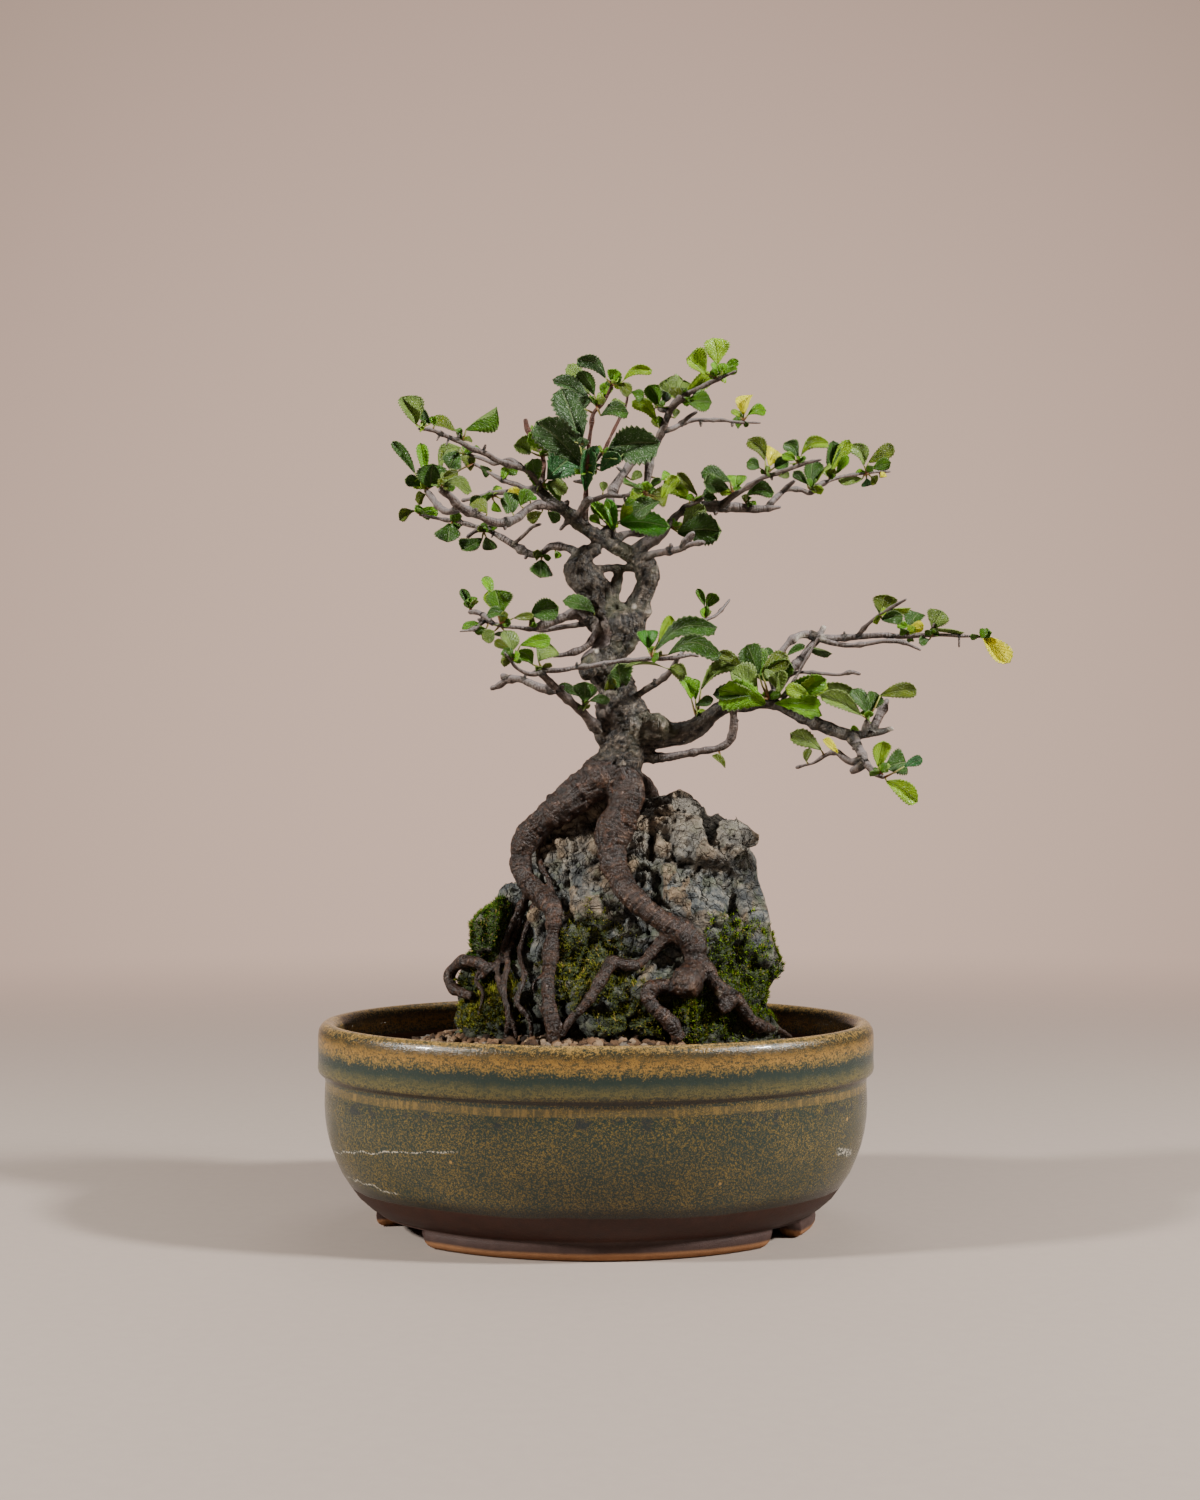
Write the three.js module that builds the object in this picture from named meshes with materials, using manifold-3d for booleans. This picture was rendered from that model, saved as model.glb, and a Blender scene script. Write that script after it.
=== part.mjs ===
// Quince bonsai grown over a rock, in an oval glazed pot.
// Millimetres, +Z up, origin under the middle of the whole, front towards -Y.
import * as THREE from "three";
import { mergeVertices } from "three/addons/utils/BufferGeometryUtils.js";
import Module from "manifold-3d";

const wasm = await Module();
wasm.setup();

// Driving dimensions of the pot
const DRAWN_LENGTH = 230.4; // the length at which the pot's profile is drawn
const POT_LENGTH = DRAWN_LENGTH; // over the collar
const POT_WIDTH_SHARE = 0.8; // width of the oval as a share of its length
const POT_HEIGHT = 84.5;
const FOOT_HEIGHT = 7.7;
const FLOOR_TOP = 16;
const FLOOR_UNDER = FOOT_HEIGHT + 0.6;
const POT_SIDES = 36;
const NOTCH = { high: 7.2, deep: 34, slant: 4, out: 86 };
const NOTCHES = [
  { angle: -65, span: 42 },
  { angle: 57, span: 18 },
  { angle: 115, span: 42 },
  { angle: 237, span: 18 },
];
const DRAIN = { radius: 8.5, out: 46 };

// Driving dimensions of the small pieces
const GAP = 0.3; // air between two pieces that touch
const MESH = { side: 30, thick: 1.0, hole: 3.0, pitch: 4.5, holes: 4 };
const WIRE = 0.75; // radius of the clip wire
const CLIP_FOOT = 8; // how far a clip's leg is bent out under the floor
const STEP = 9.5; // along a thin twig, more on a thick one
const LEAF_THICK = 0.8;
const SMALL_LEAF = 4.5; // a leaf no wider than this has no stalk of its own
const BUD_RADIUS = 1.5;

// The soil's surface: height at the pot's wall and in the middle
const SOIL_EDGE = 67;
const SOIL_CROWN = 80;
const SOIL_SLOPE = 0.62; // share of the way in from the wall over which it rises
const SOIL_RIPPLE = 0.9;
const SOIL_RINGS = [105.4, 92, 78, 64, 50, 34];

// The eye from which the front was measured; a point read as (x, z) on the plane y = 0
// keeps its place in the front view when it is pushed back to its own depth y.
const DEPTH_SHARE = 1.7; // how strongly the branches lean to the front and back
const EYE = new THREE.Vector3(1.7, -857, 180.5);

// The rock: ellipsoid lumps grown together, each a centre and three half lengths
const LUMPS = [
  { at: [9, 8, 82], half: [68, 46, 34] },
  { at: [17, 12, 112], half: [54, 36, 36] },
  { at: [-45, 5, 110], half: [12, 17, 27] },
  { at: [30, 16, 142], half: [37, 27, 32] },
  { at: [0, 13, 138], half: [27, 23, 27] },
  { at: [35, 16, 164], half: [12, 12, 14] },
  { at: [57, 14, 155], half: [11, 15, 15] },
];
const LUMP_DETAIL = { large: 2, small: 1 };
const BLOCKY = 2.6; // 2 makes a lump an ellipsoid, more makes it squarer
const CRAG = 1.6; // height of the rock's roughness
const ROCK_SIDE_DEPTH = 4; // depth of a root that hangs beside the rock
const PROUD = 0.35; // how far a root's middle stands off the rock, as a share of its radius
const SAMPLES = 240; // points tried along a limb to find the one nearest a twig's foot

// The trunk, its stems, roots and branches. A route is a list of [x, z, radius] read from
// the front. "from" is the limb it grows out of, at its first point. "lean" is how far back
// (+) or forward (-) its tip lies from there. "hug" lays it over the front of the rock, and a
// fourth number on a point is its own depth.
const LIMBS = {
  trunk: { sides: 10, route: [
    [10, 176, 9, 2], [9.5, 184, 11, 0], [9.5, 190, 10.5, 0], [11, 195, 10, 0], [11.5, 201, 11, 0],
    [12, 209, 12, 0], [9.5, 215, 11, 0], [8.5, 221, 8.8, 0], [6.5, 227, 8.8, 0], [4, 232, 9, 0],
    [5.5, 238, 8, 0], [9, 243, 9, 0], [10.5, 249, 11, 0], [10, 254, 9.5, 0]] },
  left_stem: { from: "trunk", sides: 8, lean: -3, route: [
    [8, 250, 8], [4, 256, 6.5], [2, 261, 6], [-2, 266, 7], [-5.5, 270, 7.6], [-6, 275, 6.4],
    [-4, 279, 4], [2, 281, 2.5]] },
  right_stem: { from: "trunk", sides: 8, lean: -4, route: [
    [13, 247, 7], [16, 253, 6], [18, 259, 4.6], [20, 264, 4.4], [21.5, 269, 5.4], [20.5, 274, 5],
    [15, 278.5, 4], [9, 281.5, 3.6], [3, 285, 3.4], [-2, 288, 3.3], [-8, 293, 3], [-14, 298, 2.8],
    [-20, 302, 2.5], [-24, 306, 2.2]] },
  cross_bar: { from: "left_stem", sides: 5, lean: 2, route: [
    [-1, 273, 2], [4, 273, 2], [9, 273, 2], [15, 273, 2.2], [19, 273, 2.4]] },
  middle_stem: { from: "cross_bar", sides: 5, lean: -1, route: [
    [10, 273, 2], [9, 268, 2.2], [8, 262, 2.3], [8, 257, 2.8], [9, 251, 3]] },
  grain_lump: { from: "trunk", sides: 5, lean: -7, route: [
    [2, 238, 4], [-1, 235, 4.2], [-3.5, 231, 4], [-4, 227, 2.5]] },
  callus: { from: "trunk", sides: 6, lean: -4, route: [
    [14, 205, 8], [21, 206, 6.4], [27, 206.5, 5.6], [30.5, 206.5, 3]] },

  // Roots over the rock
  root_left: { from: "trunk", sides: 8, hug: true, route: [
    [8, 188, 9], [3, 186, 9, -1], [-6, 180, 8, -1], [-14, 173, 7.4, 0], [-22, 167, 6.5, 1],
    [-28, 161, 6, 2], [-31, 154, 5.4, 2], [-31, 147, 5, 1], [-28, 141, 4.8, -2], [-23, 136, 4.8],
    [-18, 130, 4.4], [-18, 120, 3.3], [-19, 110, 3.2], [-20, 100, 3.2], [-19.5, 90, 3.4],
    [-18, 82, 3.4], [-18, 70, 3]] },
  root_centre: { from: "trunk", sides: 8, hug: true, route: [
    [12, 186, 7], [13, 181, 7, -4], [12, 172, 7.5, -6], [7, 161, 7.8], [7, 150, 5.6], [10, 143, 5.5],
    [13, 138, 5.4], [18, 133, 5], [24, 128, 4.6], [30, 124, 4.7], [36, 120.5, 5.6], [41, 115, 5.4],
    [42, 107, 4.4], [39, 99, 6.4], [34, 96, 4]] },
  root_centre_low: { from: "root_centre", sides: 5, hug: true, route: [
    [33, 118, 3], [27, 116, 2.7], [23, 112, 2.6], [17, 107, 2.6], [12, 107, 2.6], [7, 108, 2.6],
    [4, 104, 2.6], [1, 99, 2.6], [-2, 94, 2.5], [-6, 89, 2.4], [-10, 85, 2.3], [-15, 78, 2]] },
  root_front: { from: "root_centre", sides: 6, hug: true, route: [
    [36, 98, 3.4], [31, 98, 3.2], [26, 98, 3], [21.5, 96, 3], [22, 92, 3], [26, 88, 3.3],
    [30, 84, 3.4], [33, 80, 3.5], [35, 76, 3]] },
  root_right: { from: "root_centre", sides: 6, hug: true, route: [
    [43, 110, 3.4], [47, 104, 3.2], [50, 99, 3.2], [55, 96, 3.2], [59, 92, 3.2], [62, 87, 3.1],
    [66, 83, 3], [71, 81, 2.4], [76, 80, 1.8], [81, 77, 1.5]] },
  root_knot: { from: "root_right", sides: 5, hug: true, route: [
    [57, 94, 3], [54, 91, 3.6], [51, 88, 3]] },
  root_back: { from: "trunk", sides: 6, route: [
    [12, 186, 6], [17, 183, 5, 12], [22, 178, 4.4, 26], [25, 167, 4.2, 38], [27, 151, 4, 42],
    [28, 133, 3.8, 46], [27, 112, 3.6, 52], [24, 93, 3.6, 55], [21, 76, 3.4, 57]] },
  root_back_right: { from: "root_back", sides: 5, route: [
    [27, 150, 3], [34, 138, 3, 45], [43, 122, 3, 46], [49, 104, 3, 47], [52, 88, 3, 49],
    [53, 74, 2.6, 51]] },
  strand_left: { from: "root_left", sides: 4, hug: true, route: [
    [-27, 140, 2], [-30, 132, 1.9], [-32, 126, 1.8], [-34, 120, 1.8], [-36, 114, 1.8],
    [-38, 109, 1.8], [-43, 105, 1.7], [-48, 102, 1.5]] },
  strand_inner: { from: "root_left", sides: 4, hug: true, route: [
    [-25, 138, 2], [-27, 131, 1.8], [-28, 124, 1.7], [-28, 116, 1.6], [-28, 110, 1.5],
    [-31, 105, 1.4], [-32, 99, 1.3], [-30, 90, 1.2], [-29, 84, 1.1], [-28, 76, 1]] },
  strand_low: { from: "strand_left", sides: 4, hug: true, route: [
    [-36, 112, 1.5], [-37, 106, 1.4], [-38, 100, 1.3], [-38, 94, 1.3], [-36, 88, 1.3],
    [-34, 82, 1.2], [-33, 76, 1.1]] },
  loop_root: { from: "strand_left", sides: 5, hug: true, route: [
    [-44, 105, 2.4], [-48, 107.5, 2.6], [-53, 108.5, 2.8, -9], [-58, 107, 2.8, -4],
    [-61, 103, 2.7, -3], [-60, 98, 2.6, -6], [-56, 95.5, 2.5, -12], [-51, 94, 2.2]] },

  // Left side, low: two branches and the twig that crosses in front of the trunk
  low_left: { from: "trunk", sides: 6, lean: -17, route: [
    [7, 198, 3], [3.5, 201, 2.9, -4], [1, 205, 2.7], [-2.5, 209, 2.5], [-6, 213, 2.3],
    [-10, 216.5, 2.2], [-14, 220, 2.1], [-18, 224, 2], [-21.5, 227.5, 1.7], [-23.5, 230, 1.5]] },
  low_left_stub: { from: "low_left", sides: 5, lean: 7, route: [
    [-17, 222, 2], [-22, 222.5, 2.1], [-27, 224.5, 1.9], [-32, 226.5, 1.7], [-37, 226, 1.7],
    [-41, 223.5, 1.6], [-44, 222.5, 1.3]] },
  low_left_fork: { from: "low_left_stub", sides: 4, lean: 1, route: [
    [-35, 226, 1.4], [-38, 227, 1.4], [-39.5, 228.5, 1.2]] },
  crossing: { from: "low_left", sides: 4, lean: 1, route: [
    [-23, 230, 1.3], [-14, 230.3, 1.2], [-8, 231.4, 1.2], [-2, 232, 1.2], [4, 233, 1.2],
    [10, 234, 1.2], [16, 234.5, 1.15], [22, 235, 1.15], [28, 235, 1.1], [34, 235.5, 1],
    [40, 236.6, 0.9], [43, 236, 0.8]] },
  crossing_left: { from: "crossing", sides: 4, lean: -6, route: [
    [-22.5, 230, 1.2], [-27, 228.5, 1.1], [-31, 229.8, 1], [-34, 232, 1], [-36, 235, 0.8],
    [-38.3, 237.5, 0.6]] },
  slant: { from: "trunk", sides: 5, lean: -14, route: [
    [14, 216, 2], [18, 220, 1.9], [22, 222.8, 1.8], [27, 226, 1.7], [31, 229.6, 1.6],
    [33, 233, 1.3], [35, 237, 0.8]] },
  slant_tip: { from: "slant", sides: 4, lean: 26, route: [
    [32, 231.5, 1.2], [35, 236, 1], [39, 242, 0.95], [43, 248, 1], [46, 251.2, 1.1],
    [50, 253, 0.9], [53, 256, 0.9], [56, 259.8, 0.7]] },

  // Left side, middle
  mid_left: { from: "trunk", sides: 5, lean: -12, route: [
    [4, 246, 3], [-1, 249, 2.4], [-4, 252.5, 2.2], [-8, 254, 2.1], [-12, 253, 2], [-17, 251, 2],
    [-22, 249.5, 2], [-27, 247.5, 1.6], [-32, 248, 1.1], [-38, 248.6, 1], [-44, 250, 0.9],
    [-49.5, 251.6, 0.7]] },
  mid_left_twin: { from: "mid_left", sides: 4, lean: 3, route: [
    [-3, 250, 1.5], [-9, 249, 1.4], [-15, 248.2, 1.3], [-21, 247.2, 1.3], [-26, 247, 1.2]] },
  mid_left_up: { from: "mid_left", sides: 4, lean: 9, route: [
    [-43, 250, 1], [-46, 252.5, 1.1], [-50, 254.5, 1.2], [-53, 254.6, 1.2]] },
  mid_left_low: { from: "mid_left", sides: 4, lean: -3, route: [
    [-47, 250.5, 0.8], [-51, 247.5, 0.7], [-57, 246.4, 0.5]] },
  mid_left_spur: { from: "trunk", sides: 4, lean: -9, route: [
    [3, 243, 2], [-2, 243, 1.6, -6], [-5, 241, 1.5], [-9, 238.6, 1.3], [-14, 237, 1.1],
    [-18, 236, 0.8]] },

  // Left side, top
  fan_low: { from: "right_stem", sides: 4, lean: 14, route: [
    [-24, 306, 1.6], [-29, 306.5, 1.4], [-33, 308, 1.3], [-38, 309.5, 1.2], [-42, 311.5, 1.1],
    [-46, 314, 0.9], [-51, 316.8, 0.7]] },
  fan_top: { from: "right_stem", sides: 4, lean: -26, route: [
    [-24, 306, 1.7], [-26, 311, 1.6], [-31, 315, 1.6], [-37, 316.6, 1.5], [-42, 318.5, 1.4],
    [-46, 321, 1.4], [-52, 323.2, 1.3], [-57, 326, 1.2], [-63, 328.6, 1.1], [-69, 331, 1],
    [-74.5, 331.6, 0.8]] },
  fan_mid: { from: "fan_top", sides: 4, lean: 16, route: [
    [-31, 315, 1.2], [-36, 318.6, 1.1], [-42, 317, 1.1], [-48, 319, 1], [-53.5, 320.8, 0.8]] },
  fan_bottom: { from: "right_stem", sides: 4, lean: 20, route: [
    [-24, 306, 1.5], [-30, 305.6, 1.3], [-37, 305, 1.4], [-43, 304.5, 1.4], [-50, 302.6, 1.1],
    [-56, 301.4, 0.9]] },
  outer_left: { from: "right_stem", sides: 5, lean: -20, route: [
    [-13, 298, 2.2], [-20, 299, 2.2], [-25, 299.5, 2.1], [-29, 297.5, 2.1], [-33, 294, 2.1],
    [-39, 292, 2.1], [-44, 292.6, 2.1], [-49, 295, 2.1], [-54, 297, 2.2], [-58, 299.5, 2.2],
    [-61, 303, 2.1], [-65.5, 306.3, 1.8]] },
  outer_left_fork: { from: "outer_left", sides: 4, lean: 12, route: [
    [-57, 298, 1.8], [-62, 296.6, 1.7], [-66, 299, 1.6], [-69, 303, 1.5], [-71.5, 306, 1.3]] },
  under_left: { from: "left_stem", sides: 5, lean: 12, route: [
    [-5, 278, 2.4], [-12, 281.5, 2.2], [-19, 282, 2], [-22.5, 279.5, 2], [-26, 278.6, 2],
    [-30, 280, 2], [-34, 282.5, 1.9], [-38, 285, 1.8], [-42, 287.3, 1.6], [-46, 289.5, 1.5],
    [-51, 290.6, 1.3], [-57, 292.3, 1.1], [-64, 293.4, 1], [-70, 294.6, 0.8], [-74, 295.3, 0.7]] },
  under_left_twig: { from: "under_left", sides: 4, lean: -12, route: [
    [-34, 283.5, 1], [-30, 287, 0.9], [-26.5, 290.3, 0.8], [-23, 291.5, 0.7]] },
  under_left_spur: { from: "under_left", sides: 4, lean: -3, route: [
    [-48, 290, 1.2], [-51, 288.2, 1], [-54, 286, 0.9]] },

  // Top
  leader: { from: "right_stem", sides: 6, lean: 9, route: [
    [3, 285, 3], [6, 290, 2.4], [6, 297, 2.4], [6.2, 303, 2.3], [9, 309, 2.4], [12, 313, 2.4],
    [15, 318, 2.4], [17.5, 322.6, 2.2]] },
  leader_link: { from: "leader", sides: 4, lean: 3, route: [
    [17, 321.5, 1.7], [20, 323, 1.6], [23.5, 324, 1.7], [26, 325.6, 1.8]] },
  leader_drop: { from: "leader_link", sides: 5, lean: -2, route: [
    [24, 324, 1.8], [22.8, 318, 1.9], [22, 313, 1.9], [21, 307.5, 1.6]] },
  top_up: { from: "leader_link", sides: 4, lean: -12, route: [
    [25, 325, 1.8], [27, 329, 1.9], [29, 334, 1.8], [31, 339, 1.9], [34, 343, 1.9],
    [38, 346, 1.6], [43, 348.4, 1.4], [48, 351, 1.2], [53, 353.2, 0.9], [59, 356, 0.6]] },
  top_up_spur: { from: "top_up", sides: 4, lean: 2, route: [
    [31, 339.5, 1.3], [28, 339.6, 1.3], [26, 340, 1.1]] },
  top_right: { from: "top_up", sides: 4, lean: 24, route: [
    [28, 330.5, 1.5], [32, 331.6, 1.5], [36, 333.6, 1.3], [41, 335.2, 1.2], [47, 335.2, 1.1],
    [53, 335.2, 1], [58, 334.4, 0.9], [64, 334.2, 0.7], [69, 334, 0.5]] },
  top_right_stub: { from: "top_right", sides: 4, lean: -3, route: [
    [35, 334, 1.2], [39, 336.6, 1.1], [42.5, 338.8, 0.9]] },
  young_shoot: { from: "right_stem", sides: 4, lean: -16, route: [
    [-4, 290, 1.6], [-4.5, 297, 1.4], [-4.2, 304, 1.3], [-4, 311, 1.1], [-3.6, 318, 1],
    [-3, 325, 1], [-2, 332, 1], [-1, 338, 1], [2.5, 342, 1], [5, 346, 0.9], [6.6, 350, 0.7]] },
  thin_top: { from: "young_shoot", sides: 4, lean: 10, route: [
    [-4, 312, 0.9], [0, 318, 0.8], [3.6, 323, 0.8], [7, 330, 0.8], [10, 336, 0.8],
    [12.4, 341, 0.7], [13.4, 346, 0.6]] },
  inner_twig: { from: "young_shoot", sides: 4, lean: -8, route: [
    [-4, 301, 1.2], [0, 302, 1.2], [5, 303.6, 1.1], [11, 303.2, 1.1], [16, 304.4, 1],
    [20, 304.2, 0.8]] },
  hub_stem: { from: "right_stem", sides: 4, lean: 5, route: [
    [-23, 305, 1.6], [-22.6, 310, 1.4], [-22, 316, 1.2], [-22.6, 321, 1], [-26, 327, 1.3],
    [-28.6, 331, 1.6], [-29.6, 335.5, 1.2]] },
  front_stub: { from: "right_stem", sides: 5, lean: -8, route: [
    [-9, 293.5, 2], [-6.6, 296.5, 1.9], [-4, 300.5, 1.8], [-2.2, 302.4, 1.6]] },

  // Right side, upper
  high_right: { from: "right_stem", sides: 6, lean: 6, route: [
    [15, 279, 3.4], [20.5, 283, 2.8], [27, 287, 2.4], [31, 292, 2.3], [35, 296, 2.4],
    [41, 298.6, 2.7], [47, 299, 2.8], [53, 298.8, 2.6], [60, 298.4, 2.5], [67, 297.8, 2.3],
    [73, 298.2, 1.7], [77.5, 298.6, 0.9]] },
  high_right_back: { from: "right_stem", sides: 5, lean: 9, route: [
    [7, 283, 2], [11, 286.6, 2], [17, 288, 2], [24, 288.4, 1.9], [30, 290.6, 1.7]] },
  high_sub_front: { from: "high_right", sides: 4, lean: -26, route: [
    [52, 299, 1.6], [57, 303, 1.6], [61, 305.4, 1.5], [65, 308, 1.4], [70, 311, 1.3],
    [76, 312.8, 1.2], [82, 315, 1.1], [88, 317.2, 0.9], [94.5, 318.6, 0.6]] },
  high_sub_back: { from: "high_right", sides: 4, lean: 26, route: [
    [71, 298.6, 1.5], [76, 303, 1.3], [80, 306, 1.3], [86, 305.8, 1.3], [89.5, 304.6, 1.6],
    [93, 307.4, 1.4], [98, 309.8, 1.1], [104, 311.6, 1], [111, 312.6, 0.9], [117, 313.4, 0.8],
    [123.5, 313.5, 0.5]] },
  high_sub_stub: { from: "high_sub_back", sides: 4, lean: -3, route: [
    [78, 305, 1.1], [81, 307.8, 1], [83.4, 309.8, 0.8]] },
  high_dark_twig: { from: "high_right", sides: 4, lean: -8, route: [
    [36, 297, 1.2], [38.5, 299, 1], [42, 300.4, 1], [45, 302.6, 0.9]] },
  low_high_right: { from: "right_stem", sides: 5, lean: -18, route: [
    [18, 276, 2], [24, 278.8, 1.8], [30, 280, 1.8], [35, 281, 1.7], [40, 283, 1.5],
    [45.5, 283.8, 1.1]] },
  low_high_spur: { from: "low_high_right", sides: 4, lean: -3, route: [
    [36.5, 281.5, 1.8], [38.5, 285, 1.8], [41, 288, 1.3]] },

  // Right side, lower: the long branch
  long_right: { from: "trunk", sides: 8, lean: -10, route: [
    [14, 203, 8], [22, 203, 6.8], [29, 203.4, 6], [35, 203.6, 5.2], [41, 205.6, 4.5],
    [46, 209.4, 4.1], [51, 213.4, 3.6], [57, 216, 3], [63, 214.6, 2.4], [69, 215.8, 2.3],
    [75, 216, 2.2], [80, 213, 2.3], [85, 210.4, 2.5], [91, 208.2, 2.6], [97, 206, 2.8],
    [103, 203.8, 2.9], [109, 203, 2.4], [115, 203.8, 2], [120, 204.6, 1.7], [124.5, 206, 1.3]] },
  loop_right: { from: "trunk", sides: 5, lean: -6, route: [
    [17, 194, 3.2], [23, 193.6, 3], [30, 193.8, 2.5], [37, 195, 2.2], [44, 196.4, 2],
    [51, 197.6, 2.1], [55.5, 200, 2.1], [57.4, 205, 2.2], [57.6, 211, 2], [57, 215.4, 1.8]] },
  rising: { from: "long_right", sides: 5, lean: 12, route: [
    [72, 216.4, 2], [76, 222, 2.1], [80, 228.4, 2.2], [85, 234, 2.1], [89, 239, 2],
    [92.4, 243, 2], [95.6, 248.6, 1.5]] },
  rising_back: { from: "rising", sides: 5, lean: 8, route: [
    [75.5, 221, 1.9], [73.6, 228, 1.9], [76.6, 236, 2], [81, 242, 2], [86, 245, 2],
    [92, 244.6, 2]] },
  far_right: { from: "rising_back", sides: 4, lean: -4, route: [
    [89, 245, 1.9], [96, 243.6, 1.9], [104, 243.8, 1.6], [112, 244.4, 1.5], [120, 244.8, 1.4],
    [128, 244.4, 1.3], [136, 244.8, 1.2], [144, 245, 1], [152, 244.6, 0.9], [161, 244.2, 0.7]] },
  far_right_twin: { from: "far_right", sides: 4, lean: -5, route: [
    [93, 244, 1.5], [99, 241.6, 1.4], [106, 240.6, 1.4], [113, 241.2, 1.3], [121, 242.4, 1.2],
    [128, 242, 1.2], [133, 240, 1], [136, 238.6, 0.8]] },
  far_right_up: { from: "far_right", sides: 4, lean: -16, route: [
    [109, 244.2, 1.1], [113, 248.6, 1], [118, 252.8, 1], [124, 256.6, 0.9], [130, 260, 0.7]] },
  far_right_nub: { from: "far_right", sides: 4, lean: -1, route: [
    [139, 245, 0.8], [141, 247.5, 0.7], [141.6, 250, 0.5]] },
  mid_right: { from: "rising", sides: 4, lean: -16, route: [
    [79, 227.6, 1], [84, 229.2, 0.9], [90, 229.2, 0.9], [96, 228.7, 0.85], [102, 228.3, 0.85],
    [107, 229.4, 0.9], [110.5, 228.5, 0.8]] },
  long_spur: { from: "long_right", sides: 4, lean: -2, route: [
    [112, 203.6, 1.8], [113, 207, 1.7], [113.6, 209.6, 1.2]] },
  long_stump: { from: "long_right", sides: 5, lean: 3, route: [
    [115, 204, 2.2], [117.4, 209, 2.1], [120, 214, 1.9], [122, 218, 1.2]] },
  drop: { from: "long_right", sides: 5, lean: -8, route: [
    [106, 203, 2.6], [109, 199, 2.3], [111.4, 194.6, 2], [113.6, 190.4, 1.7], [117, 187, 1.5],
    [120.6, 185.4, 1.2]] },
  drop_left: { from: "drop", sides: 4, lean: 10, route: [
    [111.6, 192.6, 1.8], [107, 191.8, 1.7], [103.6, 193.6, 1.6], [100.5, 196, 1.5], [96, 194.6, 1.1],
    [91, 191.4, 0.9], [87, 190.4, 0.8], [83.6, 189.4, 0.7]] },
  drop_knob: { from: "drop", sides: 4, lean: 2, route: [
    [112, 191.5, 1.8], [109.6, 189.4, 1.8], [106.6, 187.6, 1.6]] },
};

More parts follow.
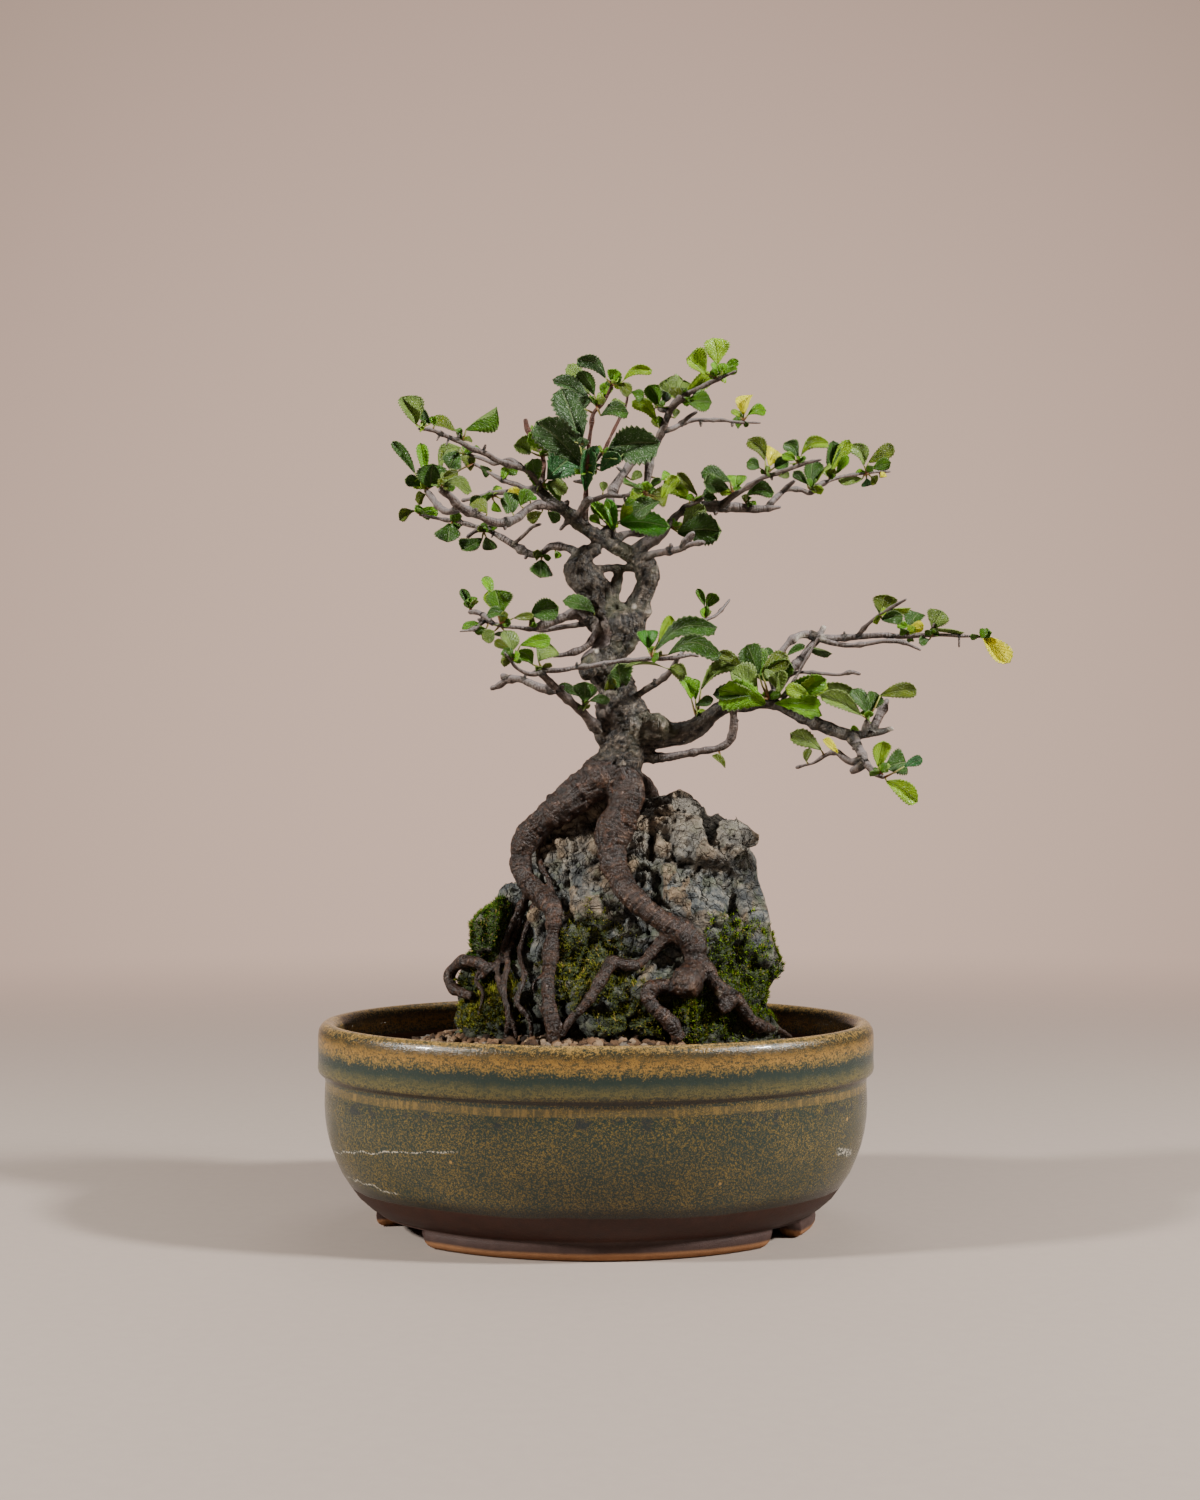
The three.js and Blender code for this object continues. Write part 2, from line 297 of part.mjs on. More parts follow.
// Leaf sprays: short shoots that carry the leaves. Each leaf is [x and z where the blade
// starts, x and z of its tip, how far back the tip lies, width, turn about its own axis].
const SPRAYS = [
  { on: "top_up", at: [50.5, 352.4], leaves: [
    [51, 359, 50, 370, -3, 9.5, 20], [50.5, 355, 49.6, 360.5, 2, 3, 10],
    [52, 354.5, 53.4, 359, -3, 3.6, 0], [53.4, 355.2, 58.4, 360.2, 3, 3.2, 10],
    [54, 354.6, 59.6, 356.6, -4, 3, 20], [46.4, 354.6, 37, 360, -3, 9, 15]] },
  { on: "top_up", at: [34, 343.4], leaves: [
    [37, 345.8, 49.6, 353.2, -4, 5.6, 10], [38, 342.8, 48.4, 343.6, -6, 7.4, 0],
    [32.6, 346, 28.6, 352, 3, 7, 15], [34, 346.4, 36.6, 352, 6, 7.5, 10]] },
  { on: "top_up_spur", at: [26.2, 340], leaves: [
    [25.6, 341.6, 22.4, 350, -2, 6.4, 20], [28, 342, 31, 348.8, 3, 4.6, 10]] },
  { on: "top_up", at: [26.6, 330.6], leaves: [[25.6, 333.6, 14.4, 342, -6, 5, 10]] },
  { on: "top_right", at: [61.5, 334.4], leaves: [
    [60.6, 336.6, 57.2, 339.6, -2, 2.4, 0], [62, 337.4, 63, 346.6, 2, 6, 10],
    [64, 337.6, 71.4, 338.6, -4, 4.4, 10]] },
  { on: "high_sub_front", at: [71, 311.4], leaves: [
    [71, 318, 63, 326.4, -3, 5.4, 15], [68.8, 315, 62.8, 318, -5, 4.4, 0],
    [72.8, 316, 77, 322, 4, 7, 0], [75, 315.4, 80.6, 317.6, -3, 5, 15]] },
  { on: "high_sub_front", at: [84.6, 316], leaves: [
    [84.6, 319.6, 79, 325.6, -4, 5, 10], [86.4, 321, 97, 327, -2, 4.6, 10],
    [83.4, 318.6, 79.6, 320.8, -6, 3.2, 0]] },
  { on: "high_sub_back", at: [89.6, 305.2], leaves: [
    [90, 308, 91.6, 318.4, -3, 8, 10], [91.6, 308.8, 98, 316.6, 2, 3.6, 20],
    [88.4, 308.6, 82.4, 314, -6, 3.6, 10]] },
  { on: "high_sub_back", at: [97.6, 309.8], leaves: [
    [98, 313.6, 97.8, 326.6, -3, 6, 10], [99, 313.6, 103.4, 327, 2, 6, 10],
    [100.4, 312.6, 107.4, 318.8, -5, 4.4, 0]] },
  { on: "high_sub_back", at: [113, 313], leaves: [
    [112.4, 316, 107.4, 325.4, -4, 6, 20], [114.4, 317.4, 125, 322.6, 2, 5.4, 10],
    [115.6, 314.8, 124, 317, -4, 4.6, 10], [111.6, 310.4, 102, 308.6, -3, 3.8, 10],
    [113.4, 310.6, 113.6, 307, 3, 4, 0], [115.2, 311.4, 117.6, 308.6, -2, 3.6, 0]] },
  { on: "high_sub_front", at: [57.5, 303.4], leaves: [
    [56.4, 309.6, 44, 313.4, -2, 6.2, 0], [55.4, 306.6, 43.8, 308, -6, 6.6, 10],
    [58.6, 306, 58.4, 313, 4, 7, 15]] },
  { on: "high_dark_twig", at: [42, 300.6], leaves: [
    [42.4, 303.6, 33.4, 312, -4, 3.4, 0], [38.6, 302.4, 31.4, 307.4, 4, 7, 10]] },
  { on: "high_right", at: [29.6, 290.4], leaves: [
    [34.6, 287.8, 51.6, 290.4, -12, 11, 10], [36.6, 290.6, 44.6, 300, -5, 7, 20]] },
  { on: "high_right", at: [62.4, 298.6], leaves: [[63.4, 303.4, 74.4, 305.4, -5, 6, 10]] },
  { on: "young_shoot", at: [-4, 312.6], leaves: [
    [-6.4, 316, -23, 336, -4, 12, 0], [-3.6, 315, 0.2, 325, -5, 3.8, 10],
    [-6.4, 313.4, -12, 314.4, 2, 3, 0], [-5.4, 316.4, -8, 324, 6, 4, 10],
    [-2.6, 313.6, 1.6, 318, 2, 2.4, 0], [-6.6, 325, -15, 347.6, 3, 11.5, 10]] },
  { on: "right_stem", at: [-23.6, 306.6], leaves: [
    [-20.6, 310.4, -8, 321.6, -8, 12, 10], [-25, 310, -28, 319, -10, 6, 0],
    [-20, 307, -13, 307.6, -7, 5.6, 0]] },
  { on: "hub_stem", at: [-22.4, 319.4], leaves: [
    [-27, 321.6, -33.4, 325.4, -7, 7.4, 10], [-23.6, 321.6, -29.4, 326.4, 6, 3.6, 10],
    [-19, 320.6, -27, 333.4, -16, 5, 20]] },
  { on: "young_shoot", at: [0.4, 340.6], leaves: [
    [2, 337, 13.6, 338.4, -4, 5.4, 10],
    [-3, 345, -18, 352.6, -4, 5.4, 10], [-2.6, 346, -12.6, 357, 4, 5.6, 10],
    [-0.8, 346, -4.6, 356.4, -1, 5.2, 0], [3, 344.6, 4.8, 351, -5, 4.6, 0]] },
  { on: "young_shoot", at: [6.6, 350], leaves: [
    [4, 353, -8, 360.6, -3, 5.2, 0], [6.8, 351.6, 8.2, 357, -4, 4.8, 0],
    [9, 350.4, 16, 346.4, -4, 4.4, 10], [11.4, 351.6, 24, 356.4, 3, 3.6, 10]] },
  { on: "thin_top", at: [2.4, 321.4], leaves: [
    [5, 322.6, 26, 326.6, -10, 13, 10], [4, 320.6, 8.4, 318, -8, 6.6, 0]] },
  { on: "leader", at: [6, 288.6], leaves: [
    [3, 293, -1.6, 300.6, -6, 4, 10], [2, 291, -3.6, 296.6, -9, 3, 0],
    [4.6, 293.6, 3.4, 301.6, -4, 3, 10], [10.4, 292, 28.6, 291, -12, 8.4, 10],
    [10.4, 293, 19.6, 299, -7, 6, 10]] },
  { on: "inner_twig", at: [19.6, 304.4], leaves: [
    [19.6, 306, 11.4, 306.6, -4, 6, 0], [23, 303.6, 31, 303.4, 3, 7.4, 10],
    [22.6, 306.4, 26.4, 311.4, -2, 2.6, 0]] },
  { on: "fan_top", at: [-73.8, 331.8], leaves: [
    [-75.6, 333.6, -80.4, 345.6, -3, 8, 15], [-69.6, 333.6, -74.6, 339, 4, 3.6, 0]] },
  { on: "fan_top", at: [-56, 327], leaves: [
    [-58.6, 330.6, -69, 336.2, -4, 5.2, 10], [-54.4, 331.4, -40.4, 338.6, 2, 9, 10]] },
  { on: "fan_mid", at: [-53, 320.8], leaves: [
    [-56.4, 323.6, -67, 317.6, 4, 5.2, 10], [-58, 321.6, -62, 314.8, -5, 7.4, 0]] },
  { on: "outer_left_fork", at: [-70.8, 305.2], leaves: [
    [-69.4, 306.6, -69.6, 317, -3, 10.4, 0], [-73.4, 307.6, -79.6, 311, -5, 4.6, 0],
    [-71.2, 312, -75.4, 323.8, 3, 4.2, 10], [-76, 313, -83, 325, 6, 3.6, 10],
    [-71.6, 303.8, -75.6, 302, -4, 4.4, 0]] },
  { on: "outer_left", at: [-65, 305.8], leaves: [
    [-64.6, 310.4, -58.4, 314, -3, 3.2, 0], [-63.4, 308.4, -52.6, 305.4, -6, 4.4, 10],
    [-64.6, 308, -61.6, 312, 3, 4, 10]] },
  { on: "under_left", at: [-73.6, 295.2], leaves: [
    [-76, 297, -82, 292.6, -4, 3.8, 0], [-73.4, 297.6, -66.6, 296, 3, 3.6, 0]] },
  { on: "under_left", at: [-60, 292.6], leaves: [[-61, 291.6, -62, 283.6, -3, 9, 0]] },
  { on: "under_left", at: [-46.6, 289.4], leaves: [
    [-47.8, 285, -55.6, 279.4, -4, 7, 0], [-46, 286, -44.4, 280, 3, 5.2, 10]] },
  { on: "under_left", at: [-22.6, 279.4], leaves: [[-22.8, 276.2, -23.4, 268, -4, 8.2, 0]] },
  { on: "fan_bottom", at: [-43.6, 304], leaves: [
    [-45, 301.6, -53.4, 299.6, -3, 5.2, 0], [-42.6, 301, -41.6, 296, 3, 4, 0],
    [-39.6, 302, -34.4, 297.6, -4, 6.6, 10]] },
  { on: "mid_left_up", at: [-52.6, 254.8], leaves: [
    [-53.4, 257.4, -56, 264.4, -2, 3.2, 0], [-51.8, 257.4, -50.4, 261, 3, 2.6, 0]] },
  { on: "mid_left", at: [-39.4, 249], leaves: [
    [-40, 254, -41.2, 264, -3, 9.4, 0], [-42, 255, -45.8, 263, 3, 4.8, 10],
    [-43.6, 262, -45.4, 268.4, 6, 3.8, 0], [-37, 252.4, -45.6, 252.8, -6, 3.8, 0],
    [-34.6, 252, -25.4, 252.6, -5, 2.8, 0], [-42.4, 246.6, -47, 243, -3, 5, 0],
    [-38.4, 246.6, -40, 243.6, 3, 4.6, 0]] },
  { on: "mid_left", at: [-27.6, 248], leaves: [[-27, 253.6, -16, 257, -3, 8, 10]] },
  { on: "crossing_left", at: [-34.4, 233.4], leaves: [
    [-35, 238, -36, 247, -3, 7.4, 10], [-36, 238.6, -42.4, 242.6, 2, 3, 0],
    [-31.6, 240.6, -18.4, 243.8, 3, 5.2, 10]] },
  { on: "crossing", at: [-21.6, 230.4], leaves: [
    [-26.6, 232.6, -33, 238.6, -4, 5.6, 10], [-24, 234, -17, 239.6, 3, 8, 10]] },
  { on: "low_left", at: [-5.6, 213], leaves: [
    [-4.6, 217, -4, 225.4, -3, 8.4, 0], [-6, 219, -15, 224.6, 2, 3.4, 0],
    [-2.4, 217.4, 5.4, 219, -5, 3.6, 0]] },
  { on: "crossing", at: [22.6, 235.2], leaves: [
    [22, 239.4, 21, 246.8, 3, 7, 0], [26, 242, 31.6, 252, 5, 4.2, 10],
    [25, 238.6, 51, 247, -6, 6.6, 15], [30, 236.6, 52.4, 238.6, -10, 7, 10]] },
  { on: "long_right", at: [40.4, 209.6], leaves: [
    [40, 218, 37.4, 228.4, -3, 5.2, 10], [41.6, 218, 42, 226.6, 3, 4, 0],
    [44, 222.4, 60, 231.6, 5, 5.2, 10], [42, 215.6, 48.4, 217.6, -5, 3.6, 0]] },
  { on: "long_right", at: [71.4, 217], leaves: [
    [68, 220.6, 55, 228.6, -5, 10, 10], [67.4, 219.6, 50.2, 222.4, -9, 6.4, 0],
    [68, 228.6, 62.6, 240, 3, 8.6, 0], [69.6, 229, 80.6, 235.6, -3, 7.4, 10],
    [77, 221, 72.6, 230, -7, 3.2, 0], [78, 220, 96.6, 226.6, -4, 7, 10],
    [77, 216.2, 95.4, 214.6, -10, 5.6, 10], [88, 221.4, 107, 224.4, 2, 4.6, 10]] },
  { on: "slant_tip", at: [45.8, 251.6], leaves: [
    [45.6, 257, 43, 264, 2, 2.6, 0], [46.4, 256.6, 50.2, 262.4, -2, 4.6, 0]] },
  { on: "long_spur", at: [113.4, 209], leaves: [
    [113.6, 212, 108.4, 222.8, -3, 6, 10], [114.4, 213, 117.6, 220.6, 2, 6.4, 0],
    [110.6, 211.6, 95, 220.4, -6, 6, 15], [119, 219.6, 133.4, 223.6, 3, 5.6, 0]] },
  { on: "drop", at: [118.6, 186.4], leaves: [
    [118, 190, 119.6, 200.6, -3, 6.4, 10], [121, 189.6, 130.6, 192, 2, 9, 0],
    [121.6, 183.6, 135, 176.6, -4, 6.4, 10]] },
  { on: "far_right_up", at: [118.4, 253], leaves: [
    [119.4, 254.6, 121, 262, -2, 8.6, 0], [119.6, 251.6, 129, 253.6, -4, 5, 10]] },
  { on: "far_right", at: [130.6, 244.8], leaves: [
    [131, 248, 134.6, 254.4, 3, 7.6, 0], [130.6, 246.8, 137.6, 248.4, -4, 4, 10]] },
  { on: "far_right", at: [141.4, 245], leaves: [
    [141, 247.8, 145, 255, -2, 8, 0], [139.6, 243, 134.6, 241.8, -3, 3.4, 10]] },
  { on: "far_right", at: [160, 244.4], leaves: [[162, 244.4, 171.8, 232, -3, 6.8, 10]] },
];

// Moss on the rock: where each cushion is centred and how far it spreads
const MOSS = [
  { name: "moss_upper_left", at: [-43, -6, 121], half: [13, 16, 14] },
  { name: "moss_lower_left", at: [-48, -14, 93], half: [16, 22, 14] },
  { name: "moss_centre", at: [-4, -22, 115], half: [12, 14, 13] },
  { name: "moss_right", at: [60, -8, 106], half: [15, 22, 19] },
];
const MOSS_THICK = 2.4;

const COLOURS = {
  glaze: 0x59563a,
  bark: 0x6b6058,
  rock: 0x77736a,
  soil: 0x5b5046,
  moss: 0x4f5f22,
  leaf: 0x4d7a2b,
  mesh: 0x202020,
  wire: 0xb5b7ba,
};

// Turns a closed three.js geometry into a solid that can be joined and cut.
function solid(geometry) {
  const bare = geometry.index ? geometry.toNonIndexed() : geometry.clone();
  bare.deleteAttribute("normal");
  bare.deleteAttribute("uv");
  const merged = mergeVertices(bare, 1e-4);
  return new wasm.Manifold(new wasm.Mesh({
    numProp: 3,
    vertProperties: merged.attributes.position.array,
    triVerts: new Uint32Array(merged.index.array),
  }));
}

// Turns a solid back into a three.js geometry.
function geometryOf(made) {
  const mesh = made.getMesh();
  const geometry = new THREE.BufferGeometry();
  geometry.setAttribute("position", new THREE.BufferAttribute(mesh.vertProperties, 3));
  geometry.setIndex(new THREE.BufferAttribute(mesh.triVerts, 1));
  return geometry;
}

function joined(solids) {
  return solids.reduce((sum, one) => sum.add(one));
}

// The largest body of a solid: crumbs that a cut leaves are dropped.
function largest(made) {
  const bodies = made.decompose();
  return bodies.reduce((best, one) => (one.volume() > best.volume() ? one : best));
}

// Moves every vertex of a geometry by a function of its position.
function reshape(geometry, move) {
  const position = geometry.attributes.position;
  const point = new THREE.Vector3();
  for (let i = 0; i < position.count; i++) {
    point.fromBufferAttribute(position, i);
    move(point);
    position.setXYZ(i, point.x, point.y, point.z);
  }
  return geometry;
}

// A point read at (x, z) on the plane y = 0, pushed along the line of sight to depth y.
function seen(x, z, y) {
  const share = (y - EYE.y) / -EYE.y;
  return new THREE.Vector3(EYE.x + (x - EYE.x) * share, y, EYE.z + (z - EYE.z) * share);
}

// The reverse: where a point appears on the plane y = 0.
function appears(point) {
  const share = -EYE.y / (point.y - EYE.y);
  return { x: EYE.x + (point.x - EYE.x) * share, z: EYE.z + (point.z - EYE.z) * share };
}

// Pot: a turned profile squeezed to an oval, with notches in the foot and two drain holes
const SCALE = POT_LENGTH / DRAWN_LENGTH;
const OUTER = [
  [0, FLOOR_UNDER], [80, FLOOR_UNDER], [81, 0.8], [82.5, 0], [87, 0], [90.2, 1.6],
  [91, 4], [91, FOOT_HEIGHT], [94.5, 10], [102.4, 18.7], [108, 29], [111.4, 40], [112.5, 51],
  [112.2, 60], [113, 63], [115.2, 65], [115.2, 79], [114, 83], [111.6, POT_HEIGHT],
  [108.6, 83.6], [107, 81],
];
const INNER = [
  [106.4, 70], [104.4, 60], [102.4, 40], [97, 26], [88, 18], [60, FLOOR_TOP],
];

function turned(profile, sides) {
  const points = profile.map(([r, z]) => new THREE.Vector2(r * SCALE, z));
  const geometry = new THREE.LatheGeometry(points, sides);
  geometry.rotateX(Math.PI / 2);
  geometry.scale(1, POT_WIDTH_SHARE, 1);
  return geometry;
}

function potSolid() {
  let pot = solid(turned([...OUTER, ...INNER, [0, FLOOR_TOP]], POT_SIDES));
  for (const { angle, span } of NOTCHES) {
    const cutter = new THREE.BoxGeometry(span, NOTCH.deep, NOTCH.high * 2);
    reshape(cutter, (p) => {
      if (p.z > 0) p.x -= Math.sign(p.x) * NOTCH.slant;
    });
    const turn = THREE.MathUtils.degToRad(angle);
    cutter.rotateZ(turn);
    cutter.translate(NOTCH.out * Math.sin(turn), -NOTCH.out * POT_WIDTH_SHARE * Math.cos(turn), 0);
    pot = pot.subtract(solid(cutter));
  }
  for (const side of [-1, 1]) {
    const hole = new THREE.CylinderGeometry(DRAIN.radius, DRAIN.radius, 40, 20);
    hole.rotateX(Math.PI / 2);
    hole.translate(side * DRAIN.out, 0, FLOOR_TOP);
    pot = pot.subtract(solid(hole));
  }
  return pot;
}

// Drainage mesh: a square plastic net over each drain hole
function meshSolid(side) {
  const middle = (MESH.holes - 1) / 2;
  let net = solid(new THREE.BoxGeometry(MESH.side, MESH.side, MESH.thick));
  for (let i = 0; i < MESH.holes; i++) {
    for (let j = 0; j < MESH.holes; j++) {
      const hole = new THREE.BoxGeometry(MESH.hole, MESH.hole, MESH.thick * 3);
      hole.translate((i - middle) * MESH.pitch, (j - middle) * MESH.pitch, 0);
      net = net.subtract(solid(hole));
    }
  }
  return net.translate([side * DRAIN.out, 0, FLOOR_TOP + GAP + MESH.thick / 2]);
}

// Wire clip: a staple over the mesh whose legs pass down the hole and bend out below
function clipSolid(side) {
  const leg = MESH.pitch * 1.5;
  const top = FLOOR_TOP + GAP + MESH.thick + GAP + WIRE;
  const low = FLOOR_UNDER - GAP - WIRE;
  const rod = (x, z, long, upright) => {
    const wire = new THREE.CylinderGeometry(WIRE, WIRE, long + 2 * WIRE, 8);
    if (upright) wire.rotateX(Math.PI / 2);
    else wire.rotateZ(Math.PI / 2);
    return solid(wire.translate(side * DRAIN.out + x, MESH.pitch / 2, z));
  };
  const legs = [-1, 1].flatMap((end) => [
    rod(end * leg, (top + low) / 2, top - low, true),
    rod(end * (leg + CLIP_FOOT / 2), low, CLIP_FOOT, false),
  ]);
  return joined([rod(0, top, 2 * leg, false), ...legs]);
}

// Soil: fills the pot from the floor up, flat at the wall and mounded round the rock
function soilHeight(x, y) {
  const out = Math.hypot(x, y / POT_WIDTH_SHARE) / SOIL_RINGS[0];
  const rise = THREE.MathUtils.smoothstep(1 - out, 0, SOIL_SLOPE);
  const ripple = SOIL_RIPPLE * Math.sin(x / 9) * Math.sin(y / 7);
  return SOIL_EDGE + (SOIL_CROWN - SOIL_EDGE) * rise + ripple;
}

function soilSolid(lift) {
  const wall = INNER.map(([r, z]) => [r - GAP * 1.4, z + GAP]).reverse();
  const side = wall.filter(([, z]) => z < SOIL_EDGE);
  const rings = SOIL_RINGS.map((r) => [r, SOIL_EDGE]);
  const profile = [[0, FLOOR_TOP + GAP], ...side, ...rings, [0, SOIL_EDGE]];
  const geometry = turned(profile, POT_SIDES);
  reshape(geometry, (p) => {
    if (p.z > SOIL_EDGE - 0.01) p.z = soilHeight(p.x, p.y) + lift;
  });
  return solid(geometry);
}

// Rock: lumps with a fixed roughness, all grown by the same amount when a neighbour is cut
function crag(p) {
  return Math.sin(p.x * 0.31 + p.z * 0.17) * Math.cos(p.z * 0.23 - p.y * 0.19) +
    0.6 * Math.sin(p.y * 0.41 + p.x * 0.13 + p.z * 0.37);
}

function rockSolid(grow) {
  const lumps = LUMPS.map(({ at, half }) => {
    const geometry = new THREE.IcosahedronGeometry(
      1, half[0] < 20 ? LUMP_DETAIL.small : LUMP_DETAIL.large,
    );
    const centre = seen(at[0], at[2], at[1]);
    return solid(reshape(geometry, (p) => {
      const rough = crag(new THREE.Vector3(...at).add(p.clone().multiplyScalar(40)));
      const out = (unit, k) => Math.sign(unit) * Math.abs(unit) ** (2 / BLOCKY) *
        (half[k] + grow + CRAG * rough);
      p.set(out(p.x, 0), out(p.y, 1), out(p.z, 2)).add(centre);
    }));
  });
  return joined(lumps);
}

// Front of the rock at (x, z), or the depth of its edge where the rock isn't behind
function rockFront(x, z) {
  let front = null;
  for (const { at, half } of LUMPS) {
    const side = Math.abs((x - at[0]) / half[0]) ** BLOCKY;
    const height = Math.abs((z - at[2]) / half[2]) ** BLOCKY;
    const left = 1 - side - height;
    if (left > 0) front = Math.min(front ?? Infinity, at[1] - half[1] * left ** (1 / BLOCKY));
  }
  return front ?? ROCK_SIDE_DEPTH;
}

// The centre line and radius of each limb, each one starting on the limb it grows out of
const lines = {};

function nearestOn(limb, x, z) {
  let best = null;
  for (let i = 0; i <= SAMPLES; i++) {
    const point = limb.curve.getPointAt(i / SAMPLES);
    const at = appears(point);
    const away = Math.hypot(at.x - x, at.z - z);
    if (!best || away < best.away) best = { away, point, radius: limb.radiusAt(i / SAMPLES) };
  }
  return best;
}

for (const [name, limb] of Object.entries(LIMBS)) {
  const { from, route, lean = 0, hug = false } = limb;
  const start = from ? nearestOn(lines[from], route[0][0], route[0][1]).point : null;
  const travel = [0];
  for (let i = 1; i < route.length; i++) {
    const [x, z] = route[i];
    travel.push(travel[i - 1] + Math.hypot(x - route[i - 1][0], z - route[i - 1][1]));
  }
  const points = route.map(([x, z, radius, own], i) => {
    if (i === 0 && start) return start.clone();
    let depth = own;
    if (depth === undefined && hug) depth = rockFront(x, z) - PROUD * radius;
    if (depth === undefined) {
      depth = start.y + (DEPTH_SHARE * lean * travel[i]) / travel.at(-1);
    }
    return seen(x, z, depth);
  });
  const curve = new THREE.CatmullRomCurve3(points, false, "centripetal");
  const radii = route.map((point) => point[2]);
  const radiusAt = (u) => {
    const t = curve.getUtoTmapping(u) * (radii.length - 1);
    const i = Math.min(Math.floor(t), radii.length - 2);
    return THREE.MathUtils.lerp(radii[i], radii[i + 1], t - i);
  };
  lines[name] = { curve, radiusAt, sides: limb.sides, thick: Math.max(...radii) };
}

// A limb as a solid: a cylinder bent along its line, "grow" wider all round
function limbSolid({ curve, radiusAt, sides, thick }, grow) {
  const steps = Math.max(3, Math.round(curve.getLength() / (STEP + 0.6 * thick)));
  const frames = curve.computeFrenetFrames(steps);
  const geometry = new THREE.CylinderGeometry(1, 1, 1, sides, steps);
  reshape(geometry, (p) => {
    const i = Math.round((p.y + 0.5) * steps);
    const u = i / steps;
    const reach = i === 0 ? -grow : i === steps ? grow : 0;
    const width = radiusAt(u) + grow;
    const centre = curve.getPointAt(u).addScaledVector(frames.tangents[i], reach);
    const across = frames.normals[i].clone().multiplyScalar(p.z * width);
    const along = frames.binormals[i].clone().multiplyScalar(p.x * width);
    p.copy(centre).add(across).add(along);
  });
  const made = solid(geometry);
  if (made.volume() > 0) return made;
  geometry.setIndex([...geometry.index.array].reverse());
  return solid(geometry);
}

function treeSolid(grow) {
  return joined(Object.values(lines).map((line) => limbSolid(line, grow)));
}

// A leaf: a thin plate from its stalk's foot through the blade's start to its tip
function leafSolid(foot, [bx, bz, tx, tz, back, width, turn], grow) {
  const base = seen(bx, bz, foot.y + back * 0.2);
  const tip = seen(tx, tz, foot.y + back);
  const axis = tip.clone().sub(base).normalize();
  const across = axis.clone().cross(new THREE.Vector3(0, 1, 0)).normalize();
  across.applyAxisAngle(axis, THREE.MathUtils.degToRad(turn));
  const up = across.clone().cross(axis);
  const middle = base.clone().lerp(tip, 0.6).addScaledVector(up, -0.06 * width);
  const stalk = width > SMALL_LEAF ? [{ at: base, wide: 1.3 }] : [];
  const blade = [{ at: middle, wide: width }, { at: tip, wide: width * 0.4 }];
  const start = base.clone().sub(foot).setLength(0.4 * BUD_RADIUS).add(foot);
  const rows = [{ at: start, wide: 0.8 }, ...stalk, ...blade];
  const geometry = new THREE.BoxGeometry(1, 1, 1, 1, rows.length - 1, 1);
  reshape(geometry, (p) => {
    const row = rows[Math.round((p.y + 0.5) * (rows.length - 1))];
    const side = p.x * (row.wide + 2 * grow);
    const face = p.z * (LEAF_THICK + 2 * grow);
    p.copy(row.at).addScaledVector(across, side).addScaledVector(up, face);
  });
  const made = solid(geometry);
  if (made.volume() > 0) return made;
  geometry.setIndex([...geometry.index.array].reverse());
  return solid(geometry);
}

function spraySolid({ on, at, leaves }, grow) {
  const twig = nearestOn(lines[on], at[0], at[1]);
  const mean = leaves.reduce((sum, leaf) => [sum[0] + leaf[0], sum[1] + leaf[1]], [0, 0]);
  const aim = seen(mean[0] / leaves.length, mean[1] / leaves.length, twig.point.y - 2);
  const foot = aim.sub(twig.point).setLength(twig.radius + 1).add(twig.point);
  const bud = new THREE.OctahedronGeometry(BUD_RADIUS + grow, 0);
  const pieces = leaves.map((leaf) => leafSolid(foot, leaf, grow));
  return joined([solid(bud.translate(foot.x, foot.y, foot.z)), ...pieces]);
}

// Puts the whole together, each piece cut clear of its neighbours
const tree = largest(treeSolid(0));
const treeRoom = treeSolid(GAP);
const rockRoom = rockSolid(GAP);
const rock = largest(rockSolid(0).subtract(treeRoom));
const soilRoom = soilSolid(GAP + 0.1);

const bonsai = new THREE.Group();
function place(name, geometry, colour, roughness, metalness = 0) {
  const material = new THREE.MeshStandardMaterial({ color: colour, roughness, metalness });
  const mesh = new THREE.Mesh(geometry, material);
  mesh.name = name;
  bonsai.add(mesh);
}

place("pot", geometryOf(potSolid()), COLOURS.glaze, 0.25);
for (const side of [-1, 1]) {
  const word = side < 0 ? "left" : "right";
  place("drain_mesh_" + word, geometryOf(meshSolid(side)), COLOURS.mesh, 0.6);
  place("mesh_clip_" + word, geometryOf(clipSolid(side)), COLOURS.wire, 0.35, 1);
}

// The soil leaves room for the nets and the clips over them
const NET_ROOM = { side: MESH.side + 1, high: 2 * (MESH.thick + 2 * WIRE + 1) };
const netRooms = [-1, 1].map((side) => {
  const room = new THREE.BoxGeometry(NET_ROOM.side, NET_ROOM.side, NET_ROOM.high);
  return solid(room.translate(side * DRAIN.out, 0, FLOOR_TOP + GAP));
});
let soil = soilSolid(0).subtract(treeRoom).subtract(rockRoom);
for (const room of netRooms) soil = soil.subtract(room);
place("soil", geometryOf(largest(soil)), COLOURS.soil, 0.95);
place("rock", geometryOf(rock), COLOURS.rock, 0.9);

const mossSkin = rockSolid(MOSS_THICK);
for (const { name, at, half } of MOSS) {
  const blob = new THREE.IcosahedronGeometry(1, 1);
  blob.scale(...half).translate(...at);
  const cushion = solid(blob).intersect(mossSkin).subtract(rockRoom).subtract(treeRoom);
  place(name, geometryOf(largest(cushion.subtract(soilRoom))), COLOURS.moss, 0.95);
}
place("tree", geometryOf(tree), COLOURS.bark, 0.85);

const sprayRooms = [];
SPRAYS.forEach((spray, i) => {
  let made = spraySolid(spray, 0).subtract(treeRoom);
  for (const room of sprayRooms) made = made.subtract(room);
  sprayRooms.push(spraySolid(spray, GAP));
  const name = "leaf_spray_" + String(i + 1).padStart(2, "0");
  place(name, geometryOf(largest(made)), COLOURS.leaf, 0.5);
});

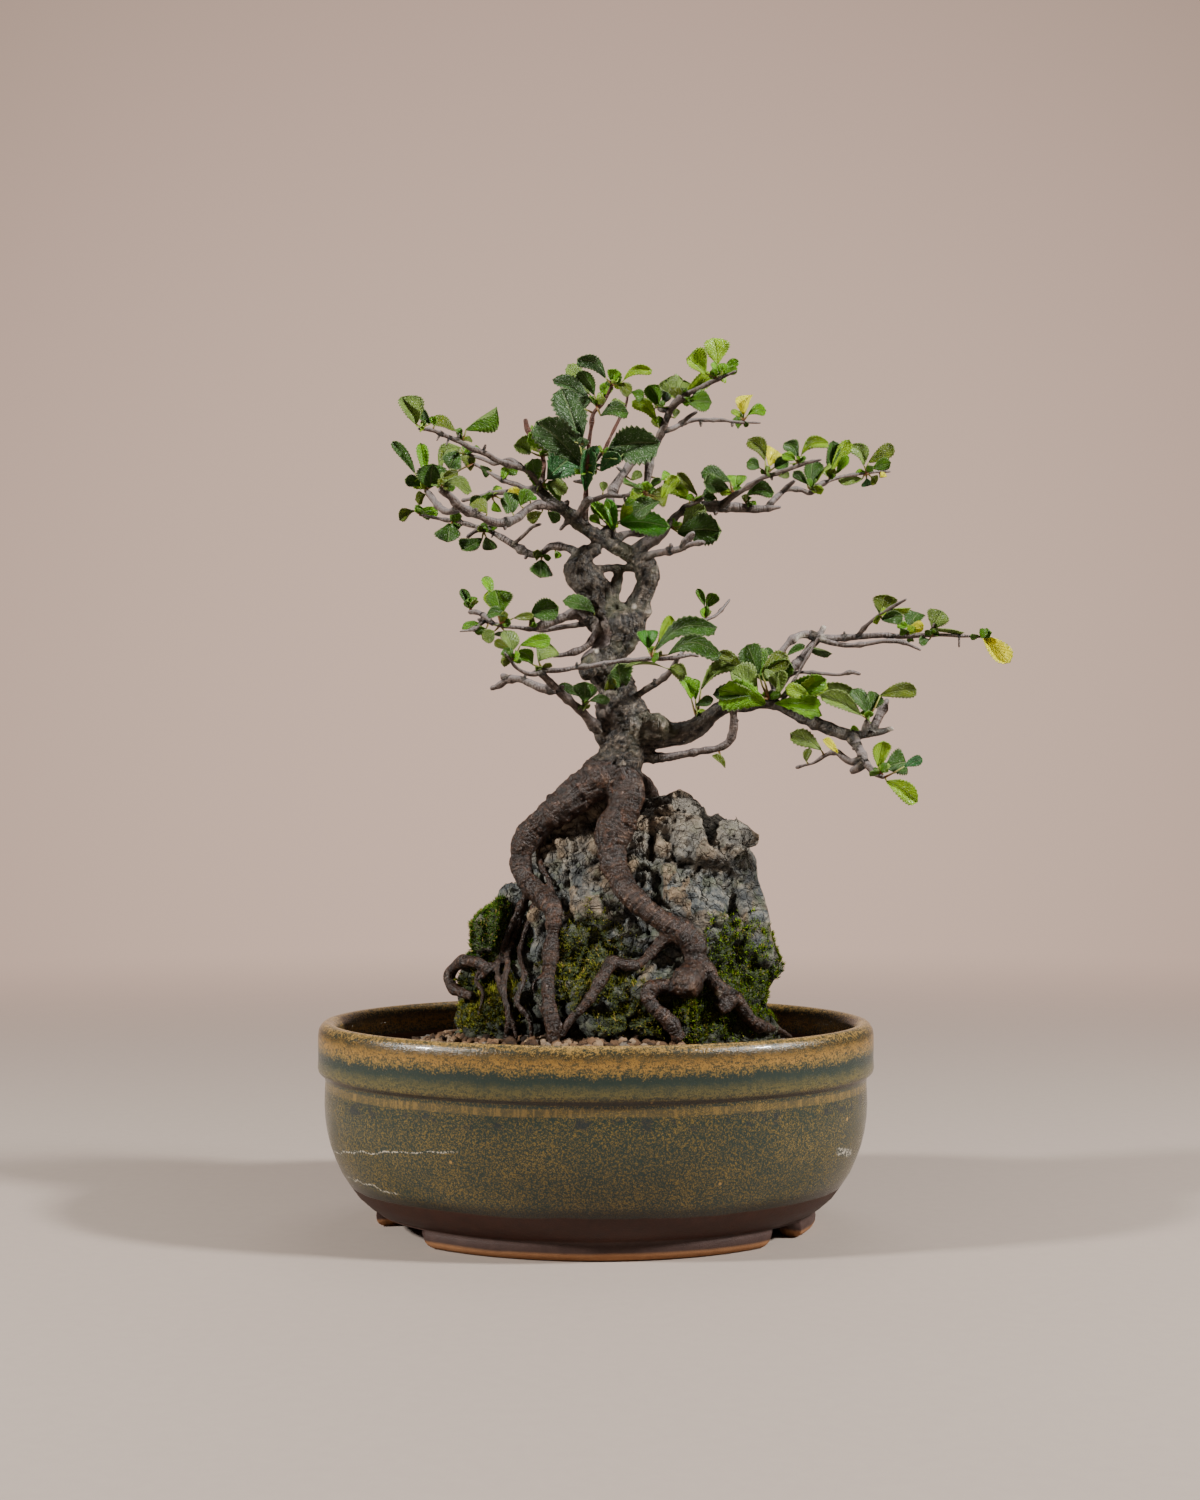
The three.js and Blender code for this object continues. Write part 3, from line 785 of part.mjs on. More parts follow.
// Sets the middle of the whole over the origin
bonsai.updateMatrixWorld(true);
const box = new THREE.Box3().setFromObject(bonsai);
const middle = box.getCenter(new THREE.Vector3());
bonsai.children.forEach((mesh) => mesh.position.set(-middle.x, -middle.y, -box.min.z));

export default bonsai;
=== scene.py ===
# %% [markdown]
# # A quince bonsai over a rock
# This lesson dresses a fixed CAD model of a small tree in its pot. The CAD pieces say where
# everything is. Here each of them gets its real surface: bark, stone, moss, loose clay grains,
# leaves with teeth and veins, and a speckled glaze. We load the model first. Nothing that we
# make may grow out of it.

# %% Load the fixed frame
import math
import random

import bmesh
import bpy
import numpy as np
from mathutils import Matrix, Vector, noise
from mathutils.kdtree import KDTree


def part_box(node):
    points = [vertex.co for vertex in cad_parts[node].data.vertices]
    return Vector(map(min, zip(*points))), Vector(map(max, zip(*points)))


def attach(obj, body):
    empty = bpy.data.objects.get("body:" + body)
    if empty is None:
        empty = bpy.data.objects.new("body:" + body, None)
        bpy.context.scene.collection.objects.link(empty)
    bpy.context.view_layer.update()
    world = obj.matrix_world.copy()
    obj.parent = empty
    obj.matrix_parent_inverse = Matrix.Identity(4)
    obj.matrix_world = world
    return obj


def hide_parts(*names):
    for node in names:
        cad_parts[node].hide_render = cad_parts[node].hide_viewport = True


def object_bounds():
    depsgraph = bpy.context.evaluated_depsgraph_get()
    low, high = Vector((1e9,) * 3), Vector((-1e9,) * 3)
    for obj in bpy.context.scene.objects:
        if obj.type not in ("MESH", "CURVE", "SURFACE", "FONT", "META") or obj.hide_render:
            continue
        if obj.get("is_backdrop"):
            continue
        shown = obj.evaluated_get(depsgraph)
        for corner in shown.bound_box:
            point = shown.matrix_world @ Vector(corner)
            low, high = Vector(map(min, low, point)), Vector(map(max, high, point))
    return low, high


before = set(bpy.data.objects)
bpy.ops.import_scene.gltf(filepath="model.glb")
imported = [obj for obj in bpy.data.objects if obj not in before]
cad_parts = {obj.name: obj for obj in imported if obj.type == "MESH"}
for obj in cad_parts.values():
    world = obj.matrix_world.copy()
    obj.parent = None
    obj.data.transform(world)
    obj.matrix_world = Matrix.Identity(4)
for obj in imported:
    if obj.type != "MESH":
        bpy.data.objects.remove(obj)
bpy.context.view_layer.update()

MM = 0.001
POT_LOW, POT_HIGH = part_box("pot")
MIDDLE_X = (POT_LOW.x + POT_HIGH.x) / 2

# %% [markdown]
# ## Where things are
# The front of the tree is known best, so places are noted as it is seen from the front: x to the
# right of the pot's middle and z above the table, in millimetres, on the upright plane through
# the pot's middle. A thing that lies in front of that plane or behind it is pushed along the line
# of sight to its own depth, so it still looks right from the front.

# %% From a place in the front view to a point
EYE = Vector((1.7, -857, 180.5))
EYE_PITCH = math.radians(1.09)


def seen(x, z, y=0.0):
    """The point at depth y that is seen at (x, z); millimetres in, metres out."""
    share = (y - EYE.y) / -EYE.y
    across = EYE.x + (x - EYE.x) * share
    return Vector((MIDDLE_X + across * MM, y * MM, (EYE.z + (z - EYE.z) * share) * MM))


def appears(point):
    """Where a point shows in the front view, in millimetres."""
    share = -EYE.y / (point.y / MM - EYE.y)
    x = (point.x - MIDDLE_X) / MM
    return EYE.x + (x - EYE.x) * share, EYE.z + (point.z / MM - EYE.z) * share


print("seen at (0, 200) and 40 mm behind the middle:", [round(v, 4) for v in seen(0, 200, 40)])

# %% [markdown]
# ## Camera, floor and light
# The eye stands a little under a metre away, at the height of the trunk, and looks very slightly
# up. Two small bright lamps, one on each side, and a weak wide one above and behind give the
# rounded light of a studio. The air behind the tree is brighter than that in front, so the shadows
# stay deep. The floor is a plain pale disc that fades out far away, so no horizon cuts through the
# tree.

# %% Camera
def linked(name, data):
    """A new object in the scene."""
    made = bpy.data.objects.new(name, data)
    bpy.context.scene.collection.objects.link(made)
    return made


camera = linked("camera", bpy.data.cameras.new("camera"))
bpy.context.scene.camera = camera
camera.location = (MIDDLE_X + EYE.x * MM, EYE.y * MM, EYE.z * MM)
camera.rotation_euler = (math.pi / 2 + EYE_PITCH, 0, 0)
camera.data.lens = 49.2
camera.data.clip_start = 0.01
camera.data.clip_end = 20
print(f"the eye is {-EYE.y:.0f} mm in front of the pot's middle")

# %% Lamps and the light of the room
TREE_MIDDLE = seen(0, 150)
LAMPS = {
    "left_lamp": dict(at=(-1.3, -0.55, 0.7), size=0.15, watts=44.0, tint=(1.0, 0.96, 0.91)),
    "right_lamp": dict(at=(1.25, -0.5, 0.85), size=0.15, watts=52.0, tint=(1.0, 0.97, 0.93)),
    "top_lamp": dict(at=(0.1, 0.5, 1.3), size=0.7, watts=5.0, tint=(1.0, 0.98, 0.96)),
}
for name, lamp in LAMPS.items():
    light = bpy.data.lights.new(name, "AREA")
    light.size = lamp["size"]
    light.energy = lamp["watts"]
    light.color = lamp["tint"]
    holder = linked(name, light)
    holder.location = TREE_MIDDLE + Vector(lamp["at"])
    holder.rotation_euler = (-Vector(lamp["at"])).to_track_quat("-Z", "Y").to_euler()

room = bpy.data.worlds.new("room")
bpy.context.scene.world = room
room.use_nodes = True
room_nodes, room_links = room.node_tree.nodes, room.node_tree.links
view = room_nodes.new("ShaderNodeTexCoord")
axes = room_nodes.new("ShaderNodeSeparateXYZ")
glow = room_nodes.new("ShaderNodeMapRange")
glow.inputs["From Min"].default_value = 0.75
glow.inputs["To Min"].default_value = 0.11
glow.inputs["To Max"].default_value = 1.2
room_links.new(view.outputs["Generated"], axes.inputs[0])
room_links.new(axes.outputs["Y"], glow.inputs["Value"])
room_links.new(glow.outputs[0], room_nodes["Background"].inputs["Strength"])
room_nodes["Background"].inputs["Color"].default_value = (0.72, 0.5, 0.4, 1)
print("lamps:", ", ".join(LAMPS))

# %% [markdown]
# ## A short way to write materials
# A material is a net of nodes. To keep it readable, one small class holds an output of a node and
# answers to plus, minus, times and divided by, so that shader maths looks like school maths.
# Every other node comes from one method, which takes the node's kind, its settings and its inputs.

# %% Sums on the outputs of nodes
class Wire:
    """One output of a node in a material."""

    def __init__(self, paint, socket):
        self.paint = paint
        self.socket = socket

    def maths(self, operation, first, second):
        return self.paint.node("Math", {"operation": operation}, {0: first, 1: second})

    def __add__(self, other):
        return self.maths("ADD", self, other)

    def __sub__(self, other):
        return self.maths("SUBTRACT", self, other)

    def __rsub__(self, other):
        return self.maths("SUBTRACT", other, self)

    def __mul__(self, other):
        return self.maths("MULTIPLY", self, other)

    def __truediv__(self, other):
        return self.maths("DIVIDE", self, other)


# %% A material under construction
class Paint:
    """A new material, its surface shader and the nodes that feed it."""

    def __init__(self, name, **constants):
        self.material = bpy.data.materials.new(name)
        self.material.use_nodes = True
        self.nodes = self.material.node_tree.nodes
        self.surface = self.nodes["Principled BSDF"]
        for socket, value in constants.items():
            self.surface.inputs[socket.replace("_", " ")].default_value = value

    def plug(self, value, socket):
        if isinstance(value, Wire):
            self.material.node_tree.links.new(value.socket, socket)
        else:
            socket.default_value = value

    def node(self, kind, settings=None, inputs=None, output=0):
        made = self.nodes.new("ShaderNode" + kind)
        for key, value in (settings or {}).items():
            setattr(made, key, value)
        for key, value in (inputs or {}).items():
            self.plug(value, made.inputs[key])
        return Wire(self, made.outputs[output])

    def place(self):
        """The piece's own coordinates, in metres."""
        return self.node("TexCoord", output="Object")

    def value(self, name):
        """A number that the mesh holds for each of its points."""
        return self.node("Attribute", {"attribute_name": name}, output="Fac")

    def vector(self, name):
        return self.node("Attribute", {"attribute_name": name}, output="Vector")

    def stretched(self, vector, scale):
        """A vector with each of its three numbers multiplied."""
        return self.node("VectorMath", {"operation": "MULTIPLY"}, {0: vector, 1: scale})

    def part(self, vector, axis):
        return self.node("SeparateXYZ", inputs={0: vector}, output=axis)

    def noise(self, vector, scale, detail=3.0, rough=0.55):
        inputs = {"Vector": vector, "Scale": scale, "Detail": detail, "Roughness": rough}
        return self.node("TexNoise", None, inputs)

    def cells(self, vector, scale, feature="F1"):
        inputs = {"Vector": vector, "Scale": scale}
        return self.node("TexVoronoi", {"feature": feature}, inputs, "Distance")

    def step(self, value, low, high):
        """0 where the value is under low, 1 over high, smooth between."""
        settings = {"interpolation_type": "SMOOTHSTEP"}
        inputs = {"Value": value, "From Min": low, "From Max": high}
        return self.node("MapRange", settings, inputs)

    def band(self, value, low, full, fading, gone):
        """1 between full and fading, 0 under low and over gone, smooth between."""
        return self.step(value, low, full) * (1 - self.step(value, fading, gone))

    def mix(self, share, first, second, way="MIX"):
        """One colour over another."""
        made = self.nodes.new("ShaderNodeMix")
        made.data_type = "RGBA"
        made.blend_type = way
        self.plug(share, made.inputs[0])
        self.plug(first, made.inputs[6])
        self.plug(second, made.inputs[7])
        return Wire(self, made.outputs[2])

    def ramp(self, value, stops):
        """A colour for each height of the value: stops are (height, colour)."""
        made = self.nodes.new("ShaderNodeValToRGB")
        while len(made.color_ramp.elements) < len(stops):
            made.color_ramp.elements.new(0.5)
        for element, (height, colour) in zip(made.color_ramp.elements, stops):
            element.position = height
            element.color = (*colour, 1)
        self.plug(value, made.inputs[0])
        return Wire(self, made.outputs[0])

    def bump(self, height, distance, strength):
        inputs = {"Height": height, "Distance": distance, "Strength": strength}
        return self.node("Bump", None, inputs)

    def finish(self, **inputs):
        """Plugs the last values into the surface shader and gives the material."""
        for socket, value in inputs.items():
            self.plug(value, self.surface.inputs[socket.replace("_", " ")])
        return self.material


def rgb(red, green, blue):
    return (red, green, blue, 1.0)


print("materials can be mixed")

# %% Floor
def mesh_from(name, shape):
    """The mesh of a bmesh, which is freed."""
    data = bpy.data.meshes.new(name)
    shape.to_mesh(data)
    shape.free()
    return data


paper = Paint("pale_paper", Roughness=0.9)
fibre = paper.noise(paper.place(), 180.0, 2.0)
paper_colour = paper.mix(fibre, rgb(0.33, 0.275, 0.24), rgb(0.36, 0.3, 0.26))
reach = paper.node("VectorMath", {"operation": "LENGTH"}, {0: paper.place()}, "Value")
fade = 1 - paper.step(reach, 0.35, 1.5)
floor_mesh = bmesh.new()
bmesh.ops.create_circle(floor_mesh, cap_ends=True, segments=96, radius=6.0)
floor = linked("floor", mesh_from("floor", floor_mesh))
floor.data.materials.append(paper.finish(Base_Color=paper_colour, Alpha=fade))
floor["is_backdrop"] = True
print("floor laid")

# %% [markdown]
# ## Helpers for pieces
# Every finished piece is one mesh whose object sits at the origin. One helper makes the object,
# lets it ride with the plant and hides the CAD parts it stands for. Another one strews copies of a
# small shape, such as grains of soil or blades of moss, into one mesh: true faces, because the kept
# model can't hold instances.

# %% From a mesh to a piece
def piece(name, data, materials, replaces=()):
    """A mesh as a piece of the plant, with smooth shading."""
    data.shade_smooth()
    made = linked(name, data)
    for material in materials:
        made.data.materials.append(material)
    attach(made, "root")
    if replaces:
        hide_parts(*replaces)
    data.calc_loop_triangles()
    print(f"{name}: {len(data.loop_triangles)} triangles")
    return made


def settled(data, kind, **settings):
    """A mesh with one modifier applied."""
    holder = linked("holder", data)
    modifier = holder.modifiers.new("step", kind)
    for key, value in settings.items():
        setattr(modifier, key, value)
    return baked(holder)


def baked(holder):
    """The mesh that an object shows; the object is removed."""
    graph = bpy.context.evaluated_depsgraph_get()
    made = bpy.data.meshes.new_from_object(holder.evaluated_get(graph))
    bpy.data.objects.remove(holder)
    return made


def note(data, name, values, kind="FLOAT"):
    """Keeps a number or a vector for each point of a mesh."""
    layer = data.attributes.new(name, kind, "POINT")
    field = "vector" if kind == "FLOAT_VECTOR" else "value"
    layer.data.foreach_set(field, np.asarray(values, np.float32).ravel())


def points_of(data):
    """The points of a mesh as rows of x, y and z."""
    flat = np.empty(len(data.vertices) * 3, np.float32)
    data.vertices.foreach_get("co", flat)
    return flat.reshape(-1, 3)


def strewn(templates, places):
    """One mesh with a copy of a template at each place: places are (template, matrix, tone)."""
    shapes = []
    for template in templates:
        faces = [tuple(f.vertices) for f in template.polygons]
        shapes.append((points_of(template), faces))
    all_points, all_faces, tones, start = [], [], [], 0
    for index, matrix, tone in places:
        points, faces = shapes[index]
        turned = points @ np.array(matrix.to_3x3()).T + np.array(matrix.translation)
        all_points.append(turned)
        all_faces.extend(tuple(start + i for i in face) for face in faces)
        tones.extend([tone] * len(points))
        start += len(points)
    data = bpy.data.meshes.new("strewn")
    data.from_pydata(np.concatenate(all_points).tolist(), [], all_faces)
    note(data, "tone", tones)
    return data


print("helpers ready")

# %% [markdown]
# ## The lines of the wood
# Trunk, roots, branches and twigs are one grown thing, so they are drawn as lines that fork: each
# limb starts on the limb it grows from. A stop on a line is (x, z, radius) as seen from the
# front, sometimes with its own depth. The lean says how far back or forward the tip lies, and HUG
# lays a root on the front of the rock. The rock itself starts as seven blunt lumps, which the roots
# need to know. Noise bends them later, and the seed keeps that noise the same in every run.

# %% The rock's lumps: centre and half lengths
LUMPS = [
    ((9, 8, 82), (68, 46, 34)), ((17, 12, 112), (54, 36, 36)), ((-45, 5, 110), (12, 17, 27)),
    ((30, 16, 142), (37, 27, 32)), ((0, 13, 138), (27, 23, 27)), ((35, 16, 164), (12, 12, 14)),
    ((57, 14, 155), (11, 15, 15)),
]
BLOCKY = 2.6  # 2 would make the lumps round, and a high number would make them boxes
noise.seed_set(3)  # else the noise that warps the rock would follow the clock
ROCK_SIDE_DEPTH = 4
PROUD = 0.35  # share of a root's radius that stands out of the rock
DEPTH_SHARE = 1.7  # how much every lean is stretched


def rock_front(x, z):
    """Depth of the rock's front at (x, z), or of its side where no rock is behind."""
    fronts = []
    for (cx, cy, cz), (hx, hy, hz) in LUMPS:
        left = 1 - abs((x - cx) / hx) ** BLOCKY - abs((z - cz) / hz) ** BLOCKY
        if left > 0:
            fronts.append(cy - hy * left ** (1 / BLOCKY))
    return min(fronts, default=ROCK_SIDE_DEPTH)


print(f"{len(LUMPS)} lumps")

# %% The limbs
HUG = "hug"


def rows_of(text):
    """The rows of a short table: words and numbers, with a comma between two rows."""
    for row in text.split(","):
        words = row.split()
        name = [words.pop(0)] if words[0][0].isalpha() else []
        yield name + [float(word) for word in words]


# Each limb: the limb it grows from, its lean, its stops
LIMBS = {
    "trunk": (None, 0, "10 176 9 2, 9.5 184 11 0, 9.5 190 10.5 0, 11 195 10 0, 11.5 201 11 0, 12 209 12 0, "
        "9.5 215 11 0, 8.5 221 8.8 0, 6.5 227 8.8 0, 4 232 9 0, 5.5 238 8 0, 9 243 9 0, 10.5 249 11 0, "
        "10 254 9.5 0"),
    "left_stem": ("trunk", -3, "8 250 8, 4 256 6.5, 2 261 6, -2 266 7, -5.5 270 7.6, -6 275 6.4, -4 279 4, "
        "2 281 2.5"),
    "right_stem": ("trunk", -4, "13 247 7, 16 253 6, 18 259 4.6, 20 264 4.4, 21.5 269 5.4, 20.5 274 5, "
        "15 278.5 4, 9 281.5 3.6, 3 285 3.4, -2 288 3.3, -8 293 3, -14 298 2.8, -20 302 2.5, -24 306 2.2"),
    "cross_bar": ("left_stem", 2, "-1 273 2, 4 273 2, 9 273 2, 15 273 2.2, 19 273 2.4"),
    "middle_stem": ("cross_bar", -1, "10 273 2, 9 268 2.2, 8 262 2.3, 8 257 2.8, 9 251 3"),
    "grain_lump": ("trunk", -7, "2 238 4, -1 235 4.2, -3.5 231 4, -4 227 2.5"),
    "callus": ("trunk", -4, "14 205 8, 21 206 6.4, 27 206.5 5.6, 30.5 206.5 3"),
    # Roots over the rock
    "root_left": ("trunk", HUG, "8 188 9, 3 186 9 -1, -6 180 8 -1, -14 173 7.4 0, -22 167 6.5 1, "
        "-28 161 6 2, -31 154 5.4 2, -31 147 5 1, -28 141 4.8 -2, -23 136 4.8, -18 130 4.4, -18 120 3.3, "
        "-19 110 3.2, -20 100 3.2, -19.5 90 3.4, -18 82 3.4, -18 70 3"),
    "root_centre": ("trunk", HUG, "12 186 7, 13 181 7 -4, 12 172 7.5 -6, 7 161 7.8, 7 150 5.6, 10 143 5.5, "
        "13 138 5.4, 18 133 5, 24 128 4.6, 30 124 4.7, 36 120.5 5.6, 41 115 5.4, 41 107 4.6, "
        "37.2 99.3 6.8, 33 96.5 4"),
    "root_centre_low": ("root_centre", HUG, "33 118 3, 27 116 2.7, 23 112 2.6, 17 107 2.6, 12 107 2.6, "
        "7 108 2.6, 4 104 2.6, 1 99 2.6, -2 94 2.5, -6 89 2.4, -10 85 2.3, -15 78 2"),
    "root_front": ("root_centre", HUG, "36 98 3.4, 31 98 3.2, 26 98 3, 21.5 96 3, 22 92 3, 26 88 3.3, "
        "30 84 3.4, 33 80 3.5, 35 76 3"),
    "root_right": ("root_centre", HUG, "43 110 3.4, 47 104 3.2, 50 99 3.2, 55 96 3.2, 59 92 3.2, "
        "62 87 3.1, 66 83 3, 71 81 2.4, 76 80 1.8, 81 77 1.5"),
    "root_knot": ("root_right", HUG, "57 94 3, 54 91 3.6, 51 88 3"),
    "root_back": ("trunk", 0, "12 186 6, 17 183 5 12, 22 178 4.4 26, 25 167 4.2 38, 27 151 4 42, "
        "28 133 3.8 46, 27 112 3.6 52, 24 93 3.6 55, 21 76 3.4 57"),
    "root_back_right": ("root_back", 0, "27 150 3, 34 138 3 45, 43 122 3 46, 49 104 3 47, 52 88 3 49, "
        "53 74 2.6 51"),
    "strand_left": ("root_left", HUG, "-27 140 2, -30 132 1.9, -32 126 1.8, -34 120 1.8, -36 114 1.8, "
        "-38 109 1.8, -43 105 1.7, -48 102 1.5"),
    "strand_inner": ("root_left", HUG, "-31 129 1.6, -31.5 114 1.5, -30 101 1.4, -33 92 1.5, -27.5 84 1.3, "
        "-27 72 1.2"),
    "strand_low": ("strand_left", HUG, "-36 112 1.5, -37 106 1.4, -38 100 1.3, -38 94 1.3, -36 88 1.3, "
        "-34 82 1.2, -33 76 1.1"),
    "loop_root": ("strand_left", HUG, "-44 105 2.4, -48 107.5 2.6, -53 108.5 2.8 -9, -58 107 2.8 -4, "
        "-61 103 2.7 -3, -60 98 2.6 -6, -56 95.5 2.5 -12, -51 94 2.2"),
    # Left side, low: two branches and the twig that crosses in front of the trunk
    "low_left": ("trunk", -17, "7 198 3, 3.5 201 2.9 -4, 1 205 2.7, -2.5 209 2.5, -6 213 2.3, "
        "-10 216.5 2.2, -14 220 2.1, -18 224 2, -21.5 227.5 1.7, -23.5 230 1.5"),
    "low_left_stub": ("low_left", 7, "-17 222 2, -22 222.5 2.1, -27 224.5 1.9, -32 226.5 1.7, -37 226 1.7, "
        "-41 223.5 1.6, -44 222.5 1.3"),
    "low_left_fork": ("low_left_stub", 1, "-35 226 1.4, -38 227 1.4, -39.5 228.5 1.2"),
    "crossing": ("low_left", 1, "-23 230 1.3, -14 230.3 1.2, -8 231.4 1.2, -2 232 1.2, 4 233 1.2, "
        "10 234 1.2, 16 234.5 1.15, 22 235 1.15, 28 235 1.1, 34 235.5 1, 40 236.6 0.9, 43 236 0.8"),
    "crossing_left": ("crossing", -6, "-22.5 230 1.2, -27 228.5 1.1, -31 229.8 1, -34 232 1, -36 235 0.8, "
        "-38.3 237.5 0.6"),
    "slant": ("trunk", -14, "14 216 2, 18 220 1.9, 22 222.8 1.8, 27 226 1.7, 31 229.6 1.6, 33 233 1.3, "
        "35 237 0.8"),
    "slant_tip": ("slant", 26, "32 231.5 1.2, 35 236 1, 39 242 0.95, 43 248 1, 46 251.2 1.1, 50 253 0.9, "
        "53 256 0.9, 56 259.8 0.7"),
    # Left side, middle
    "mid_left": ("trunk", -12, "4 246 3.4, -1 249 3, -4 252.5 2.9, -8 254 2.7, -12 253 2.5, -17 251 2.3, "
        "-22 249.5 2.1, -27 247.5 1.6, -32 248 1.1, -38 248.6 1, -44 250 0.9, -49.5 251.6 0.7"),
    "mid_left_twin": ("mid_left", 3, "-3 250 1.5, -9 249 1.4, -15 248.2 1.3, -21 247.2 1.3, -26 247 1.2"),
    "mid_left_up": ("mid_left", 9, "-43 250 1, -46 252.5 1.1, -50 254.5 1.2, -53 254.6 1.2"),
    "mid_left_low": ("mid_left", -3, "-47 250.5 0.8, -51 247.5 0.7, -57 246.4 0.5"),
    "mid_left_spur": ("mid_left", -2, "-4 252.5 2.4, -0.5 250.5 2.3, 0.4 247 2.2, -2.5 241.7 1.9, "
        "-6 239 1.6, -9.8 237.6 1.4, -14 236.6 1.2, -18.2 236 0.9"),
    # Left side, top
    "fan_low": ("right_stem", 14, "-24 306 1.6, -29 306.5 1.4, -33 308 1.3, -38 309.5 1.2, -42 311.5 1.1, "
        "-46 314 0.9, -51 316.8 0.7"),
    "fan_top": ("right_stem", -26, "-24 306 1.7, -26 311 1.6, -31 315 1.6, -37 316.6 1.5, -42 318.5 1.4, "
        "-46 321 1.4, -52 323.2 1.3, -57 326 1.2, -63 328.6 1.1, -69 331 1, -74.5 331.6 0.8"),
    "fan_mid": ("fan_top", 16, "-31 315 1.2, -36 318.6 1.1, -42 317 1.1, -48 319 1, -53.5 320.8 0.8"),
    "fan_bottom": ("right_stem", 20, "-24 306 1.5, -30 305.6 1.3, -37 305 1.4, -43 304.5 1.4, "
        "-50 302.6 1.1, -56 301.4 0.9"),
    "outer_left": ("right_stem", -20, "-13 298 2.2, -20 299 2.2, -25 299.5 2.1, -29 297.5 2.1, "
        "-33 294 2.1, -39 292 2.1, -44 292.6 2.1, -49 295 2.1, -54 297 2.2, -58 299.5 2.2, -61 303 2.1, "
        "-65.5 306.3 1.8"),
    "outer_left_fork": ("outer_left", 12, "-57 298 1.8, -62 296.6 1.7, -66 299 1.6, -69 303 1.5, "
        "-71.5 306 1.3"),
    "under_left": ("left_stem", 12, "-5 278 2.4, -12 281.5 2.2, -19 282 2, -22.5 279.5 2, -26 278.6 2, "
        "-30 280 2, -34 282.5 1.9, -38 285 1.8, -42 287.3 1.6, -46 289.5 1.5, -51 290.6 1.3, "
        "-57 292.3 1.1, -64 293.4 1, -70 294.6 0.8, -74 295.3 0.7"),
    "under_left_twig": ("under_left", -12, "-34 283.5 1, -30 287 0.9, -26.5 290.3 0.8, -23 291.5 0.7"),
    "under_left_spur": ("under_left", -3, "-48 290 1.2, -51 288.2 1, -54 286 0.9"),
    # Top
    "leader": ("right_stem", 9, "3 285 3, 6 290 2.4, 6 297 2.4, 6.2 303 2.3, 9 309 2.4, 12 313 2.4, "
        "15 318 2.4, 17.5 322.6 2.2"),
    "leader_link": ("leader", 3, "17 321.5 1.7, 20 323 1.6, 23.5 324 1.7, 26 325.6 1.8"),
    "leader_drop": ("leader_link", -2, "24 324 1.8, 22.8 318 1.9, 22 313 1.9, 21 307.5 1.6"),
    "top_up": ("leader_link", -12, "25 325 1.8, 27 329 1.9, 29 334 1.8, 31 339 1.9, 34 343 1.9, "
        "38 346 1.6, 43 348.4 1.4, 48 351 1.2, 53 353.2 0.9, 59 356 0.6"),
    "top_up_spur": ("top_up", 2, "31 339.5 1.3, 28 339.6 1.3, 26 340 1.1"),
    "top_right": ("top_up", 24, "28 330.5 1.5, 32 331.6 1.5, 36 333.6 1.3, 41 335.2 1.2, 47 335.2 1.1, "
        "53 335.2 1, 58 334.4 0.9, 64 334.2 0.7, 69 334 0.5"),
    "top_right_stub": ("top_right", -3, "35 334 1.2, 39 336.6 1.1, 42.5 338.8 0.9"),
    "young_shoot": ("right_stem", -16, "-4 290 1.6, -4.5 297 1.4, -4.2 304 1.3, -4 311 1.1, -3.6 318 1, "
        "-3 325 1, -2 332 1, -1 338 1, 2.5 342 1, 5 346 0.9, 6.6 350 0.7"),
    "thin_top": ("young_shoot", 10, "-4 312 0.9, 0 318 0.8, 3.6 323 0.8, 7 330 0.8, 10 336 0.8, "
        "12.4 341 0.7, 13.4 346 0.6"),
    "inner_twig": ("young_shoot", -8, "-4 301 1.2, 0 302 1.2, 5 303.6 1.1, 11 303.2 1.1, 16 304.4 1, "
        "20 304.2 0.8"),
    "hub_stem": ("right_stem", 5, "-23 305 1.6, -22.6 310 1.4, -22 316 1.2, -22.6 321 1, -26 327 1.3, "
        "-28.6 331 1.6, -29.6 335.5 1.2"),
    "front_stub": ("right_stem", -8, "-9 293.5 2, -6.6 296.5 1.9, -4 300.5 1.8, -2.2 302.4 1.6"),
    # Right side, upper
    "high_right": ("right_stem", 6, "15 279 3.4, 20.5 283 2.8, 27 287 2.4, 31 292 2.3, 35 296 2.4, "
        "41 298.6 2.7, 47 299 2.8, 53 298.8 2.6, 60 298.4 2.5, 67 297.8 2.3, 73 298.2 1.7, 77.5 298.6 0.9"),
    "high_right_back": ("right_stem", 9, "7 283 2, 11 286.6 2, 17 288 2, 24 288.4 1.9, 30 290.6 1.7"),
    "high_sub_front": ("high_right", -26, "52 299 1.6, 57 303 1.6, 61 305.4 1.5, 65 308 1.4, 70 311 1.3, "
        "76 312.8 1.2, 82 315 1.1, 88 317.2 0.9, 94.5 318.6 0.6"),
    "high_sub_back": ("high_right", 26, "71 298.6 1.5, 76 303 1.3, 80 306 1.3, 86 305.8 1.3, "
        "89.5 304.6 1.6, 93 307.4 1.4, 98 309.8 1.1, 104 311.6 1, 111 312.6 0.9, 117 313.4 0.8, "
        "123.5 313.5 0.5"),
    "high_sub_stub": ("high_sub_back", -3, "78 305 1.1, 81 307.8 1, 83.4 309.8 0.8"),
    "high_dark_twig": ("high_right", -8, "36 297 1.2, 38.5 299 1, 42 300.4 1, 45 302.6 0.9"),
    "low_high_right": ("right_stem", -18, "18 276 2, 24 278.8 1.8, 30 280 1.8, 35 281 1.7, 40 283 1.5, "
        "45.5 283.8 1.1"),
    "low_high_spur": ("low_high_right", -3, "36.5 281.5 1.8, 38.5 285 1.8, 41 288 1.3"),
    # Right side, lower: the long branch
    "long_right": ("trunk", -10, "14 203 8, 22 203 6.8, 29 203.4 6, 35 203.6 5.2, 41 205.6 4.5, "
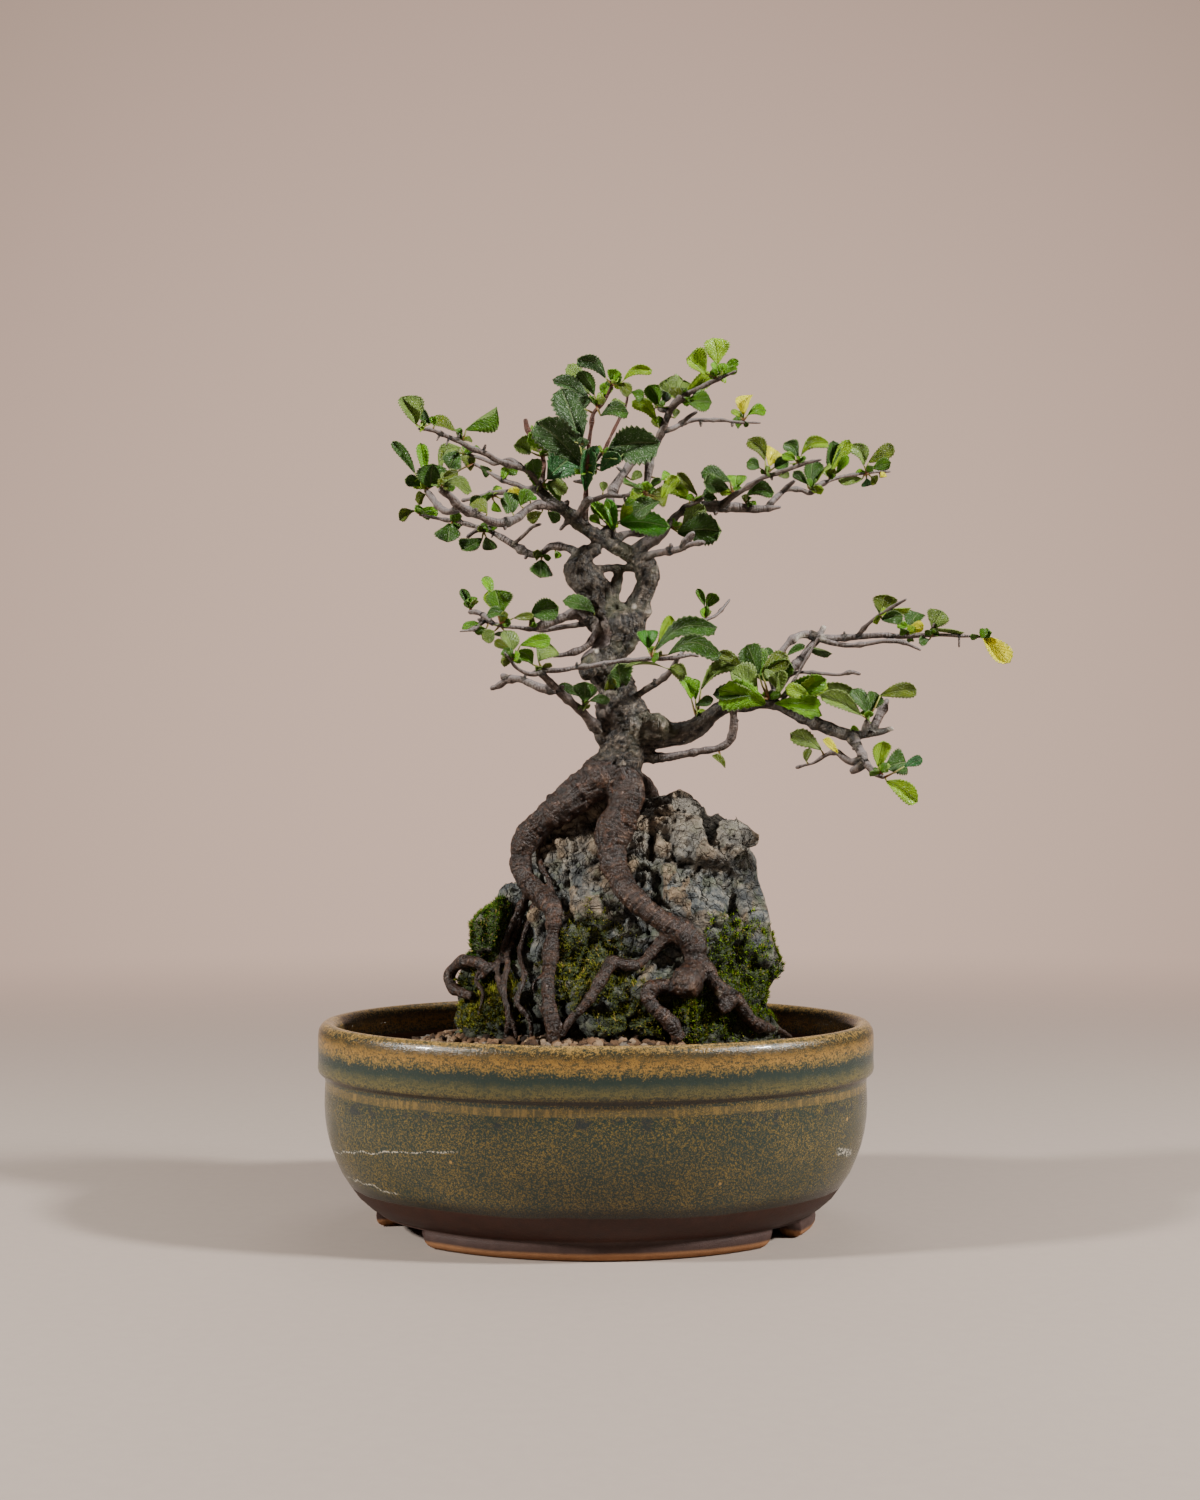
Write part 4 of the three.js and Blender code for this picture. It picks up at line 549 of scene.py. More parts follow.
        "46 209.4 4.1, 51 213.4 3.6, 57 216 3, 63 214.6 2.4, 69 215.8 2.3, 75 216 2.2, 80 213 2.3, "
        "85 210.4 2.5, 91 208.2 2.6, 97 206 2.8, 103 203.8 2.9, 109 203 2.4, 115 203.8 2, 120 204.6 1.7, "
        "124.5 206 1.3"),
    "loop_right": ("trunk", -6, "17 194 3.2, 23 193.6 3, 30 193.8 2.5, 37 195 2.2, 44 196.4 2, "
        "51 197.6 2.1, 55.5 200 2.1, 57.4 205 2.2, 57.6 211 2, 57 215.4 1.8"),
    "rising": ("long_right", 12, "72 216.4 2, 76 222 2.1, 80 228.4 2.2, 85 234 2.1, 89 239 2, 92.4 243 2, "
        "95.6 248.6 1.5"),
    "rising_back": ("rising", 8, "75.5 221 1.9, 73.6 228 1.9, 76.6 236 2, 81 242 2, 86 245 2, 92 244.6 2"),
    "far_right": ("rising_back", -4, "89 245 1.9, 96 243.6 1.9, 104 243.8 1.6, 112 244.4 1.5, "
        "120 244.8 1.4, 128 244.4 1.3, 136 244.8 1.2, 144 245 1, 152 244.6 0.9, 161 244.2 0.7"),
    "far_right_twin": ("far_right", -5, "93 244 1.5, 99 241.6 1.4, 106 240.6 1.4, 113 241.2 1.3, "
        "121 242.4 1.2, 128 242 1.2, 133 240 1, 136 238.6 0.8"),
    "far_right_up": ("far_right", -16, "109 244.2 1.1, 113 248.6 1, 118 252.8 1, 124 256.6 0.9, "
        "130 260 0.7"),
    "far_right_nub": ("far_right", -1, "139 245 0.8, 141 247.5 0.7, 141.6 250 0.5"),
    "mid_right": ("rising", -16, "79 227.6 1, 84 229.2 0.9, 90 229.2 0.9, 96 228.7 0.85, 102 228.3 0.85, "
        "107 229.4 0.9, 110.5 228.5 0.8"),
    "long_spur": ("long_right", -2, "112 203.6 1.8, 113 207 1.7, 113.6 209.6 1.2"),
    "long_stump": ("long_right", 3, "115 204 2.2, 117.4 209 2.1, 120 214 1.9, 122 218 1.2"),
    "drop": ("long_right", -8, "106 203 2.6, 109 199 2.3, 111.4 194.6 2, 113.6 190.4 1.7, 117 187 1.5, "
        "120.6 185.4 1.2"),
    "drop_left": ("drop", 10, "111.6 192.6 1.8, 107 191.8 1.7, 103.6 193.6 1.6, 100.5 196 1.5, "
        "96 194.6 1.1, 91 191.4 0.9, 87 190.4 0.8, 83.6 189.4 0.7"),
    "drop_knob": ("drop", 2, "112 191.5 1.8, 109.6 189.4 1.8, 106.6 187.6 1.6"),
    # Fine roots that stand clear of the left root and the rock
    "strand_down": ("root_left", HUG, "-34 134 1.8, -36 122 1.7, -40.5 109 1.6, -40 98 1.5, -36.5 88 1.6, "
        "-38 72 1.5"),
    "strand_across": ("strand_down", HUG, "-40 106 1.2, -45 106.5 1.5, -50 101.5 1.5, -47 95 1.1, "
        "-49 86 0.9"),
    "strand_outer": ("root_left", HUG, "-20 165 1.4, -23 155 1.5, -22.5 148 1.4, -20 143 1.3, "
        "-17.5 137 1.0"),
    "strand_hair": ("root_left", HUG, "-27 106 0.7, -26 99 0.7, -25 93 0.6, -22 86 0.6, -19 76 0.5"),
}

# %% From stops to smooth lines
SPACING = 0.9  # millimetres between two points of a line
SHORTEST = 1e-6  # keeps two stops at one place from being divided by


def smooth_line(stops):
    """Points (x, y, z, radius) on a smooth curve through the stops, all in metres."""
    ends = [stops[0] * 2 - stops[1], *stops, stops[-1] * 2 - stops[-2]]
    line = [stops[0]]
    for p0, p1, p2, p3 in zip(ends, ends[1:], ends[2:], ends[3:]):
        pairs = ((p0, p1), (p1, p2), (p2, p3))
        d0, d1, d2 = [max((b - a).to_3d().length, SHORTEST) ** 0.5 for a, b in pairs]
        leaving = ((p1 - p0) / d0 - (p2 - p0) / (d0 + d1) + (p2 - p1) / d1) * d1
        arriving = ((p2 - p1) / d1 - (p3 - p1) / (d1 + d2) + (p3 - p2) / d2) * d1
        steps = max(2, round((p2 - p1).to_3d().length / (SPACING * MM)))
        for i in range(1, steps + 1):
            t = i / steps
            line.append(
                p1 * (2 * t**3 - 3 * t**2 + 1) + leaving * (t**3 - 2 * t**2 + t)
                + p2 * (3 * t**2 - 2 * t**3) + arriving * (t**3 - t**2)
            )
    return line


def nearest_on(name, x, z):
    """The point of a limb's line that is seen nearest to (x, z)."""
    def miss(point):
        ax, az = appears(point)
        return (ax - x) ** 2 + (az - z) ** 2
    return min(lines[name], key=miss)


lines, feet = {}, {}
for name, (parent, lean, stops_text) in LIMBS.items():
    route = list(rows_of(stops_text))
    start = nearest_on(parent, *route[0][:2]) if parent else None
    travel = [0.0]
    for (x0, z0, *_), (x1, z1, *_) in zip(route, route[1:]):
        travel.append(travel[-1] + math.hypot(x1 - x0, z1 - z0))
    stops = []
    for i, (x, z, radius, *own) in enumerate(route):
        if i == 0 and start is not None:
            stops.append(Vector((start.x, start.y, start.z, radius * MM)))
            feet[name] = start.w
            continue
        if own:
            depth = own[0]
        elif lean == HUG:
            depth = rock_front(x, z) - PROUD * radius
        else:
            depth = start.y / MM + DEPTH_SHARE * lean * travel[i] / travel[-1]
        stops.append(Vector((*seen(x, z, depth), radius * MM)))
    lines[name] = smooth_line(stops)
total = sum(len(line) for line in lines.values()) * SPACING
print(f"{len(lines)} limbs, {total:.0f} mm in all")

# %% [markdown]
# ## Wood, the thick part
# A root that flows into a trunk has no seam. Tubes of the right thickness, one for each thick
# limb, are grown together by a voxel remesh, which wraps one even skin round all of them. The
# skin is then roughened: long cracks on the trunk, rings across the roots, knots and hollows where
# branches were cut. For the grain to follow each limb, every point looks up the nearest point of
# the lines and notes how far along the limb it lies and how it stands off it. That gives
# "straightened" coordinates, in which wood grain is simply stretched noise. A branch has old bark at
# its foot and gets younger within a few radii, so the bark changes without a step.

# %% Tubes along the lines
THICK = {
    "trunk", "left_stem", "right_stem", "cross_bar", "middle_stem", "grain_lump", "callus",
    "long_right", "loop_right", "loop_root", "low_left", "slant", "high_right", "outer_left",
    "under_left", "front_stub", "mid_left", "high_right_back", "leader",
} | {name for name in LIMBS if name.startswith(("root_", "strand_"))}
BARE_SHARE = {"low_left": 0.5, "slant": 0.3, "high_right": 0.75, "outer_left": 0.5,
              "under_left": 0.3, "mid_left": 0.3, "high_right_back": 0.5, "leader": 0.4}
FLARE = 0.3  # how much wider a limb is at its foot
FLARE_LENGTH = 5 * MM
KNUCKLES_PER_METRE = 210
RING_LENGTH = 2.9 * MM
RING_SWELL = 0.34
RINGED = 3 * MM  # only limbs thinner than this show swollen rings
FINE = 2.6 * MM  # and those thinner than this are drawn a little slimmer
TIP_SHARE = 0.7


def swelling(name, place, along, radius):
    """A limb's radius with its flared foot and the knuckles where leaves once grew."""
    foot = 1 + FLARE * math.exp(-along / FLARE_LENGTH) * (name != "trunk")
    knuckle = noise.noise(place * KNUCKLES_PER_METRE + Vector((radius * 3000, 0, 0)))
    slim = 0.82 if radius < FINE else 0.95
    ring = max(0.0, math.sin(along / RING_LENGTH + len(name))) ** 8 * (radius < RINGED)
    rough = min(0.3, 0.9 * MM / radius)
    return radius * foot * slim * (1 + rough * knuckle + RING_SWELL * ring)


def tubes(names, sides, shares=None):
    """One mesh of closed tubes along these limbs; shares cut a limb short."""
    curve = bpy.data.curves.new("tubes", "CURVE")
    curve.dimensions = "3D"
    curve.bevel_depth = MM
    curve.bevel_resolution = (sides - 4) // 2
    curve.use_fill_caps = True
    for name in names:
        line = lines[name]
        line = line[: max(4, round(len(line) * (shares or {}).get(name, 1.0)))]
        spline = curve.splines.new("POLY")
        spline.points.add(len(line) - 1)
        along = 0.0
        for i, (dot, place) in enumerate(zip(spline.points, line)):
            if i:
                along += (place - line[i - 1]).to_3d().length
            dot.co = (*place.to_3d(), 1)
            dot.radius = swelling(name, place.to_3d(), along, place.w) / MM
            if i == len(line) - 1 and not shares:
                dot.radius *= TIP_SHARE
    return baked(linked("tubes", curve))


print(f"{len(THICK)} limbs are thick")

# %% The straightened coordinates
ROOT_NAMES = ("root_", "strand_", "loop_root")
LOOKS = {
    "trunk": "trunk", "left_stem": "stem", "right_stem": "trunk", "grain_lump": "trunk",
    "callus": "trunk", "middle_stem": "trunk", "cross_bar": "trunk", "long_right": "stem",
    "young_shoot": "shoot", "thin_top": "shoot", "hub_stem": "shoot", "inner_twig": "branch",
}
LOOK_AGES = {"shoot": 0.0, "branch": 0.35, "stem": 0.7, "trunk": 1.0, "root": 0.8}
FOOT_AGE = 0.9
FOOT_REACH = 1.6  # the old bark reaches this many radii of the parent along a branch
LIMB_SHIFT = 0.37  # metres between the grain of one limb and that of the next


class Grain:
    """Every point of every line, with its direction, ready to be looked up."""

    def __init__(self):
        rows = []
        for index, (name, line) in enumerate(lines.items()):
            along = 0.0
            side = Vector((1, 0, 0))
            for i, place in enumerate(line):
                ahead = (line[min(i + 1, len(line) - 1)] - line[max(i - 1, 0)]).to_3d().normalized()
                side = (side - ahead * side.dot(ahead)).normalized()
                other = ahead.cross(side)
                if i:
                    along += (place - line[i - 1]).to_3d().length
                look = LOOKS.get(name, "root" if name.startswith(ROOT_NAMES) else "branch")
                old = (look != "root") / (1 + (along / (FOOT_REACH * feet.get(name, MM))) ** 4)
                age = LOOK_AGES[look] * (1 - old) + FOOT_AGE * old
                rows.append((*place, *side, *other, along + index * LIMB_SHIFT, age, look == "root"))
        self.rows = np.array(rows)
        self.tree = KDTree(len(rows))
        for i, row in enumerate(rows):
            self.tree.insert(row[:3], i)
        self.tree.balance()

    def of(self, points):
        """Rows of the nearest line points, and the straightened coordinates."""
        rows = self.rows[[self.tree.find(p)[1] for p in points]]
        off = points - rows[:, :3]
        straight = np.stack([
            rows[:, 10],
            (off * rows[:, 4:7]).sum(1),
            (off * rows[:, 7:10]).sum(1),
        ], 1)
        return rows, straight


grain = Grain()
print(f"{len(grain.rows)} points of grain")

# %% Knots and hollows, as (x, z, radius, height) seen from the front
MARKS = [
    (17, 211, 4.2, -2.4), (17, 211, 6.2, 1.2), (16, 257, 2.2, -0.6), (8, 257, 2.4, -1.6),
    (22, 255, 3.2, 1.3), (28, 207, 4.0, 1.2), (10, 201, 3.2, 0.8), (0, 238.5, 1.7, 1.6),
    (-3, 172, 4.5, 0.9), (-9, 175, 3.0, -0.7), (4, 184, 4.0, 1.0), (8, 192, 2.6, -0.8),
    (37.2, 99.3, 6.4, 1.6), (37, 99.6, 3.0, -1.9), (37, 99.6, 1.5, 1.6), (51, 95, 2.6, 1.2),
    (-2, 262, 3.2, -0.7), (-7, 271, 2.4, -0.8), (-3, 274, 2.0, -0.7), (20, 270, 2.6, -0.9),
    (14, 243, 3.4, -1.0), (6, 224, 3.0, -0.9), (12, 219, 2.6, -0.9), (3, 212, 2.8, 0.7),
    (12, 160, 4.0, 0.8), (8, 152, 3.2, -0.7), (60, 92, 2.4, 0.9), (57, 96, 1.7, -0.8),
]
# Pale faces of pruned stubs, as (x, z, radius)
CUTS = [
    (96, 249, 2.4), (124.5, 206, 2.8), (0, 238.5, 1.4), (51, 95, 1.4), (86, 243, 2.8),
    (16, 257, 1.3), (95, 244, 1.4), (-10, 306, 1.2),
]


def cut_share(point):
    """1 on the pale face of a pruned stub, 0 elsewhere."""
    x, z = appears(point)
    return max(0.0, max(1 - (math.hypot(x - cx, z - cz) / radius) ** 4 for cx, cz, radius in CUTS))


def mark_height(point, normal):
    """How far the knots and hollows move a point of the front, in metres."""
    if normal.y > 0:
        return 0.0
    x, z = appears(point)
    rise = 0.0
    for mx, mz, radius, height in MARKS:
        away = math.hypot(x - mx, z - mz) / radius
        if away < 1:
            rise += height * (1 - away * away) ** 2
    return rise * MM


print(f"{len(MARKS)} knots and hollows, {len(CUTS)} pruning cuts")

# %% Roughen a skin of wood
FULL_RADIUS = 7.0  # millimetres: thinner limbs are roughened less
MARKED_RADIUS = 2.2  # and thinner twigs than this get no knots


def roughened(data, depth_share):
    """Moves the points of a wood mesh along their normals and notes what the bark needs."""
    points = points_of(data)
    rows, straight = grain.of(points)
    heights, bark_tones_with_painted_shade = [], []
    for vertex, row, (along, u, v) in zip(data.vertices, rows, straight * 1000):
        radius, age, root = row[3] * 1000, row[11], row[12]
        # Long cracks, burls, rings across the limb, pits along it and slow lumps
        crack = noise.noise(Vector((along / 5.0, u / 1.7, v / 1.7)))
        crack = 0.9 - 3.4 * abs(crack) if not root else 0.3 - 1.6 * abs(crack)
        burl = noise.voronoi(vertex.co * 260 + Vector((0, 0, along / 40)))[0]
        burl = min(burl[1] - burl[0], 0.5) * 2 - 0.6
        ring = noise.noise(Vector((along / 0.85, u / 5.0, v / 5.0)))
        pit = noise.noise(Vector((along / 1.7, u / 1.2 + 9, v / 1.2)))
        lump = noise.fractal(vertex.co * 130, 1.0, 2.0, 3)
        size = min(radius, FULL_RADIUS) / FULL_RADIUS
        relief = age * (0.5 * crack + 0.4 * pit + 0.35 * burl * (not root)) + 0.2 * ring
        height = depth_share * size * (0.95 * relief + 1.2 * lump * age)
        mark = mark_height(vertex.co, vertex.normal)
        heights.append(height * MM + mark * (radius > MARKED_RADIUS))
        # Bark tone: dark in cracks and knot hollows and light on raised knots, partly the bark's own colour
        # and partly painted shade
        bark_tones_with_painted_shade.append(0.48 + 0.6 * relief + mark * 250)
    normals = np.array([v.normal for v in data.vertices])
    moved = points + normals * np.array(heights)[:, None]
    data.vertices.foreach_set("co", moved.astype(np.float32).ravel())
    note(data, "grain", straight, "FLOAT_VECTOR")
    note(data, "relief", np.clip(bark_tones_with_painted_shade, 0, 1))
    note(data, "cut", [cut_share(v.co) if v.normal.y < 0.3 else 0.0 for v in data.vertices])
    # How much each point faces up; the bark paints a highlight on the tops of young twigs with it
    note(data, "up", normals[:, 2] * 0.5 + 0.5)
    note(data, "age", rows[:, 11])
    note(data, "rootness", rows[:, 12])
    data.update()
    return data


# %% [markdown]
# Bark could be a picture wrapped round each limb, but it would smear where limbs fork. Here the
# colour follows what the skin noted: how high a point stands, how old the limb is and whether it is a
# root. Cracks and knot hollows are dark, partly the bark's own colour and partly painted shade, and
# ridges are ashen; roots are redder, young twigs are smooth, and their tops get a painted highlight.

# %% Bark
def bark_material():
    """Grey-brown bark: ashen ridges over dark cracks that are partly painted shade, redder on roots,
    greenish in patches of algae; young twigs get a painted highlight where they face up, shoots are
    red, and pruning cuts are the palest."""
    bark = Paint("bark", Specular_IOR_Level=0.42)
    line = bark.vector("grain")
    place = bark.place()
    relief, age, rootness = bark.value("relief"), bark.value("age"), bark.value("rootness")
    fibre = bark.noise(bark.stretched(line, (170.0, 900.0, 900.0)), 1.0, 4.0)
    rings = bark.noise(bark.stretched(line, (1000.0, 150.0, 150.0)), 1.0, 3.0)
    patches = bark.noise(place, 140.0, 4.0, 0.6)
    fine = bark.noise(place, 900.0, 3.0, 0.6)
    # Low relief makes cracks and hollows dark: partly the bark's own colour, partly painted shade
    tone = relief * 0.7 + fibre * 0.3 + fine * 0.3 - 0.16
    trunk = bark.ramp(tone, [
        (0.26, (0.004, 0.003, 0.002)), (0.42, (0.019, 0.014, 0.01)),
        (0.6, (0.07, 0.054, 0.038)), (0.8, (0.27, 0.225, 0.18)),
    ])
    root_tone = relief * 0.55 + rings * 0.75 + fine * 0.3 - 0.3
    root = bark.ramp(root_tone, [
        (0.25, (0.003, 0.0014, 0.0008)), (0.42, (0.012, 0.005, 0.0026)),
        (0.6, (0.042, 0.02, 0.011)), (0.82, (0.2, 0.125, 0.085)),
    ])
    twig = bark.ramp(tone + rings * 0.15, [
        (0.25, (0.009, 0.005, 0.0035)), (0.45, (0.035, 0.021, 0.015)), (0.72, (0.14, 0.1, 0.08)),
    ])
    # Painted highlight: young twigs are paler where they face up
    painted_twig_top_highlight = bark.step(bark.value("up") + patches * 0.4, 0.5, 1.05)
    twig = bark.mix(painted_twig_top_highlight * 0.6, twig, rgb(0.27, 0.235, 0.235))
    shoot = bark.ramp(tone, [(0.3, (0.016, 0.004, 0.002)), (0.7, (0.14, 0.042, 0.02))])
    colour = bark.mix(bark.step(age, 0.05, 0.3), shoot, twig)
    colour = bark.mix(bark.step(age, 0.4, 0.7), colour, trunk)
    colour = bark.mix(bark.step(rootness, 0.3, 0.7), colour, root)
    ashen = bark.step(patches, 0.52, 0.66) * 0.42 * (1 - rootness * 0.85)
    colour = bark.mix(ashen, colour, rgb(0.14, 0.13, 0.11))
    rusty = bark.step(bark.noise(place, 260.0, 2.0), 0.6, 0.72) * 0.35 * rootness
    colour = bark.mix(rusty, colour, rgb(0.14, 0.055, 0.025))
    algae = bark.step(bark.noise(place, 75.0, 3.0), 0.46, 0.62) * bark.step(age, 0.85, 0.95) * 0.45
    colour = bark.mix(algae, colour, rgb(0.075, 0.078, 0.036))
    colour = bark.mix(bark.value("cut") * 0.85, colour, rgb(0.5, 0.45, 0.38))
    height = fibre * 0.5 + rings * 0.9 + fine * 0.6
    return bark.finish(
        Base_Color=colour, Roughness=bark.step(fine, 0.2, 0.9) * 0.3 + 0.38 - rootness * 0.1,
        Normal=bark.bump(height, 0.0012, 1.0),
    )


BARK = bark_material()
print("bark mixed")

# %% Trunk and roots
VOXEL = 0.72 * MM
thick = tubes([n for n in lines if n in THICK], 14, BARE_SHARE)
thick = settled(thick, "REMESH", mode="VOXEL", voxel_size=VOXEL)
thick = settled(thick, "SMOOTH", iterations=2, factor=0.5)
piece("trunk_and_roots", roughened(thick, 1.0), [BARK], ["tree"])

# %% [markdown]
# ## Wood, the thin part
# Twigs are too fine for voxels, so they stay tubes, whose feet are sunk in the thick wood. They
# get short spurs and thorns, because a bare smooth twig looks like wire.

# %% Spurs and thorns: limb, place of the tip, radius at the foot
SPURS = (
    "long_right 96 249 1.0, far_right 152 239 0.5, mid_left_up -52 245 0.5, fan_top -67 326 0.6, "
    "fan_top -63 324 0.6, inner_twig 12 300.5 0.6, fan_top -46 325.5 0.9, fan_top -57 330 0.8, "
    "top_right 44 332 0.8, top_right 57 332 0.8, high_sub_back 91 308.5 1.0, right_stem -16 288 1.4, "
    "right_stem -11 302 1.2, young_shoot -10.5 309.5 0.9, crossing -8 234 0.7, crossing 4 230.4 0.7, "
    "crossing 24 237.4 0.6, slant 24 227 0.9, slant_tip 47 247 0.5, long_right 62 220 1.0, "
    "long_right 87 214 1.0, rising 84 236 0.9, rising_back 72 231 0.8, far_right 104 247 0.6, "
    "far_right 124 242.5 0.6, mid_left -18 254 0.9, mid_left -27 251 0.7, outer_left -38 288.6 0.9, "
    "outer_left -50 298.6 0.9, under_left -30 276.5 0.8, under_left -44 285.5 0.6, "
    "high_right 50 294.6 1.0, high_right 64 302 0.9, low_high_right 31 284 0.9, leader 12.5 299 0.9, "
    "leader 8 316 0.8, top_up 30 336.5 1.0, high_sub_front 74 309.6 0.7, low_left -13 224 0.9, "
    "low_left_stub -29 229.4 0.7, root_left -36.5 150 0.9, drop 107 197 0.9, loop_right 60 209 0.8, "
    "fan_low -37 313.6 0.6, fan_bottom -36 301.6 0.6"
)
SPUR_REACH = 0.85  # a spur ends a little before the noted tip
for number, (name, x, z, radius) in enumerate(rows_of(SPURS)):
    foot = nearest_on(name, x, z)
    tip = seen(x, z, foot.y / MM - 1)
    stops = []
    for t in (0, 0.5, 1):
        stops.append(Vector((*foot.to_3d().lerp(tip, t * SPUR_REACH), radius * MM * (1 - 0.35 * t))))
    lines[f"spur_{number}"] = smooth_line(stops)
grain = Grain()
print(f"{number + 1} spurs and thorns")

# %% Branches and twigs
thin = tubes([n for n in lines if n not in THICK or n in BARE_SHARE], 10)
piece("branches", roughened(thin, 0.9), [BARK])

# %% [markdown]
# ## The pot
# An oval pot is a round one that is squeezed: a fine profile is spun about the middle and scaled
# to eight tenths from front to back. The foot ring is then cut by four slanting notches, and the
# floor gets its two drain holes.

# %% Spin the profile
OUTER = [
    (0, 8.3), (40, 8.3), (80, 8.3), (80.6, 3), (81, 0.8), (81.6, 0.2), (82.5, 0), (87, 0), (88.8, 0.5),
    (90.2, 1.6), (90.9, 2.8), (91.1, 4.0), (91.0, 6.2), (90.6, 7.3), (91.0, 8.0), (92.6, 8.9),
    (94.5, 10), (98.8, 13.8), (102.4, 18.7), (105.6, 23.6), (108, 29), (110.1, 34.6), (111.4, 40),
    (112.2, 45.6), (112.5, 51), (112.4, 55.6), (112.2, 60), (112.35, 61.6), (113, 62.8),
    (114.2, 63.6), (115.0, 64.6), (115.3, 66), (115.1, 70), (115.2, 75), (115.2, 79), (114.9, 81.4),
    (114, 83), (112.9, 84.1), (111.6, 84.5), (110, 84.4), (108.6, 83.6), (107.5, 82.4), (107, 81),
]
INNER = [(106.7, 76), (106.4, 70), (105.6, 65), (104.4, 60), (103.6, 50), (102.4, 40), (100.4, 33),
         (97, 26), (93, 21.2), (88, 18), (76, 16.6), (60, 16), (30, 16), (0, 16)]
SQUEEZE = 0.8


def spun(profile, steps):
    """A round shape from a profile of (radius, height) in millimetres."""
    shape = bmesh.new()
    ring = [shape.verts.new((r * MM, 0, z * MM)) for r, z in profile]
    edges = [shape.edges.new(pair) for pair in zip(ring, ring[1:])]
    bmesh.ops.spin(shape, geom=ring + edges, cent=(0, 0, 0), axis=(0, 0, 1), dvec=(0, 0, 0),
                   angle=math.tau, steps=steps, use_merge=True, use_duplicate=False)
    bmesh.ops.remove_doubles(shape, verts=shape.verts, dist=1e-6)
    return shape


shape = spun(OUTER + INNER, 160)
bmesh.ops.recalc_face_normals(shape, faces=shape.faces)
bmesh.ops.scale(shape, vec=(1, SQUEEZE, 1), verts=shape.verts)
bmesh.ops.translate(shape, vec=(MIDDLE_X, 0, 0), verts=shape.verts)
pot_data = mesh_from("pot", shape)
print(f"the pot's profile has {len(OUTER + INNER)} stops")

# %% Cut the notches and the drain holes
NOTCHES = [(-65, 42), (57, 18), (115, 42), (237, 18)]  # turn in degrees, width in millimetres
NOTCH_HIGH, NOTCH_DEEP, NOTCH_SLANT, NOTCH_CORNER = 7.2, 34.0, 4.0, 1.2
FOOT_RING_RADIUS = 86
DRAIN_PLACES, DRAIN_RADIUS = (-46, 46), 8.5


def cutter_for_notch(turn, span):
    """A block across the foot ring, wider at the top by its slanting ends."""
    angle = math.radians(turn)
    box = bmesh.new()
    bmesh.ops.create_cube(box, size=1.0)
    for vert in box.verts:
        half = span / 2 + (NOTCH_SLANT if vert.co.z < 0 else 0)
        vert.co = Vector((math.copysign(half, vert.co.x), vert.co.y * NOTCH_DEEP,
                          NOTCH_HIGH if vert.co.z > 0 else -2)) * MM
    edges_up = [e for e in box.edges if abs(e.verts[0].co.z - e.verts[1].co.z) > MM]
    bmesh.ops.bevel(box, geom=edges_up, offset=NOTCH_CORNER * MM, segments=3, profile=0.5,
                    affect="EDGES", material=-1)
    x, y = FOOT_RING_RADIUS * math.sin(angle), -FOOT_RING_RADIUS * SQUEEZE * math.cos(angle)
    centre = Vector((x, y, 0)) * MM
    turned = Matrix.Translation(centre + Vector((MIDDLE_X, 0, 0))) @ Matrix.Rotation(angle, 4, "Z")
    bmesh.ops.transform(box, matrix=turned, verts=box.verts)
    return box


cutters = [cutter_for_notch(*notch) for notch in NOTCHES]
for x in DRAIN_PLACES:
    hole = bmesh.new()
    where = Matrix.Translation((MIDDLE_X + x * MM, 0, 12 * MM))
    bmesh.ops.create_cone(hole, cap_ends=True, segments=40, radius1=DRAIN_RADIUS * MM,
                          radius2=DRAIN_RADIUS * MM, depth=30 * MM, matrix=where)
    cutters.append(hole)
for cutter in cutters:
    bmesh.ops.recalc_face_normals(cutter, faces=cutter.faces)
    knife = linked("knife", mesh_from("knife", cutter))
    pot_data = settled(pot_data, "BOOLEAN", object=knife, operation="DIFFERENCE", solver="EXACT")
    bpy.data.objects.remove(knife)
print(f"the cut pot has {len(pot_data.polygons)} faces")

# %% [markdown]
# The glaze is told by height above the table: bare orange clay on the foot's rounded edge, a band of
# purple brown, dark clay up to the edge of the glaze, then the speckled glaze itself. Noise wobbles
# each edge, since glaze is poured and runs. "shown" is the height at which a place is seen from the
# front; the scratches are placed by it.

